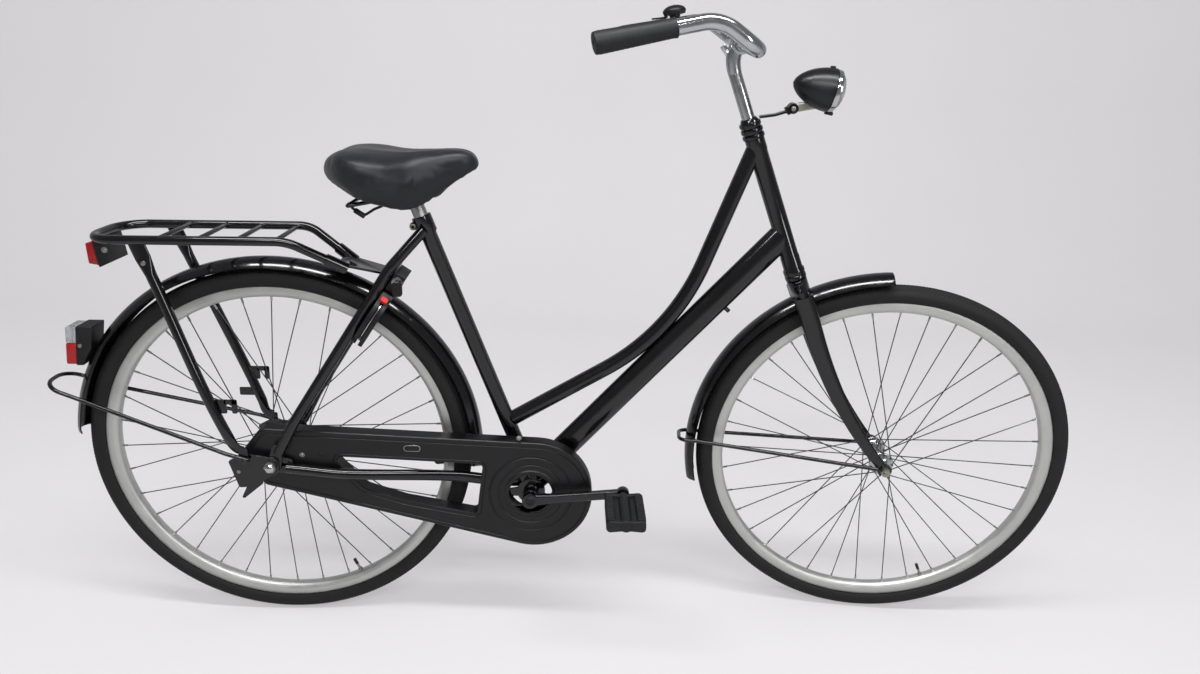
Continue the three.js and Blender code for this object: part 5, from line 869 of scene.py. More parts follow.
def spoke_ends(hub, centre):
    """Where each spoke leaves the flange and meets the rim, as two arrays of points."""
    i = np.arange(SPOKE.count)
    side = np.where(i % 2, 1.0, -1.0)
    leads = np.where(i // 2 % 2, 1.0, -1.0)
    rim_angle = i * 2 * np.pi / SPOKE.count
    hub_angle = rim_angle - leads * SPOKE.hub_turn
    start = hub.flange - SPOKE.sunk

    def place(radius, angle, y):
        return centre + np.stack([radius * np.cos(angle), y, radius * np.sin(angle)], -1)

    heads = place(start, hub_angle, side * (hub.flange_at + leads * SPOKE.head_offset / 2))
    ends = place(RIM.bed + 1.0, rim_angle, side * SPOKE.rim_offset)
    return heads, ends


for (name, centre, body, turned_too), hub in zip(WHEELS, (REAR_HUB, FRONT_HUB)):
    heads, ends = spoke_ends(hub, centre)
    wires = [rod(a, b, SPOKE.radius, count=8, edge=0.1) for a, b in zip(heads, ends)]
    nipples = [pin(b, unit(b - a), -NIPPLE.length, 0.0, NIPPLE.radius, count=8) for a, b in zip(heads, ends)]
    knobs = [pin(a, SIDEWAYS, -2.2, 2.2, 2.0, count=8) for a in heads]
    piece(
        name + "_hub_shell", hub_skin(hub, centre), cast_alloy, body, name + "_hub_and_spokes", turned_too,
    )
    piece(name + "_spokes", wires + knobs, spoke_steel, body, (), turned_too)
    piece(name + "_nipples", nipples, cast_alloy, body, (), turned_too)
    print(name, "spoke length", round(float(np.linalg.norm(ends[0] - heads[0])), 1), "mm")

# %% [markdown]
# ## Frame
# The tubes are drawn steel, brazed into lugs. A tube is a circle carried along its line; the down tube
# is an oval that narrows at the bracket, and the stays bend outward to clear the wheel.

# %% Head, seat and bracket tubes
HEAD = Sizes(radius=16.0, bore=14.2, start=416.0, end=663.0, cup_start=398.3, cup=19.0)
SEAT = Sizes(radius=14.0, bore=12.9, length=545.0, lug=17.0, lug_length=34.0)
SEAT_BOLT = Sizes(
    radius=3.5, half=16.0, drop=12.0, back=17.0, ear=7.0, ear_half=10.0, end=10.3, head=6.2, nut=6.0,
)
SHELL = Sizes(radius=20.0, half=34.0, cup_bore=8.6)

cup_length = HEAD.start - HEAD.cup_start
head_profile = [
    [HEAD.bore, 0], [HEAD.cup - 1.5, 0], [HEAD.cup, 1.5], [HEAD.cup, cup_length * 0.4],
    [HEAD.cup - 1.2, cup_length * 0.5], [HEAD.cup, cup_length * 0.6], [HEAD.cup, cup_length],
    [HEAD.radius + 0.8, cup_length + 3.0], [HEAD.radius + 0.8, cup_length + 26.0],
    [HEAD.radius, cup_length + 28.0], [HEAD.radius, HEAD.end - HEAD.cup_start - 24.0],
    [HEAD.radius + 0.8, HEAD.end - HEAD.cup_start - 22.0],
    [HEAD.radius + 0.8, HEAD.end - HEAD.cup_start - 0.8],
    [HEAD.radius, HEAD.end - HEAD.cup_start], [HEAD.bore, HEAD.end - HEAD.cup_start],
]
piece(
    "head_tube_lugged", turned(head_profile, on_head(HEAD.cup_start), HEAD_UP, 56, closed=True), paint,
    "frame", "head_tube",
)

lug_start = SEAT.length - SEAT.lug_length
seat_profile = [
    [SEAT.bore, 18.0], [SEAT.radius, 18.0], [SEAT.radius, lug_start], [SEAT.lug, lug_start + 4.0],
    [SEAT.lug, SEAT.length - 1.0], [SEAT.lug - 1.0, SEAT.length], [SEAT.bore, SEAT.length],
]
bolt_place = on_seat(SEAT.length - SEAT_BOLT.drop, -SEAT_BOLT.back)
ears = [
    pin(bolt_place, SIDEWAYS * s, 1.2, SEAT_BOLT.ear_half, SEAT_BOLT.ear, edge=1.2)
    for s in (-1, 1)
]
piece(
    "seat_tube_lugged", [turned(seat_profile, BRACKET, SEAT_UP, 56, closed=True), *ears], paint, "frame",
    "seat_tube",
)
bolt_ends = [bolt_place + SIDEWAYS * s * SEAT_BOLT.half for s in (-1, 1)]
bolt_head = rod(bolt_place - SIDEWAYS * SEAT_BOLT.end, bolt_ends[0], SEAT_BOLT.head, count=6, edge=0.8)
bolt_nut = rod(bolt_place + SIDEWAYS * SEAT_BOLT.end, bolt_ends[1], SEAT_BOLT.nut, count=6, edge=0.8)
piece("seat_lug_bolt", [rod(*bolt_ends, SEAT_BOLT.radius * 0.9), bolt_head, bolt_nut], zinc, "frame")

lip = SHELL.half
shell_profile = [
    [SHELL.cup_bore, -lip], [15.0, -lip], [15.5, -lip + 1.5], [SHELL.radius - 1, -lip + 1.5],
    [SHELL.radius, -lip + 3], [SHELL.radius, lip - 3], [SHELL.radius - 1, lip - 1.5],
    [15.5, lip - 1.5], [15.0, lip], [SHELL.cup_bore, lip],
]
piece(
    "bracket_shell_turned", turned(shell_profile, BRACKET, SIDEWAYS, 48, closed=True), paint, "frame",
    "bottom_bracket_shell",
)

# %% Top and down tubes
TOP = Sizes(
    radius=14.0, on_head=651.0, on_seat=129.5, low=math.radians(31.2), high=math.radians(70.2), bend=400.0,
)
DOWN = Sizes(side=16.0, height=24.0, bracket_height=20.0, swell=0.14, on_head=483.0)
PEG = Sizes(share=0.75, radius=4.0, length=9.0)
MITRE = Sizes(wall=15.4, top_back=42.0, down_back=15.5, into_seat_tube=12.0, into_shell=8.0, ring=2.0)


def top_tube_path():
    """Two straight runs whose meeting point is found from their slopes, with one long arc between."""
    start, end = on_head(TOP.on_head), on_seat(TOP.on_seat)
    rise = slope(TOP.low)
    fall = at(-math.cos(TOP.high), 0, -math.sin(TOP.high))
    span = start - end
    run = (span[0] * fall[2] - span[2] * fall[0]) / (rise[0] * fall[2] - rise[2] * fall[0])
    corner = end + rise * run
    return bent([start + fall * MITRE.top_back, corner, end + rise * MITRE.into_seat_tube], [TOP.bend], 2.0)


def mitred(skin, way):
    """The ring at a tube's head end slides along its heading until it meets the head tube's round wall."""
    points, faces = skin
    reach = points @ way
    end = reach > reach.max() - MITRE.ring
    wall = -np.sqrt(np.maximum(0.0, MITRE.wall ** 2 - points[:, 1] ** 2))
    behind = (points - HEAD_FOOT) @ HEAD_AHEAD
    slide = np.where(end, (wall - behind) / (way @ HEAD_AHEAD), 0.0)
    return points + slide[:, None] * way, faces


top_heading = slope(TOP.high)
top_skin = carried(top_tube_path(), ring(TOP.radius, 40))
piece("top_tube_swept", mitred(top_skin, top_heading), paint, "frame", "top_tube")
down_end = on_head(DOWN.on_head)
down_way = unit(down_end - BRACKET)
span = np.linalg.norm(down_end - BRACKET)
down_rows = [
    (BRACKET + down_way * MITRE.into_shell, DOWN.side, DOWN.bracket_height),
    (BRACKET + down_way * span * 0.08, DOWN.side, DOWN.bracket_height + 1.5),
    (BRACKET + down_way * span * DOWN.swell, DOWN.side, DOWN.height),
    (BRACKET + down_way * span * 0.5, DOWN.side, DOWN.height),
    (down_end - down_way * MITRE.down_back, DOWN.side, DOWN.height),
]
below = at(down_way[2], 0, -down_way[0])
peg_top = BRACKET + down_way * span * PEG.share
peg = pin(peg_top, below, DOWN.height - 3, DOWN.height + PEG.length, PEG.radius, edge=1.0)
piece("down_tube_swept", [mitred(oval(down_rows, count=44), down_way), peg], paint, "frame", "down_tube")
print("main tubes ready")

# %% [markdown]
# ### Stays and fork ends
# The chainstays flatten as they pass the tyre, so each is an oval tube whose two half widths change
# along its line. The fork ends and eyes are stamped plates, drawn as outlines with rounded edges.

# %% Chainstays
ENDS = Sizes(inner=60.0, outer=65.0, rear=27.0, low=17.0, high=20.0, front=36.0, corner=5.0)
CHAINSTAY_ROWS = [
    (26.0, 68.0, -5.5, 9.5, 9.5), (60.0, 68.0, -8.9, 9.5, 9.5), (118.0, 68.0, -15.4, 9.5, 9.5),
    (328.0, 34.0, -38.35, 7.0, 11.0), (400.0, 34.0, -46.0, 7.0, 11.0), (448.0, 29.0, -49.8, 7.0, 11.0),
]
SLOT_HALF = 5.4


def fork_end(side):
    """The slotted plate that holds the axle: two cheeks round the slot and a web in front of it."""
    near, far = side * ENDS.inner, side * ENDS.outer
    z, corner = TYRE_RADIUS, ENDS.corner
    upper = [[-ENDS.rear, z + SLOT_HALF, 2.0], [SLOT_HALF, z + SLOT_HALF, 0.5], [ENDS.front, z, 1.0],
             [ENDS.front, z + ENDS.high / 2, corner], [0.0, z + ENDS.high, corner],
             [-ENDS.rear, z + ENDS.high / 2, 3.0]]
    lower = [[-ENDS.rear, z - ENDS.low, corner], [ENDS.front, z - ENDS.low, corner],
             [ENDS.front, z, 1.0], [SLOT_HALF, z - SLOT_HALF, 0.5], [-ENDS.rear, z - SLOT_HALF, 2.0]]
    return [slab(upper, near, far, 0.4), slab(lower, near, far, 0.4)]


for name, side in SIDES:
    rows = [(stay(x, side * y, z), half, high) for x, y, z, half, high in CHAINSTAY_ROWS]
    piece(name + "_chainstay_swept", [oval(rows), *fork_end(side)], paint, "frame", name + "_chainstay")

# %% Seatstays
SEATSTAY = Sizes(
    radius=9.5, outer=68.2, foot=(14.0, 36.0), knee=(45.0, 84.0), shoulder=(221.0, 365.5),
    shoulder_y=45.0, top_y=21.0, on_seat=523.0, bend=120.0,
    eye=14.0, eye_corner=9.0, thick=3.0, bridge=6.0, bridge_share=0.9, tab_reach=1.1,
)
EYE_INNER = ENDS.outer + GAP
GUARD_CREST = 370.0


def seatstay_points(side):
    """Foot above the axle eye, knee, shoulder beside the tyre, and top on the seat lug."""
    top = on_seat(SEATSTAY.on_seat)
    return [
        stay(SEATSTAY.foot[0], side * SEATSTAY.outer, SEATSTAY.foot[1] - 12.0),
        stay(SEATSTAY.knee[0], side * SEATSTAY.outer, SEATSTAY.knee[1]),
        stay(SEATSTAY.shoulder[0], side * SEATSTAY.shoulder_y, SEATSTAY.shoulder[1]),
        at(top[0], side * SEATSTAY.top_y, top[2]),
    ]


def seatstay_eye(side):
    """The flattened foot of the stay: a plate that narrows upward from the axle."""
    z, r = TYRE_RADIUS, SEATSTAY.eye
    corners = [
        [-r, z - r, SEATSTAY.eye_corner], [r, z - r, SEATSTAY.eye_corner],
        [SEATSTAY.foot[0] + 9.0, z + SEATSTAY.foot[1], 5.0],
        [SEATSTAY.foot[0] - 9.0, z + SEATSTAY.foot[1] + 5.0, 5.0],
    ]
    return slab(corners, side * EYE_INNER, side * (EYE_INNER + SEATSTAY.thick), 0.5)


for name, side in SIDES:
    points = seatstay_points(side)
    path = bent(points, [SEATSTAY.bend, SEATSTAY.bend / 2])
    skins = [carried(path, ring(SEATSTAY.radius)), seatstay_eye(side)]
    if side < 0:
        spot = points[1] + (points[2] - points[1]) * SEATSTAY.bridge_share
        bridge_place = at(spot[0], 0, spot[2])
        inwards = unit(REAR_AXLE - bridge_place)
        skins.append(rod(spot, spot * MIRROR, SEATSTAY.bridge))
        skins.append(rod(
            bridge_place, REAR_AXLE - inwards * (GUARD_CREST - SEATSTAY.tab_reach), SEATSTAY.bridge,
        ))
    piece(name + "_seatstay_swept", skins, paint, "frame", name + "_seatstay")
print("stays ready")

# %% [markdown]
# ## Fork, headset and stem
# The blades taper and curve forward to the axle. The curve is a power of the distance left to the tip,
# so the blade starts straight and bends more and more, as a blade rolled over a former does.

# %% Fork
FORK = Sizes(
    crown=372.0, crown_top=398.0, crown_half=50.0, ahead=18.0, steerer=12.7, bore=11.8, steerer_top=690.0,
    blade_y=41.0, tip_y=54.8, curve=300.0, power=2.2, root=(10.0, 18.0), tip=(2.6, 8.0),
    tip_start=8.0, inner=51.8, outer=57.0, disc=13.0, slot=4.9,
)


def blade(side):
    """Centre, spread and size along the blade as functions of the share of its length."""
    share = np.linspace(0, 1, 48)[:, None]
    distance = FORK.tip_start + share * (FORK.crown + 3.0 - FORK.tip_start)
    left = np.maximum(0, 1 - distance / FORK.curve)
    spread_out = FORK.blade_y + (FORK.tip_y - FORK.blade_y) * (1 - np.minimum(1, distance / FORK.curve))
    path = (
        HEAD_FOOT + distance * HEAD_UP + FORK_RAKE * left ** FORK.power * HEAD_AHEAD
        + side * spread_out * SIDEWAYS
    )
    half = FORK.tip[0] + (FORK.root[0] - FORK.tip[0]) * share
    high = FORK.tip[1] + (FORK.root[1] - FORK.tip[1]) * share ** 0.7
    return carried(path, ring(1, 32)[None] * np.concatenate([half, high], 1)[:, None])


def fork_tip(side):
    """A round plate with an open slot below: a half disc over two cheeks."""
    angle = np.linspace(0, np.pi, 25)
    inner, outer = FORK.slot, FORK.disc
    foot = math.sqrt(outer ** 2 - inner ** 2)
    start = -math.acos(inner / outer)
    arc = np.linspace(start, np.pi - start, 33)
    outline = np.concatenate([
        np.stack([outer * np.cos(arc), outer * np.sin(arc)], -1), [[-inner, 0.0]],
        np.stack([-inner * np.cos(angle[1:-1]), inner * np.sin(angle[1:-1])], -1), [[inner, 0.0]],
    ])
    y = np.array([FORK.inner, FORK.outer]) * side
    grid = np.array([standing(outline + [FRONT_AXLE[0], FRONT_AXLE[2]], value) for value in y])
    return net(grid)


crown_rows = [
    (on_head(FORK.crown), FORK.crown_half, FORK.ahead),
    (on_head(FORK.crown + 13.0), FORK.crown_half, FORK.ahead),
    (on_head(FORK.crown + 20.0), FORK.crown_half * 0.72, FORK.ahead),
    (on_head(FORK.crown_top), FORK.ahead, FORK.ahead),
]
steerer_profile = [
    [FORK.bore, 0], [FORK.steerer, 0], [FORK.steerer, FORK.steerer_top - FORK.crown_top + 5],
    [FORK.bore, FORK.steerer_top - FORK.crown_top + 5],
]
fork_skins = [
    oval(crown_rows, count=44, smooth=8),
    turned(steerer_profile, on_head(FORK.crown_top - 5.0), HEAD_UP, 40, closed=True),
]
for side in (-1, 1):
    fork_skins += [blade(side), fork_tip(side)]
piece("fork_raked", fork_skins, paint, "steering", "fork", True)

# %% Headset and stem
HEADSET = Sizes(start=663.3, end=698.0, radius=19.0, waist=16.5, nut=14.5, bore=13.6, quill=11.6, step=7.0)


def headset_profile():
    """Cup, race, lock ring and nut: steps of radius with rounded shoulders, closed by the bore."""
    step, wide, waist = HEADSET.step, HEADSET.radius, HEADSET.waist
    length = HEADSET.end - HEADSET.start
    rows = [[HEADSET.bore, 0]]
    for low, high, radius in (
        (0, step, wide), (1.5 * step, 2.5 * step, wide), (3 * step + 0.3, 4 * step, wide - 0.3),
    ):
        rows += [
            [radius - 1.0, low], [radius - 0.3, low + 0.3], [radius, low + 1.0], [radius, high - 1.0],
            [radius - 0.3, high - 0.3], [radius - 1.0, high], [waist, high + 0.1],
        ]
    rows += [
        [HEADSET.nut, length - 3.0], [HEADSET.nut - 1.0, length], [HEADSET.quill, length],
        [HEADSET.quill, length - 4.5], [HEADSET.bore, length - 4.5],
    ]
    return rows


piece(
    "headset_turned", turned(headset_profile(), on_head(HEADSET.start), HEAD_UP, 56, closed=True), paint,
    "steering", "upper_headset", True,
)

STEM = Sizes(
    radius=11.1, start=600.0, end=806.0, ahead=23.4, rise=12.5, clamp=17.0, clamp_half=22.0, neck=13.0,
    bolt=6.0, bolt_high=6.0,
)
BAR_RADIUS = 11.1
CLAMP_CENTRE = on_head(STEM.end + STEM.rise, STEM.ahead)


def stem_neck():
    """The forged neck: an oval that grows from the quill's top and turns forward into the clamp."""
    run = np.linspace(0, 1, 16)[:, None]
    start, corner, end = on_head(STEM.end - 30.0), on_head(STEM.end + 6.0, 2.0), CLAMP_CENTRE
    path = (1 - run) ** 2 * start + 2 * run * (1 - run) * corner + run ** 2 * end
    half = STEM.radius + 0.3 + (STEM.neck - STEM.radius) * np.sin(run * np.pi / 2)
    return carried(path, ring(1, 36)[None] * np.concatenate([half + 1.5 * run, half], 1)[:, None])


clamp_profile = [
    [BAR_RADIUS + 0.3, 0], [STEM.clamp - 2.5, 0], [STEM.clamp - 0.8, 0.8], [STEM.clamp, 2.5],
    [STEM.clamp, 2 * STEM.clamp_half - 2.5], [STEM.clamp - 0.8, 2 * STEM.clamp_half - 0.8],
    [STEM.clamp - 2.5, 2 * STEM.clamp_half], [BAR_RADIUS + 0.3, 2 * STEM.clamp_half],
]
stem_skins = [
    rod(on_head(STEM.start), on_head(STEM.end - 20.0), STEM.radius, count=40), stem_neck(),
    turned(clamp_profile, CLAMP_CENTRE - SIDEWAYS * STEM.clamp_half, SIDEWAYS, 56, closed=True),
]
piece("stem_forged", stem_skins, cast_alloy, "bars", "stem", True)
expander = on_head(STEM.end + STEM.neck + STEM.bolt_high, -STEM.bolt_high)
piece(
    "stem_expander_bolt", rod(on_head(STEM.end), expander, STEM.bolt, count=6, edge=0.8), chrome, "bars", (),
    True,
)
print("steering ready")

# %% [markdown]
# ## Handlebar and grips
# The bar is one steel tube: straight across, round a corner, and back to the hands. The path is
# straight runs with an arc at each corner, so the tube keeps its circle all the way through each bend.

# %% Bar
BAR = Sizes(
    straight_y=240.0, corner=(6.0, -3.0), knee=(-52.0, 37.0), knee_y=248.0,
    end=(-214.0, 2.0), end_y=300.0, bend=32.0, knee_bend=60.0,
)
GRIP = Sizes(length=113.0, left_length=100.0, front=13.0, end=15.5, wall=3.0)


def bar_points():
    """The right half from the grip inward, then its mirror image back out."""
    half = [
        CLAMP_CENTRE + at(BAR.end[0], -BAR.end_y, BAR.end[1]),
        CLAMP_CENTRE + at(BAR.knee[0], -BAR.knee_y, BAR.knee[1]),
        CLAMP_CENTRE + at(BAR.corner[0], -BAR.straight_y, BAR.corner[1]),
        CLAMP_CENTRE + at(0, -BAR.straight_y / 2, 0),
    ]
    return half + mirrored(half)


bends = [BAR.knee_bend, BAR.bend, BAR.knee_bend]
bar_path = bent(bar_points(), bends + bends[::-1], 4.0)
piece("handlebar_bent", carried(bar_path, ring(BAR_RADIUS, 40), UP), chrome, "bars", "handlebar", True)


def grip_skin(start, inner, length):
    """A sleeve with a rounded end cap, a slight taper, fine rings and a flared front lip."""
    way = unit(inner - start)
    run = np.linspace(0, 1, 60)
    radius = GRIP.end + (GRIP.front - GRIP.end) * run
    radius = (
        radius + 0.12 * np.cos(run * length / 2.6 * 2 * np.pi) - 1.2 * np.exp(-run * 40)
        + 0.9 * np.exp(-(1 - run) * 60)
    )
    rows = [[3.0, 0.3], [8.0, 0.0], [GRIP.end - 2.2, 0.2]]
    rows += [[r, 0.8 + s * (length - 0.8)] for r, s in zip(radius, run)]
    rows += [[BAR_RADIUS + 0.35, length + 0.2], [BAR_RADIUS + 0.35, GRIP.wall + 1.0], [3.0, GRIP.wall + 1.0]]
    return turned(rows, start - way * GRIP.wall, way, 48, closed=True)


ends = bar_points()
piece("right_grip_sleeve", grip_skin(ends[0], ends[1], GRIP.length), grip_rubber, "bars", "right_grip", True)
piece(
    "left_grip_sleeve", grip_skin(ends[-1], ends[-2], GRIP.left_length), grip_rubber, "bars", "left_grip",
    True,
)
print("bar ready")

# %% [markdown]
# ## Bell and headlamp
# The bell is a small dome on a band round the bar, with a thumb lever. The lamp is an egg-shaped shell
# with a bright rim and a ribbed lens; a silver reflector and a bulb sit behind the lens.

# %% Bell
BELL = Sizes(
    share=0.67, band=14.5, band_length=14.0, dome=23.0, dome_high=15.0, base=21.0, base_high=6.0, stalk=17.0,
    pivot_back=16.0, lever=30.0, wide=9.0, thick=3.0,
)
grip_end, knee = ends[-1], ends[-2]
bell_way = unit(knee - grip_end)
bell_centre = grip_end + (knee - grip_end) * BELL.share
bell_out = unit(UP - bell_way * bell_way[2])
band_profile = [
    [BAR_RADIUS + 0.35, 0], [BELL.band - 0.6, 0], [BELL.band, 0.6], [BELL.band, BELL.band_length - 0.6],
    [BELL.band - 0.6, BELL.band_length], [BAR_RADIUS + 0.35, BELL.band_length],
]
lean = np.linspace(0, np.pi / 2, 9)
dome_profile = [
    [16.0, 0.0], [BELL.base - 0.5, 0.0], [BELL.base, 0.5], [BELL.dome - 0.6, BELL.base_high - 1.2],
    [BELL.dome, BELL.base_high],
]
dome_profile += [
    [BELL.dome * math.cos(a), BELL.base_high + (BELL.dome_high + 3.0 - BELL.base_high) * math.sin(a)]
    for a in lean[1:-1]
]
dome_profile += [[0.4, BELL.dome_high + 3.0]]
bell_skins = [
    turned(band_profile, bell_centre - bell_way * BELL.band_length / 2, bell_way, 40, closed=True),
    pin(bell_centre, bell_out, BAR_RADIUS + 1, BELL.stalk + 1.0, BELL.base / 2),
    turned(dome_profile, bell_centre + bell_out * (BELL.stalk - GAP), bell_out, 48),
]
piece("bell_dome", bell_skins, black_plastic, "bars", "bell", True)
bell_across = np.cross(bell_way, bell_out)
pivot = bell_centre - bell_way * BELL.pivot_back + bell_out * (BELL.stalk - BELL.thick - 2 * GAP)
run = np.linspace(0, 1, 14)[:, None]
lever_path = pivot - bell_way * BELL.lever * run + bell_out * (BELL.thick / 2 + 1.5 * run ** 2)
lever_size = np.concatenate(
    [BELL.wide / 2 + (BELL.wide / 2) * run - 2.5 * run ** 8, BELL.thick / 2 + 0 * run], 1,
)
square = ring(1, 28) * np.minimum(1.35, 1 / np.maximum(1e-6, np.abs(ring(1, 28)).max(1)))[:, None]
piece(
    "bell_thumb_lever", carried(lever_path, square[None] * lever_size[:, None], bell_across), black_plastic,
    "bell_thumb", "bell_lever", True,
)

# %% Lamp
LAMP = Sizes(
    shell=36.0, ring=33.0, length=66.0, lens_deep=20.0, tilt=math.radians(10.0),
    pivot=(895.0, 998.0), centre=(956.0, 1029.0), wall=2.0, ear_half=6.0, knee=(867.0, 986.0),
)
lamp_aim = at(math.cos(LAMP.tilt), 0, -math.sin(LAMP.tilt))
lamp_front = at(LAMP.centre[0], 0, LAMP.centre[1])
lamp_back = lamp_front - lamp_aim * LAMP.length
lamp_pivot = at(LAMP.pivot[0], 0, LAMP.pivot[1])
run = np.linspace(0, 1, 26)
egg = LAMP.shell * np.clip(1 - (1 - run) ** 1.85, 0, 1) ** 0.6
outer = [[max(r, 0.3), s * (LAMP.length - 1.0)] for r, s in zip(egg, run)]
rim_in = LAMP.shell - LAMP.wall
inner = [
    [rim_in, LAMP.length - 1.0], [rim_in - 1.0, LAMP.length * 0.75], [rim_in * 0.8, LAMP.length * 0.4],
    [1.0, LAMP.length * 0.3],
]
shell_skin = turned(outer + inner, lamp_back, lamp_aim, 64)
piece("headlamp_egg", shell_skin, lamp_plastic, "headlamp", "headlamp_shell", True)

rim_profile = [
    [LAMP.ring - 1.5, 0.5], [LAMP.ring + 1.6, 0.5], [LAMP.ring + 2.0, 1.2], [LAMP.ring + 2.0, 5.0],
    [LAMP.ring + 1.2, 8.2], [LAMP.ring - 1.2, 9.2], [LAMP.ring - 2.2, 8.6], [LAMP.ring - 1.8, 4.0],
]
piece(
    "headlamp_rim", turned(rim_profile, lamp_front, lamp_aim, 64, closed=True), chrome, "headlamp", (), True,
)
run = np.linspace(0, 1, 16)
lens_out = [
    [(LAMP.ring - 1.4) * math.cos(a), 6.0 + (LAMP.lens_deep - 6.0) * math.sin(a)] for a in run * np.pi / 2
]
lens_out[-1][0] = 0.3
lens_in = [[0.3, LAMP.lens_deep - 2.5], [LAMP.ring * 0.6, LAMP.lens_deep * 0.62], [LAMP.ring - 3.4, 4.6]]
piece(
    "headlamp_glass", turned(lens_out + lens_in, lamp_front, lamp_aim, 64), clear_lens, "headlamp",
    "headlamp_lens", True,
)
bowl = [[(LAMP.ring - 3.0) * math.sqrt(s), 4.0 - 24.0 * (1 - s)] for s in np.linspace(0.02, 1, 14)]
bowl += [[r - 0.8, z - 1.2] for r, z in bowl[::-1]]
piece("headlamp_reflector", turned(bowl, lamp_front, lamp_aim, 56, closed=True), chrome, "headlamp", (), True)
piece(
    "headlamp_bulb",
    turned(
        [[0.3, -19.0], [3.0, -19.0], [3.4, -8.0], [4.4, -3.0], [3.0, 1.5], [0.4, 3.0]], lamp_front, lamp_aim,
        24,
    ),
    clear_lens, "headlamp", (), True,
)

ear = pin(lamp_pivot, SIDEWAYS, -(LAMP.ear_half - 0.3), LAMP.ear_half - 0.3, 8.0)
under = lamp_back + lamp_aim * LAMP.length * 0.55 - UP * LAMP.shell * 0.82
foot_path = np.array([lamp_pivot + (under - lamp_pivot) * s for s in (0.0, 0.5, 1.0, 1.15)])
foot = carried(foot_path, square * at(4.6, 7.0, 0)[:2])
piece("headlamp_foot", [ear, foot], zinc, "headlamp", (), True)
top_screw = (
    lamp_back + lamp_aim * (LAMP.length - 9.0) + (UP + lamp_aim * math.sin(LAMP.tilt)) * (LAMP.shell - 0.5)
)
piece("headlamp_top_knob", pin(top_screw, UP, -3, 3.5, 4.5, edge=1.5), black_plastic, "headlamp", (), True)
latch = lamp_front + lamp_aim * 1.0 - UP * (LAMP.shell + 1.0)
piece(
    "headlamp_rim_screw", pin(latch, lamp_aim, -9.0, 5.0, 3.0, edge=0.8), black_plastic, "headlamp", (), True,
)

HEAD_NUT = on_head(HEADSET.end - HEADSET.step / 2, HEADSET.nut + 3.5)
arm_line = [HEAD_NUT, at(LAMP.knee[0], 0, LAMP.knee[1]), lamp_pivot - UP * 3.0 - at(2.0, 0, 0)]
arm_path = bent(arm_line, [18.0], 6.0)
arm = carried(arm_path, square * at(8.5, 2.0, 0)[:2])
cheeks = [
    pin(lamp_pivot, SIDEWAYS * s, LAMP.ear_half + GAP, LAMP.ear_half + GAP + 3.0, 8.8, edge=0.5)
    for s in (-1, 1)
]
tongue_line = np.array([arm_path[-1] - unit(arm_path[-1] - arm_path[-3]) * 9.0, lamp_pivot])
tongues = [
    carried(tongue_line + SIDEWAYS * s * (LAMP.ear_half + 1.8), square * at(1.5, 6.0, 0)[:2]) for s in (-1, 1)
]
piece("headlamp_arm", [arm, *cheeks, *tongues], paint, "steering", "headlamp_bracket", True)
screw_half = LAMP.ear_half + 6.0
piece(
    "headlamp_arm_screw", pin(lamp_pivot, SIDEWAYS, -screw_half, screw_half, 4.0, edge=1.0), zinc, "steering",
    (), True,
)
print("lamp ready")

# %% [markdown]
# ## Mudguards and their stays
# A guard is rolled from thin sheet: an arched section carried round the wheel, with its two edges
# rolled back into a bead. The stays are one bent wire each, from eye to eye round the guard.

# %% Guards
GUARD = Sizes(half=26.0, depth=15.0, wall=1.2, power=2.2, bead=1.5)
REAR_GUARD = Sizes(crest=GUARD_CREST, start=math.radians(-4.0), end=math.radians(174.5))
FRONT_GUARD = Sizes(
    crest=371.0, start=math.radians(94.0), end=math.radians(191.6), spacer=366.0, spacer_radius=15.0,
)


def guard_skin(guard, centre):
    """Angle round the wheel by a share across: the drop from the crest is a power of that share."""
    turns = int((guard.end - guard.start) / math.radians(1.5)) + 1
    angle = np.linspace(guard.start, guard.end, turns)[:, None]
    share = np.linspace(-1, 1, 33)
    drop = GUARD.depth * np.abs(share) ** GUARD.power
    top = np.stack([share * (GUARD.half + 0.6), guard.crest - drop], -1)
    under = np.stack([share * (GUARD.half - 0.6), guard.crest - drop - GUARD.wall], -1)
    lean = np.linspace(0, np.pi, 7)[1:-1]
    bead = np.stack([np.cos(lean), -np.sin(lean)], -1) * GUARD.bead
    low = guard.crest - GUARD.depth
    right_bead = bead + [GUARD.half - 0.2, low - 0.4]
    left_bead = bead[::-1] + [-GUARD.half + 0.2, low - 0.4]
    section = np.concatenate([top, right_bead, under[::-1], left_bead])
    tips = np.clip(np.minimum(angle - guard.start, guard.end - angle) / math.radians(2.2), 0, 1)
    narrow = 0.86 + 0.14 * np.sqrt(1 - (1 - tips) ** 2)
    radius, y = section[:, 1][None, :], section[:, 0][None, :] * narrow
    radius = np.broadcast_to(radius, y.shape)
    grid = centre + np.stack([radius * np.cos(angle), y, radius * np.sin(angle)], -1)
    return net(grid)


piece("rear_mudguard_rolled", guard_skin(REAR_GUARD, REAR_AXLE), paint, "frame", "rear_mudguard", False, 50.0)
spacer = rod(on_head(FRONT_GUARD.spacer), on_head(FORK.crown - GAP), FRONT_GUARD.spacer_radius)
piece(
    "front_mudguard_rolled", [guard_skin(FRONT_GUARD, FRONT_AXLE), spacer], paint, "steering",
    "front_mudguard", True, 50.0,
)

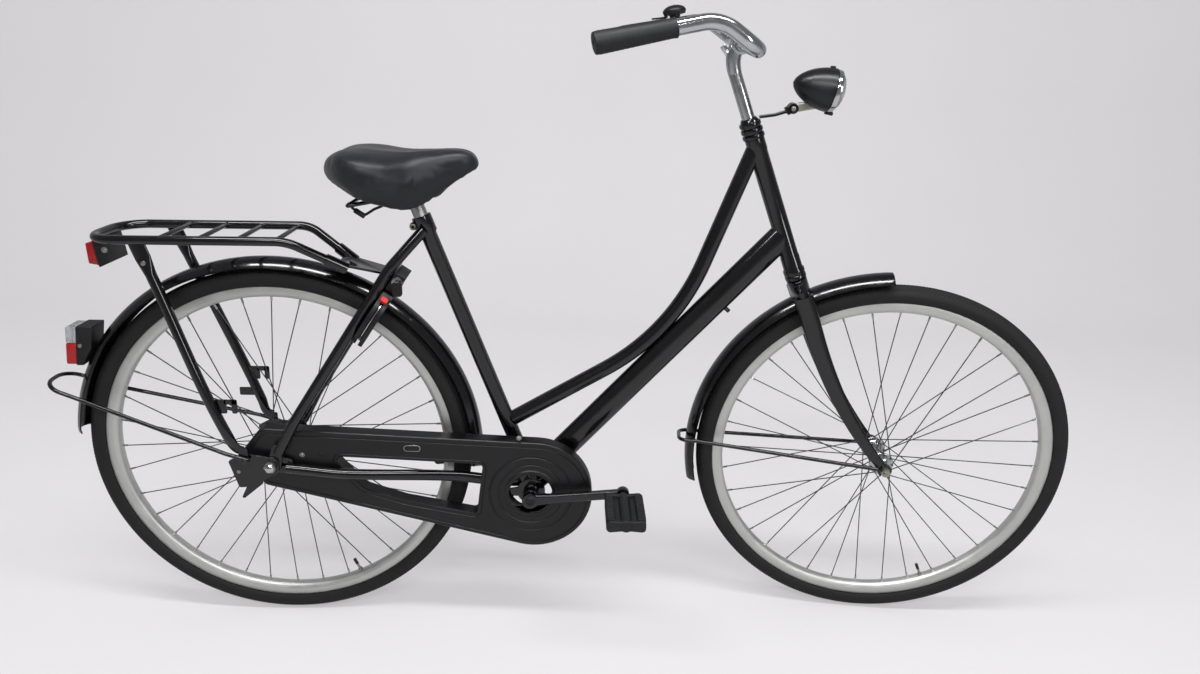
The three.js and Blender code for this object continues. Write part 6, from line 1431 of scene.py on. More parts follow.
# %% Guard stays
REAR_ROD = Sizes(
    radius=3.6, foot=(-36.0, 15.0), bend=(-74.0, 27.0), back=(-333.0, 107.0), end=(-398.0, 134.0),
    foot_y=78.3, back_y=37.0,
)
FRONT_ROD = Sizes(
    radius=3.6, foot=(-14.0, 5.0), back=(-348.0, 22.0), end=-384.0, foot_y=60.5, back_y=31.1, far_drop=12.0,
)
half = [
    stay(REAR_ROD.foot[0], -REAR_ROD.foot_y, REAR_ROD.foot[1]),
    stay(REAR_ROD.bend[0], -REAR_ROD.foot_y, REAR_ROD.bend[1]),
    stay(REAR_ROD.back[0], -REAR_ROD.back_y, REAR_ROD.back[1]),
    stay(REAR_ROD.end[0], -REAR_ROD.back_y, REAR_ROD.end[1]),
]
hoop = REAR_ROD.back_y - 5.0
rear_wire = tube(half + mirrored(half), [hoop] * 6, REAR_ROD.radius, 16)
piece("rear_guard_wire", rear_wire, paint, "frame", "rear_mudguard_stay")
half = [
    at(WHEELBASE + FRONT_ROD.foot[0], -FRONT_ROD.foot_y, TYRE_RADIUS + FRONT_ROD.foot[1]),
    at(WHEELBASE + FRONT_ROD.back[0], -FRONT_ROD.back_y, TYRE_RADIUS + FRONT_ROD.back[1]),
    at(WHEELBASE + FRONT_ROD.end, -FRONT_ROD.back_y, TYRE_RADIUS + FRONT_ROD.back[1]),
]
turnback = (FRONT_ROD.back[0] - FRONT_ROD.end) / 2
far = [p - UP * FRONT_ROD.far_drop for p in mirrored(half)]
front_wire = tube(half + far, [turnback] * 4, FRONT_ROD.radius, 16)
piece("front_guard_wire", front_wire, paint, "steering", "front_mudguard_stay", True)
print("guards ready")

# %% [markdown]
# ## Carrier
# A bent hoop of tube with thin cross bars, held by two flattened legs and a bracket on the stay
# bridge. The reflector's box hangs from the rear end, and the strap hooks sit on the legs.

# %% Hoop and bars
CARRIER = Sizes(
    radius=7.7, height=760.3, half=62.7, bend=57.0, back=-269.5, corner=46.0, drop=4.0,
    neck=(133.0, 32.0, 713.0), neck_bend=60.0, bar=4.0, first=-150.0, pitch=62.7, bars=4,
)


def carrier_points(side):
    """Neck at the stays, bend, and back corner on one side."""
    return [
        at(CARRIER.neck[0], side * CARRIER.neck[1], CARRIER.neck[2]),
        at(CARRIER.bend, side * CARRIER.half, CARRIER.height),
        at(CARRIER.back, side * CARRIER.half, CARRIER.height - CARRIER.drop),
    ]


corners = [CARRIER.neck_bend, CARRIER.corner, CARRIER.corner, CARRIER.neck_bend]
hoop_skin = tube(carrier_points(-1) + carrier_points(1)[::-1], corners, CARRIER.radius, 32)
bar_x = CARRIER.first + CARRIER.pitch * np.arange(CARRIER.bars)
bars = [
    rod(at(x, -CARRIER.half, CARRIER.height), at(x, CARRIER.half, CARRIER.height), CARRIER.bar, count=20)
    for x in bar_x
]
piece("carrier_hoop", [hoop_skin, *bars], paint, "frame", "carrier")
dressed("carrier_bracket", paint, "frame", 0.8, 50.0)

# %% Legs
LEG = Sizes(
    radius=8.7, top=(-186.0, 64.0), foot=(-46.0, 15.0), foot_y=73.4, knee=(-67.0, 62.0), knee_y=77.8,
    flat=(1.4, 9.0), top_flat=(4.0, 13.0), flat_z=36.0, reach=30.0,
)
HOOK = Sizes(out=40.0, high=26.0, thick=3.0, wall=9.0, mouth=9.0, height=118.0, clip=(78.0, 34.0, 16.0))


def leg_rows(side):
    """Flat foot, round middle and pinched top, as stations of an oval tube."""
    knee = stay(LEG.knee[0], side * LEG.knee_y, LEG.knee[1])
    top = at(LEG.top[0], side * LEG.top[1], CARRIER.height - 4.0)
    up = unit(top - knee)
    return knee, top, [
        (stay(LEG.foot[0], side * LEG.foot_y, LEG.foot[1] + 16.0), *LEG.flat),
        (stay((LEG.foot[0] + LEG.knee[0]) / 2, side * LEG.foot_y, LEG.flat_z), *LEG.flat),
        (knee, LEG.radius, LEG.radius), (top - up * 2 * LEG.reach, LEG.radius, LEG.radius),
        (top - up * LEG.reach, *LEG.top_flat), (top - up * 2.0, *LEG.top_flat),
    ]


def hook_skins(knee, top, height, out, high, way, notched):
    """A stamped hook: a bar on the leg and two fingers round the strap's mouth."""
    centre = knee + (top - knee) * (TYRE_RADIUS + height - knee[2]) / (top[2] - knee[2])
    y = (centre[1] - HOOK.thick / 2, centre[1] + HOOK.thick / 2)
    low, tall = centre[2] - high / 2, centre[2] + high / 2

    def part(x0, z0, x1, z1, radius):
        a, b = sorted((centre[0] + way * x0, centre[0] + way * x1))
        return slab(box(a, b, z0, z1, radius), *y, 0.5)

    if not notched:
        return [part(0, low, out, tall, 2.0)]
    mouth = out - HOOK.wall
    return [
        part(0, low, mouth - HOOK.mouth, tall, 2.0), part(mouth, low, out, tall, 3.0),
        part(mouth - HOOK.mouth - 4.0, tall - HOOK.wall, out, tall, 3.0),
    ]


for name, side in SIDES:
    knee, top, rows = leg_rows(side)
    skins = [oval(rows, smooth=16)] + hook_skins(knee, top, HOOK.height, HOOK.out, HOOK.high, 1, True)
    foot = rows[0][0]
    flat_foot = [
        [foot[0] - 9.0, foot[2] - 25.0, 4.0], [foot[0] + 9.0, foot[2] - 25.0, 4.0],
        [foot[0] + 8.0, foot[2] + 4.0, 3.0], [foot[0] - 8.0, foot[2] + 4.0, 3.0],
    ]
    skins.append(slab(flat_foot, side * (LEG.foot_y - 1.2), side * (LEG.foot_y + 1.4), 0.5))
    if side > 0:
        skins += hook_skins(knee, top, *HOOK.clip, -1, False)
    piece("carrier_" + name + "_leg_pinched", skins, paint, "frame", "carrier_" + name + "_leg")
    bolt = top - unit(top - knee) * 38.0
    piece("carrier_" + name + "_leg_bolt", pin(bolt, SIDEWAYS * side, 2.0, 8.0, 4.2, edge=1.2), zinc, "frame")
print("carrier ready")

# %% [markdown]
# ## Lights at the back
# The rear lamp is a black housing on the guard with a clear upper window and a red lower lens. The
# reflector is red acrylic in a black frame; both lenses are closed slabs with rounded edges.

# %% Screws
def screw_skins(place, way, radius=4.2, high=2.4):
    """A domed screw head with a washer: radius falls as a quarter circle over its height."""
    lean = np.linspace(0, np.pi / 2 - 0.05, 6)
    head = (
        [[radius * 1.45, 0.0], [radius * 1.45, 0.7], [radius, 0.8]]
        + [[radius * math.cos(a), 0.8 + high * math.sin(a)] for a in lean]
    )
    return turned(head, place, way, 24)


# %% Rear lamp
LIGHT = Sizes(
    half=20.0, split_top=-334.0, back_top=-353.0, top=240.0, split_low=-343.0, back_low=-361.0, low=167.0,
    inset=1.5,
)
top, low = TYRE_RADIUS + LIGHT.top, TYRE_RADIUS + LIGHT.low
dressed("rear_light_housing", black_plastic, "frame", 1.6, 30.0)


def across_x(x_top, x_low, share):
    """The x on a slanted side at a share of its height."""
    return x_low + (x_top - x_low) * share


def lamp_window(low_share, high_share):
    """One window of the lens, between two shares of the lamp's height."""
    z0, z1 = low + (top - low) * low_share, low + (top - low) * high_share
    return slab([
        [across_x(LIGHT.back_top, LIGHT.back_low, low_share), z0, 3.0],
        [across_x(LIGHT.split_top, LIGHT.split_low, low_share) - GAP, z0, 1.0],
        [across_x(LIGHT.split_top, LIGHT.split_low, high_share) - GAP, z1, 1.0],
        [across_x(LIGHT.back_top, LIGHT.back_low, high_share), z1, 3.0],
    ], -LIGHT.half + LIGHT.inset, LIGHT.half - LIGHT.inset, 2.0)


SPLIT = 0.56
piece("rear_light_red_lens", lamp_window(0.02, SPLIT), red_lens, "frame", "rear_light_lens")
piece("rear_light_clear_lens", lamp_window(SPLIT + 0.005, 0.98), clear_lens, "frame")
screw_place = at(-331.0, -LIGHT.half, 553.0)
piece(
    "rear_light_screw", rod(screw_place + SIDEWAYS, screw_place - SIDEWAYS * 1.8, 3.6, edge=0.9), zinc,
    "frame",
)

# %% Reflector
REFLECTOR = Sizes(
    half=42.0, top=(-266.0, 400.0), low=(-260.0, 355.5), thick=3.5, back_top=(-282.0, 395.5),
    back_low=(-281.0, 360.5), inset=2.0,
)
z = TYRE_RADIUS
thick = REFLECTOR.thick
plate_corners = [
    [REFLECTOR.low[0] - thick, z + REFLECTOR.low[1], 1.0], [REFLECTOR.low[0], z + REFLECTOR.low[1], 1.0],
    [REFLECTOR.top[0], z + REFLECTOR.top[1], 1.0], [REFLECTOR.top[0] - thick, z + REFLECTOR.top[1], 1.0],
]
piece(
    "reflector_plate", slab(plate_corners, -REFLECTOR.half, REFLECTOR.half, 0.8), black_plastic, "frame",
    "reflector_bracket",
)
lens_corners = [
    [REFLECTOR.back_low[0], z + REFLECTOR.back_low[1], 2.5],
    [REFLECTOR.low[0] - thick - GAP, z + REFLECTOR.low[1] + REFLECTOR.inset, 1.0],
    [REFLECTOR.top[0] - thick - GAP, z + REFLECTOR.top[1] - REFLECTOR.inset, 1.0],
    [REFLECTOR.back_top[0], z + REFLECTOR.back_top[1], 2.5],
]
lens_half = REFLECTOR.half - REFLECTOR.inset
piece(
    "reflector_red_lens", slab(lens_corners, -lens_half, lens_half, 2.0), red_lens, "frame", "rear_reflector",
)
piece("reflector_bolt", screw_skins(at(-250.0, -REFLECTOR.half, 734.0), -SIDEWAYS, 3.6, 2.0), zinc, "frame")
print("lights ready")

# %% [markdown]
# ## Chaincase
# The case is one moulded shell: a flat face with a groove inside its edge and another round the cranks,
# a wall that turns in from it, and a back. Its face has holes, so the flat parts between the outlines are
# filled by tessellation, the outlines themselves are carried inward as rows, and Solidify gives the wall.

# %% Case outlines
CASE = Sizes(
    outer=57.5, inner=31.5, wall=1.5, rear_top=(-20.0, 66.5, 22.0), rear_back=(-57.0, 19.5, 9.0),
    rear_low=(-21.0, -46.5, 16.0), front_low=(114.0, -143.0, 107.0), front_top=(114.0, 99.0, 107.0),
    slot_rear=(103.0, 12.5, 8.0), slot_knee=(158.0, -52.5, 40.0), slot_low=(232.0, -77.5, 40.0),
    slot_front_low=(-100.0, -43.0, 8.0), slot_front=(-88.0, 60.0, 8.0), crank_hole=40.0, axle_hole=15.0,
    inner_hole=24.0,
)


def from_rear(x, z, radius):
    """A corner of the case by its place from the rear axle."""
    return [x, TYRE_RADIUS + z, radius]


def from_bracket(x, z, radius):
    """A corner of the case by its place from the bracket."""
    return [BRACKET[0] + x, BRACKET[2] + z, radius]


case_outline = [
    from_rear(*CASE.rear_low), from_bracket(*CASE.front_low), from_bracket(*CASE.front_top),
    from_rear(*CASE.rear_top), from_rear(*CASE.rear_back),
]
case_slot = [
    from_rear(*CASE.slot_rear), from_rear(*CASE.slot_knee), from_rear(*CASE.slot_low),
    from_bracket(*CASE.slot_front_low), from_bracket(*CASE.slot_front),
]


def ring_rows(centre, rows, count=96):
    """Rings of a radius and a place to the side round a centre."""
    return np.array([standing(ring(radius, count) + [centre[0], centre[2]], y) for radius, y in rows])


def filled(rings):
    """Triangles between a first outline and the holes that follow it, all at one place to the side."""
    loops = [[Vector((p[0], p[2], 0.0)) for p in loop] for loop in rings]
    return np.concatenate(rings), [list(face) for face in tessellate_polygon(loops)]


face_y, back_y = -CASE.outer, -CASE.inner
edge_rows = [
    (0.6, back_y), (0.0, back_y - 0.6), (0.0, face_y + 4.0), (0.35, face_y + 2.0), (1.3, face_y + 0.8),
    (3.0, face_y), (8.0, face_y), (8.7, face_y + 1.1), (10.2, face_y + 1.1), (10.9, face_y), (11.6, face_y),
]
slot_rows = [
    (0.0, back_y), (0.0, face_y + 2.0), (-0.6, face_y + 0.7), (-2.0, face_y), (-6.0, face_y),
    (-6.6, face_y + 0.9), (-7.8, face_y + 0.9), (-8.4, face_y),
]
crank_rows = [
    (40.0, face_y + 3.0), (40.0, face_y - 0.6), (40.6, face_y - 1.5), (43.0, face_y - 1.9),
    (47.0, face_y - 1.7), (49.0, face_y), (58.0, face_y), (58.8, face_y + 0.7), (60.2, face_y + 0.7),
    (61.0, face_y), (74.0, face_y), (75.0, face_y + 1.1), (77.0, face_y + 1.1), (78.0, face_y),
]
edge_grid = np.array([standing(rounded(case_outline, inset), y) for inset, y in edge_rows])
slot_grid = np.array([standing(rounded(case_slot, inset), y) for inset, y in slot_rows])
crank_grid = ring_rows(BRACKET, crank_rows, 120)
axle_grid = ring_rows(
    REAR_AXLE,
    [(CASE.axle_hole, face_y + 2.0), (CASE.axle_hole, face_y + 0.6), (CASE.axle_hole + 0.8, face_y)], 48,
)
back_crank = ring_rows(BRACKET, [(CASE.crank_hole, back_y)], 120)
back_axle = ring_rows(REAR_AXLE, [(CASE.inner_hole, back_y)], 48)
case_skins = [
    net(edge_grid, caps=False), net(slot_grid, caps=False), net(crank_grid, caps=False),
    net(axle_grid, caps=False), filled([edge_grid[-1], slot_grid[-1], crank_grid[-1], axle_grid[-1]]),
    filled([edge_grid[0], slot_grid[0], back_crank[0], back_axle[0]]),
]
case = piece("chaincase_moulded", case_skins, case_plastic, "frame", "chaincase", False, 60.0)
work = bmesh.new()
work.from_mesh(case.data)
bmesh.ops.remove_doubles(work, verts=work.verts, dist=0.01 * MM)
bmesh.ops.recalc_face_normals(work, faces=work.faces)
work.to_mesh(case.data)
work.free()
creased(case.data, 24.0)
wall = case.modifiers.new("wall", "SOLIDIFY")
wall.thickness = CASE.wall * MM
wall.offset = -1.0
print("case", len(case.data.polygons), "faces")

# %% Case screws and blank badge
BADGE = Sizes(x=248.0, z=31.0, half=15.0, radius=6.0)
for name, inset, rise, material in (("rim", 0.0, 0.6, cast_alloy), ("field", 0.9, 0.8, case_plastic)):
    z, r = TYRE_RADIUS + BADGE.z, BADGE.radius
    low, high = z - r + inset, z + r - inset
    pill = box(BADGE.x - BADGE.half + inset, BADGE.x + BADGE.half - inset, low, high, r - GAP - inset)
    piece("case_badge_" + name, slab(pill, face_y + 0.8, face_y - rise, 0.25), material, "frame")


for x, z, material in ((51.0, 364.0, zinc), (84.0, 367.0, black_plastic), (46.0, 329.0, black_plastic),
                       (78.0, 321.0, black_plastic), (441.0, 403.0, zinc)):
    piece("case_screw_%d" % x, screw_skins(at(x, face_y + 0.2, z), -SIDEWAYS, 3.2, 1.6), material, "frame")
print("case trimmed")

# %% [markdown]
# ## Cranks, ring and pedals
# A crank is forged: thick at the boss, slim along the arm, round at the eye. The ring's teeth are a
# cosine wave on its radius. Each pedal is a steel-cored block with two ribbed rubber treads.

# %% Cranks
RING = Sizes(teeth=44, thick=3.0, rim=10.0, arm=16.0, arms=5, hub=26.0, hub_thick=6.0, pitch=12.7, depth=6.0)
CRANK = Sizes(
    boss=15.0, boss_from=42.0, inner=71.0, outer=84.0, eye=12.0, half=13.0, neck=9.0, chainline=45.0,
)
PEDAL_AXLE = Sizes(radius=5.0, out=180.0, collar=8.0, collar_end=91.6)
SPINDLE = Sizes(half=80.0, radius=8.0)
crank_way = slope(CRANK_TURN)
squarish = ring(1, 36) * np.minimum(1.22, 1 / np.abs(ring(1, 36)).max(1))[:, None]


def crank_skins(side):
    """Arm, boss, eye and pedal axle; the far crank points the other way."""
    way = -side * crank_way
    eye = BRACKET + way * CRANK_LENGTH
    middle = side * (CRANK.inner + CRANK.outer) / 2
    share = np.linspace(0, 1, 30)[:, None]
    path = BRACKET + SIDEWAYS * middle + way * CRANK_LENGTH * share
    high = CRANK.neck + (CRANK.half - CRANK.neck) * np.maximum(0, 1 - share / 0.3) ** 1.5
    deep = (CRANK.outer - CRANK.inner) / 2 - 0.8 * np.sin(share * np.pi)
    arm = carried(
        path, squarish[None] * np.concatenate([deep, high], 1)[:, None] * at(1 / 1.1, 1 / 1.1, 0)[:2],
    )

    def reach(point, near, far, radius, edge=0.8, count=40):
        return pin(point, SIDEWAYS * side, near, far, radius, edge=edge, count=count)

    return [
        arm, reach(BRACKET, CRANK.inner - 5.0, CRANK.outer, CRANK.boss, 1.2),
        reach(eye, CRANK.inner, CRANK.outer, CRANK.eye, 1.2),
        reach(eye, CRANK.inner, PEDAL_AXLE.out, PEDAL_AXLE.radius),
        reach(eye, CRANK.outer - 1.0, PEDAL_AXLE.collar_end, PEDAL_AXLE.collar, 0.8, 6),
    ]


def chainring_skins():
    """Angle round the ring: the outer radius is a cosine wave with one tooth each turn of the wave."""
    pitch_radius = RING.pitch / (2 * math.sin(math.pi / RING.teeth))
    tip = pitch_radius - 4.0 - GAP
    angle = np.linspace(0, 2 * np.pi, RING.teeth * 10, endpoint=False)
    wave = tip - RING.depth * 0.5 * (0.5 - 0.5 * np.cos(RING.teeth * angle))
    inner = tip - RING.depth / 2 - RING.rim
    y0, y1 = -CRANK.chainline + RING.thick / 2, -CRANK.chainline - RING.thick / 2

    def circle(radius, y):
        x, z = BRACKET[0] + radius * np.cos(angle), BRACKET[2] + radius * np.sin(angle)
        return np.stack([x, np.full_like(angle, y), z], -1)

    full = np.full_like(angle, inner)
    skins = [net(
        np.array([circle(wave, y0), circle(wave, y1), circle(full, y1), circle(full, y0)]), wrap_rows=True,
    )]
    for k in range(RING.arms):
        turn_angle = CRANK_TURN + (k + 0.5) * 2 * math.pi / RING.arms
        way = slope(turn_angle)
        path = BRACKET - SIDEWAYS * CRANK.chainline + way * np.linspace(RING.hub - 6, inner + 4, 12)[:, None]
        width = RING.arm / 2 * (1 + 0.25 * np.linspace(1, -1, 12) ** 2)
        skins.append(carried(path, squarish[None] * np.stack([np.full(12, 1.4), width], -1)[:, None]))
    skins.append(pin(
        BRACKET, SIDEWAYS, -CRANK.boss_from, -(CRANK.boss_from + RING.hub_thick), RING.hub, edge=1.0,
        count=56,
    ))
    skins.append(pin(BRACKET, SIDEWAYS, -CRANK.boss_from, -(CRANK.inner - 3.0), CRANK.boss, count=48))
    return skins


piece("right_crank_forged", crank_skins(-1) + chainring_skins(), paint, "cranks", "right_crank")
piece("left_crank_forged", crank_skins(1), paint, "cranks", "left_crank")
piece(
    "crank_spindle_turned", pin(BRACKET, SIDEWAYS, -SPINDLE.half, SPINDLE.half, SPINDLE.radius, edge=1.0),
    dull_steel, "cranks", "crank_spindle",
)
for side in (-1, 1):
    face = BRACKET + SIDEWAYS * side * (CRANK.outer - 0.2)
    cap = [[9.0, 0.0], [9.0, 1.4], [8.2, 2.2], [5.2, 2.4], [5.0, 1.2], [0.3, 1.2]]
    piece(
        "crank_dust_cap_%s" % ("right" if side < 0 else "left"), turned(cap, face, SIDEWAYS * side, 36),
        black_plastic, "cranks",
    )

# %% Pedals
PEDAL = Sizes(
    inner=92.0, outer=184.0, length=68.0, thick=26.0, core=11.0, bore=6.2, bar=15.0, bar_inset=6.0,
    end=8.0, waist=9.0, web=6.0, web_inset=5.0, ribs=11, rib_from=13.0, rib_half=1.6, rib_high=1.2,
)


def pedal_skins(side):
    """End plates, core barrel and two tread bars; ribs stand across each bar at an even pitch."""
    centre = BRACKET - side * crank_way * CRANK_LENGTH
    half, tall = PEDAL.length / 2, PEDAL.thick / 2
    x, z = centre[0], centre[2]
    near, far = side * PEDAL.inner, side * PEDAL.outer
    wide = PEDAL.outer - PEDAL.inner
    outline = [
        [x - half, z - tall + 1.5, 7.0], [x - PEDAL.waist, z - tall + 4.0, 6.0],
        [x + PEDAL.waist, z - tall + 4.0, 6.0], [x + half, z - tall + 1.5, 7.0],
        [x + half, z + tall - 1.5, 7.0], [x + PEDAL.waist, z + tall - 4.0, 6.0],
        [x - PEDAL.waist, z + tall - 4.0, 6.0], [x - half, z + tall - 1.5, 7.0],
    ]
    skins = [
        slab(outline, near, near + side * PEDAL.end, 1.2), slab(outline, far - side * PEDAL.end, far, 1.2),
    ]
    bore = [
        [PEDAL.bore, 0], [PEDAL.core - 1, 0], [PEDAL.core, 1], [PEDAL.core, wide - 1],
        [PEDAL.core - 1, wide], [PEDAL.bore, wide],
    ]
    skins.append(turned(bore, at(x, near, z), SIDEWAYS * side, 36, closed=True))
    for way in (-1, 1):
        middle = x + way * (half - PEDAL.bar / 2)
        a, b = middle - PEDAL.bar / 2, middle + PEDAL.bar / 2
        inner, outer = sorted((x + way * (PEDAL.core - 1.5), middle))
        web = box(inner, outer, z - PEDAL.web, z + PEDAL.web, 2.0)
        skins.append(slab(web, near + side * PEDAL.web_inset, far - side * PEDAL.web_inset, 0.8))
        bar = box(a, b, z - tall + PEDAL.rib_high, z + tall - PEDAL.rib_high, 3.5)
        skins.append(slab(bar, near + side * PEDAL.bar_inset, far - side * PEDAL.bar_inset, 0.6))
        rib = box(a - 0.2, b + 0.2, z - tall, z + tall, 3.8)
        for place in np.linspace(PEDAL.inner + PEDAL.rib_from, PEDAL.outer - PEDAL.rib_from, PEDAL.ribs):
            skins.append(slab(rib, side * (place - PEDAL.rib_half), side * (place + PEDAL.rib_half), 0.8))
    return skins


for name, side, body in (("right", -1, "right_pedal_body"), ("left", 1, "left_pedal_body")):
    piece(name + "_pedal_ribbed", pedal_skins(side), grip_rubber, body, name + "_pedal")
    centre = BRACKET - side * crank_way * CRANK_LENGTH
    piece(
        name + "_pedal_cap",
        turned(
            [[9.5, -1.0], [9.5, 0.0], [7.5, 0.3], [0.3, 0.3]], centre + SIDEWAYS * side * PEDAL.outer,
            SIDEWAYS * side, 32,
        ),
        black_plastic, body,
    )
dressed("chain", dull_steel, "frame", 0)
dressed("rear_sprocket", dull_steel, "sprocket", 0)
print("drive ready")

# %% [markdown]
# ## Axles, plates and brake arm
# The axles are steel bars with hexagon nuts; the right rear one ends in a domed cap nut. The plates are
# stamped sheet, so they keep their CAD outline and only get rounded edges.

# %% Axle hardware
def hexagon_nut(near, far, radius, bore):
    """A hexagon nut with a bore: its radius follows six flats and is cut to a circle at both ends."""
    way = unit(far - near)
    length = np.linalg.norm(far - near)
    level = unit(UP - way * (UP @ way))
    across = np.cross(way, level)
    angle = np.linspace(0, 2 * np.pi, 48, endpoint=False)
    flat = radius * math.cos(math.pi / 6) / np.cos((angle + math.pi / 6) % (math.pi / 3) - math.pi / 6)
    round_end = np.minimum(flat, radius * 0.93)
    rows = [(0.0, round_end), (radius * 0.1, flat), (length - radius * 0.1, flat), (length, round_end),
            (length, np.full_like(angle, bore)), (0.0, np.full_like(angle, bore))]
    grid = np.array([
        near + way * run + reach[:, None] * (np.cos(angle)[:, None] * level + np.sin(angle)[:, None] * across)
        for run, reach in rows
    ])
    return outward(*net(grid, wrap_rows=True))


REAR_NUT = Sizes(
    radius=11.0, start=72.0, end=80.0, shaft=5.0, right_half=82.0, left_half=86.0, lock=9.0, lock_start=50.6,
    lock_end=59.7,
)
FRONT_NUT = Sizes(
    radius=9.0, start=57.3, end=65.3, shaft=4.5, right_half=70.0, left_half=70.0, lock=8.0, lock_start=45.4,
    lock_end=51.0,
)
AXLE_CAP = Sizes(radius=8.6, high=6.0)


def axle_skins(nut, axle):
    """The shaft, then an outer hexagon nut and an inner round lock nut on each side."""
    skins = [pin(axle, SIDEWAYS, -nut.right_half, nut.left_half, nut.shaft, edge=0.9)]
    for side in (-1, 1):
        nut_ends = across(axle, side, nut.start), across(axle, side, nut.end)
        skins.append(hexagon_nut(*nut_ends, nut.radius, nut.shaft - 0.4))
        skins.append(pin(axle, SIDEWAYS * side, nut.lock_start, nut.lock_end, nut.lock, edge=0.6))
    return skins


piece("rear_axle_nuts", axle_skins(REAR_NUT, REAR_AXLE), zinc, "frame", "rear_axle")
dome_lean = np.linspace(0, np.pi / 2 - 0.05, 8)
dome = [[AXLE_CAP.radius, -1.0]]
dome += [[AXLE_CAP.radius * math.cos(a), AXLE_CAP.high * math.sin(a)] for a in dome_lean]
piece("rear_axle_cap", turned(dome, across(REAR_AXLE, -1, REAR_NUT.end), -SIDEWAYS, 36), chrome, "frame")
piece("front_axle_nuts", axle_skins(FRONT_NUT, FRONT_AXLE), zinc, "steering", "front_axle", True)

dressed("right_axle_plate", paint, "frame", 0.6)
dressed("left_axle_plate", paint, "frame", 0.6)
dressed("coaster_brake_arm", zinc, "frame", 0.5)
for name, x, y, z, radius, material in (
    ("plate", -58.0, -72.0, 337.0, 2.4, zinc), ("leg", -42.0, -81.0, 362.0, 3.4, paint),
):
    piece("right_%s_bolt" % name, screw_skins(at(x, y, z), -SIDEWAYS, radius, 1.8), material, "frame")
print("axles ready")

# %% [markdown]
# ## Seat post, clamp and rails
# The post is a plain alloy tube. The clamp is a cast drum on a band. The rails are one bent steel wire.

# %% Post, clamp and rails
POST = Sizes(radius=12.5, start=330.0, end=588.0)
RAIL = Sizes(
    radius=3.5, half=22.0, clamp=583.5, back_off=17.0, back=(160.0, -58.0, 822.0), turn=300.0,
    nose=(345.0, -12.0, 882.8),
)
piece(
    "seat_post_tube", rod(on_seat(POST.start), on_seat(POST.end), POST.radius, edge=1.2, count=48),
    post_alloy, "seat", "seat_post",
)
dressed("saddle_clamp", paint, "seat", 0.8, 34.0)
rail_middle = on_seat(RAIL.clamp)
rail_half = [
    at(*RAIL.back), at(rail_middle[0] - RAIL.back_off, -RAIL.half, rail_middle[2]),
    at(RAIL.turn, -RAIL.half, rail_middle[2] + RAIL.radius), at(*RAIL.nose),
]
rail_line = rail_half + mirrored(rail_half)
rail_wire = tube(rail_line, [22.0, 22.0, 9.0, 9.0, 22.0, 22.0], RAIL.radius, 20)
rail_back = rod(rail_half[0], rail_half[0] * MIRROR, RAIL.radius)
clamp_bolt = hexagon_nut(
    at(rail_middle[0], -32.0, rail_middle[2]), at(rail_middle[0], -38.0, rail_middle[2]), 7.0, 3.0,
)
piece("saddle_rail_wire", [rail_wire, rail_back], paint, "seat", "saddle_rails")
piece(
    "saddle_clamp_nut",
    [
        clamp_bolt,
        rod(at(rail_middle[0], -41.0, rail_middle[2]), at(rail_middle[0], 36.0, rail_middle[2]), 3.6),
    ],
    zinc, "seat",
)
print("post ready")

# %% [markdown]
# ## Saddle
# A saddle is foam under a stretched cover. The form is a grid of two parameters, along the saddle and round
# its section, drawn as smooth curves through measured stations. It is remeshed to even small faces and
# blown up a little as cloth that can't move far, so the cover takes the tight rounded look of real padding.

# %% Saddle form
SADDLE = Sizes(
    back=111.0, length=258.0, half=100.0, floor=800.0, height=114.0, pad=30.0, inset=1.2, voxel=4.0,
    swell=2.4, pressure=4.0, frames=20,
)
saddle_shares = np.array([
    [0, 0.18, 0.7, 0.6], [0.03, 0.38, 0.83, 0.54], [0.08, 0.58, 0.92, 0.48], [0.15, 0.8, 0.98, 0.42],
    [0.24, 0.95, 0.99, 0.32], [0.33, 1, 0.98, 0.25], [0.42, 0.92, 0.96, 0.19], [0.5, 0.78, 0.945, 0.13],
    [0.58, 0.62, 0.945, 0.12], [0.66, 0.5, 0.96, 0.19], [0.75, 0.4, 0.975, 0.33], [0.84, 0.34, 0.995, 0.48],
    [0.92, 0.28, 0.985, 0.6], [0.97, 0.2, 0.93, 0.67], [1, 0.1, 0.84, 0.7],
])
section_shares = np.array([
    [-0.72, 0], [-0.93, 0.25], [-1, 0.55], [-0.94, 0.8], [-0.72, 0.95], [-0.4, 1], [0, 0.985],
    [0.4, 1], [0.72, 0.95], [0.94, 0.8], [1, 0.55], [0.93, 0.25], [0.72, 0],
])
under_shares = np.array([[0.6, 0.04], [0.54, 1], [0.3, 1], [-0.3, 1], [-0.54, 1], [-0.6, 0.04]])


def through(points, cuts, closed):
    """Smooth rows through given rows: each stretch is the cubic that keeps its neighbours' slopes."""
    before, after, far = np.roll(points, 1, 0), np.roll(points, -1, 0), np.roll(points, -2, 0)
    if not closed:
        before[0] = 2 * points[0] - points[1]
        far[-2] = 2 * points[-1] - points[-2]
    t = np.arange(cuts)[:, None, None] / cuts
    rows = 0.5 * (2 * points + (after - before) * t + (2 * before - 5 * points + 4 * after - far) * t ** 2
                  + (3 * points - before - 3 * after + far) * t ** 3)
    rows = rows.transpose(1, 0, 2).reshape(-1, points.shape[1])
    return rows if closed else np.concatenate([rows[:-cuts], points[-1:]])


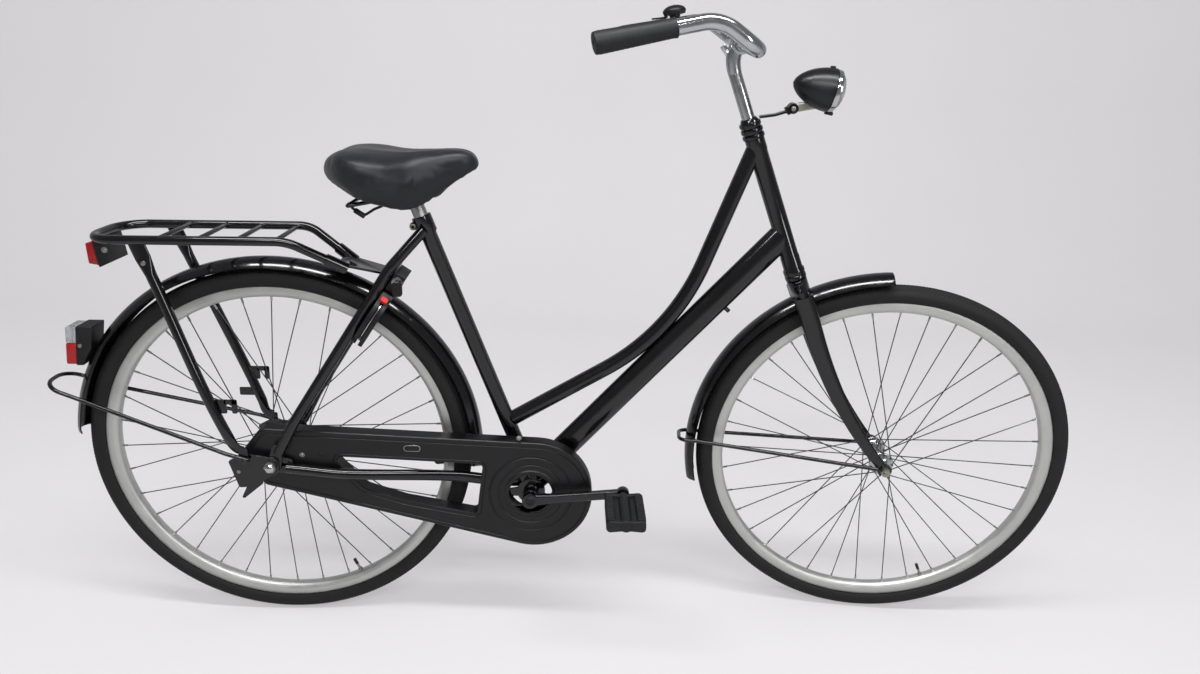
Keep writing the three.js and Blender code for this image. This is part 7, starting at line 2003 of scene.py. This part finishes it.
def saddle_grid():
    """Run and section shares scaled to the saddle's size, hollowed below, pulled in by the inset."""
    run, wide, top, skirt = through(saddle_shares, 4, False).T[:, :, None]
    low = SADDLE.floor + skirt * SADDLE.height + SADDLE.inset * 0.5
    high = SADDLE.floor + top * SADDLE.height - SADDLE.inset
    half = wide * SADDLE.half - SADDLE.inset
    filled_nose = np.clip((run - 0.5) / 0.2, 0, 1)
    pad = np.minimum(SADDLE.pad, (high - low) * 0.6) * (1 - filled_nose) + (high - low) * 0.94 * filled_nose
    outer = through(section_shares, 3, False)
    outer_z = low + outer[:, 1] * (high - low)
    under_z = np.where(under_shares[:, 1] < 1, low + under_shares[:, 1] * (high - low), high - pad)
    y = np.concatenate([outer[:, 0] * half, under_shares[:, 0] * half], 1)
    z = np.concatenate([outer_z, under_z], 1)
    x = np.broadcast_to(SADDLE.back + SADDLE.inset + run * (SADDLE.length - 2 * SADDLE.inset), y.shape)
    return np.stack([x, y, z], -1)


def padded_skin(points, faces):
    """The closed form remeshed to even faces, then inflated as cloth whose underside is pinned.
    No point moves farther than the swell."""
    mesh = bpy.data.meshes.new("pad")
    mesh.from_pydata((points * MM).tolist(), [], faces)
    pad = placed("pad", mesh)
    remesh = pad.modifiers.new("even", "REMESH")
    remesh.mode = "VOXEL"
    remesh.voxel_size = SADDLE.voxel * MM
    even = bpy.data.meshes.new_from_object(pad.evaluated_get(bpy.context.evaluated_depsgraph_get()))
    pad.modifiers.clear()
    pad.data = even
    start = np.empty(len(even.vertices) * 3)
    even.vertices.foreach_get("co", start)
    start = start.reshape(-1, 3)
    normals = np.empty(len(even.vertices) * 3)
    even.vertices.foreach_get("normal", normals)
    under = np.flatnonzero(normals.reshape(-1, 3)[:, 2] < -0.25)
    group = pad.vertex_groups.new(name="held")
    group.add(under.tolist(), 1.0, "REPLACE")
    cloth = pad.modifiers.new("cover", "CLOTH")
    cloth.settings.vertex_group_mass = "held"
    cloth.settings.use_pressure = True
    cloth.settings.uniform_pressure_force = SADDLE.pressure
    cloth.settings.effector_weights.gravity = 0.0
    for number in range(1, SADDLE.frames + 1):
        bpy.context.scene.frame_set(number)
    blown = bpy.data.meshes.new_from_object(pad.evaluated_get(bpy.context.evaluated_depsgraph_get()))
    moved = np.empty(len(blown.vertices) * 3)
    blown.vertices.foreach_get("co", moved)
    shift = moved.reshape(-1, 3) - start
    reach = np.linalg.norm(shift, axis=1, keepdims=True)
    print("pad", len(start), "points, moved up to", round(float(reach.max() / MM), 1), "mm before the cap")
    shift = shift * np.minimum(1.0, SADDLE.swell * MM / np.maximum(reach, 1e-9))
    faces = [list(face.vertices) for face in blown.polygons]
    bpy.data.objects.remove(pad)
    bpy.context.scene.frame_set(1)
    return (start + shift) / MM, faces


saddle_skin = padded_skin(*net(saddle_grid()))
saddle = piece("saddle_padded", saddle_skin, cover, "seat", "saddle", False, 60.0)
fine = saddle.modifiers.new("fine", "SUBSURF")
fine.levels = fine.render_levels = 1

loop_points = ((153.0, 822.0), (161.0, 812.0), (178.0, 800.0), (196.0, 812.0), (210.0, 818.0))
loop_line = [at(x, -30.0, z) for x, z in loop_points]
clasp = rod(at(163.0, -30.0, 810.0), at(180.0, -30.0, 799.0), 4.6, edge=1.5, count=20)
piece("saddle_bag_loop", [tube(loop_line, [6.0, 10.0, 10.0], 2.3, 14), clasp], black_plastic, "seat")
print("saddle ready")

# %% [markdown]
# ## Ring lock
# The lock is a moulded horseshoe round the tyre. Its housing keeps its CAD form with rounded edges; the
# bolt is a round steel hoop, and the red finger tab stands out of the slot.

# %% Ring lock
LOCK = Sizes(
    angle=math.radians(57.0), reach=328.0, ahead=7.9, middle=58.0, shackle=4.2, right_end=230.0, play=2.0,
    length=112.0, lever=141.0, knob_inner=71.0, knob_outer=85.0, knob_half=7.0, barrel_high=84.0,
    barrel_ahead=1.0, barrel_radius=9.0, barrel_deep=20.3, barrel_out=48.0,
)
LOCK_OUT = slope(LOCK.angle)
LOCK_AHEAD = at(math.sin(LOCK.angle), 0, -math.cos(LOCK.angle))
LOCK_CENTRE = REAR_AXLE + LOCK.reach * LOCK_OUT + LOCK.ahead * LOCK_AHEAD
LOCK_AXIS = np.cross(SIDEWAYS, LOCK_OUT)


def in_lock(points):
    """Lock coordinates, to the left, out from the axle and along the lock's axis, as places on the bike."""
    points = np.asarray(points, float)
    return (
        LOCK_CENTRE + points[..., :1] * SIDEWAYS + points[..., 1:2] * LOCK_OUT + points[..., 2:] * LOCK_AXIS
    )


def lock_arc(radius, start, end, count):
    """Points on a circle round the lock's middle."""
    angle = np.radians(np.linspace(start, end, count))
    return in_lock(np.stack([radius * np.cos(angle), radius * np.sin(angle), np.zeros(count)], -1))


dressed("lock_housing", case_plastic, "frame", 1.2, 34.0)
bolt_end = LOCK.right_end - LOCK.play
shackle = carried(
    lock_arc(LOCK.middle, bolt_end - LOCK.length, bolt_end, 40), ring(LOCK.shackle, 24), LOCK_AXIS,
)
piece("lock_bolt_hoop", shackle, chrome, "lock_bolt", "lock_shackle")
lever_angle = math.radians(LOCK.lever)
lever_way = unit(in_lock([math.cos(lever_angle), math.sin(lever_angle), 0.0]) - LOCK_CENTRE)
run = np.linspace(LOCK.knob_inner, LOCK.knob_outer, 14)
swell = 1 - 0.08 * (2 * (run - run[0]) / (run[-1] - run[0]) - 1) ** 6
knob_section = squarish[None] / 1.1 * swell[:, None, None] * at(LOCK.knob_half, 4.8, 0)[:2]
knob = carried(LOCK_CENTRE + lever_way * run[:, None], knob_section, LOCK_AXIS)
stem_run = np.linspace(LOCK.middle + LOCK.shackle + 0.4, LOCK.knob_inner + 1.0, 4)
lever_stem = carried(
    LOCK_CENTRE + lever_way * stem_run[:, None], squarish / 1.22 * at(2.0, 2.0, 0)[:2], LOCK_AXIS,
)
piece("lock_finger_tab", [knob, lever_stem], red_plastic, "lock_bolt", "lock_lever")
barrel_from = in_lock([-LOCK.barrel_deep, LOCK.barrel_high, LOCK.barrel_ahead])
barrel_to = in_lock([-LOCK.barrel_out, LOCK.barrel_high, LOCK.barrel_ahead])
piece(
    "lock_barrel_turned", rod(barrel_from, barrel_to, LOCK.barrel_radius, edge=0.8, count=40), chrome,
    "lock_barrel", "lock_cylinder",
)
dressed("lock_key", black_plastic, "lock_barrel", 0.8, 34.0)
print("lock ready")
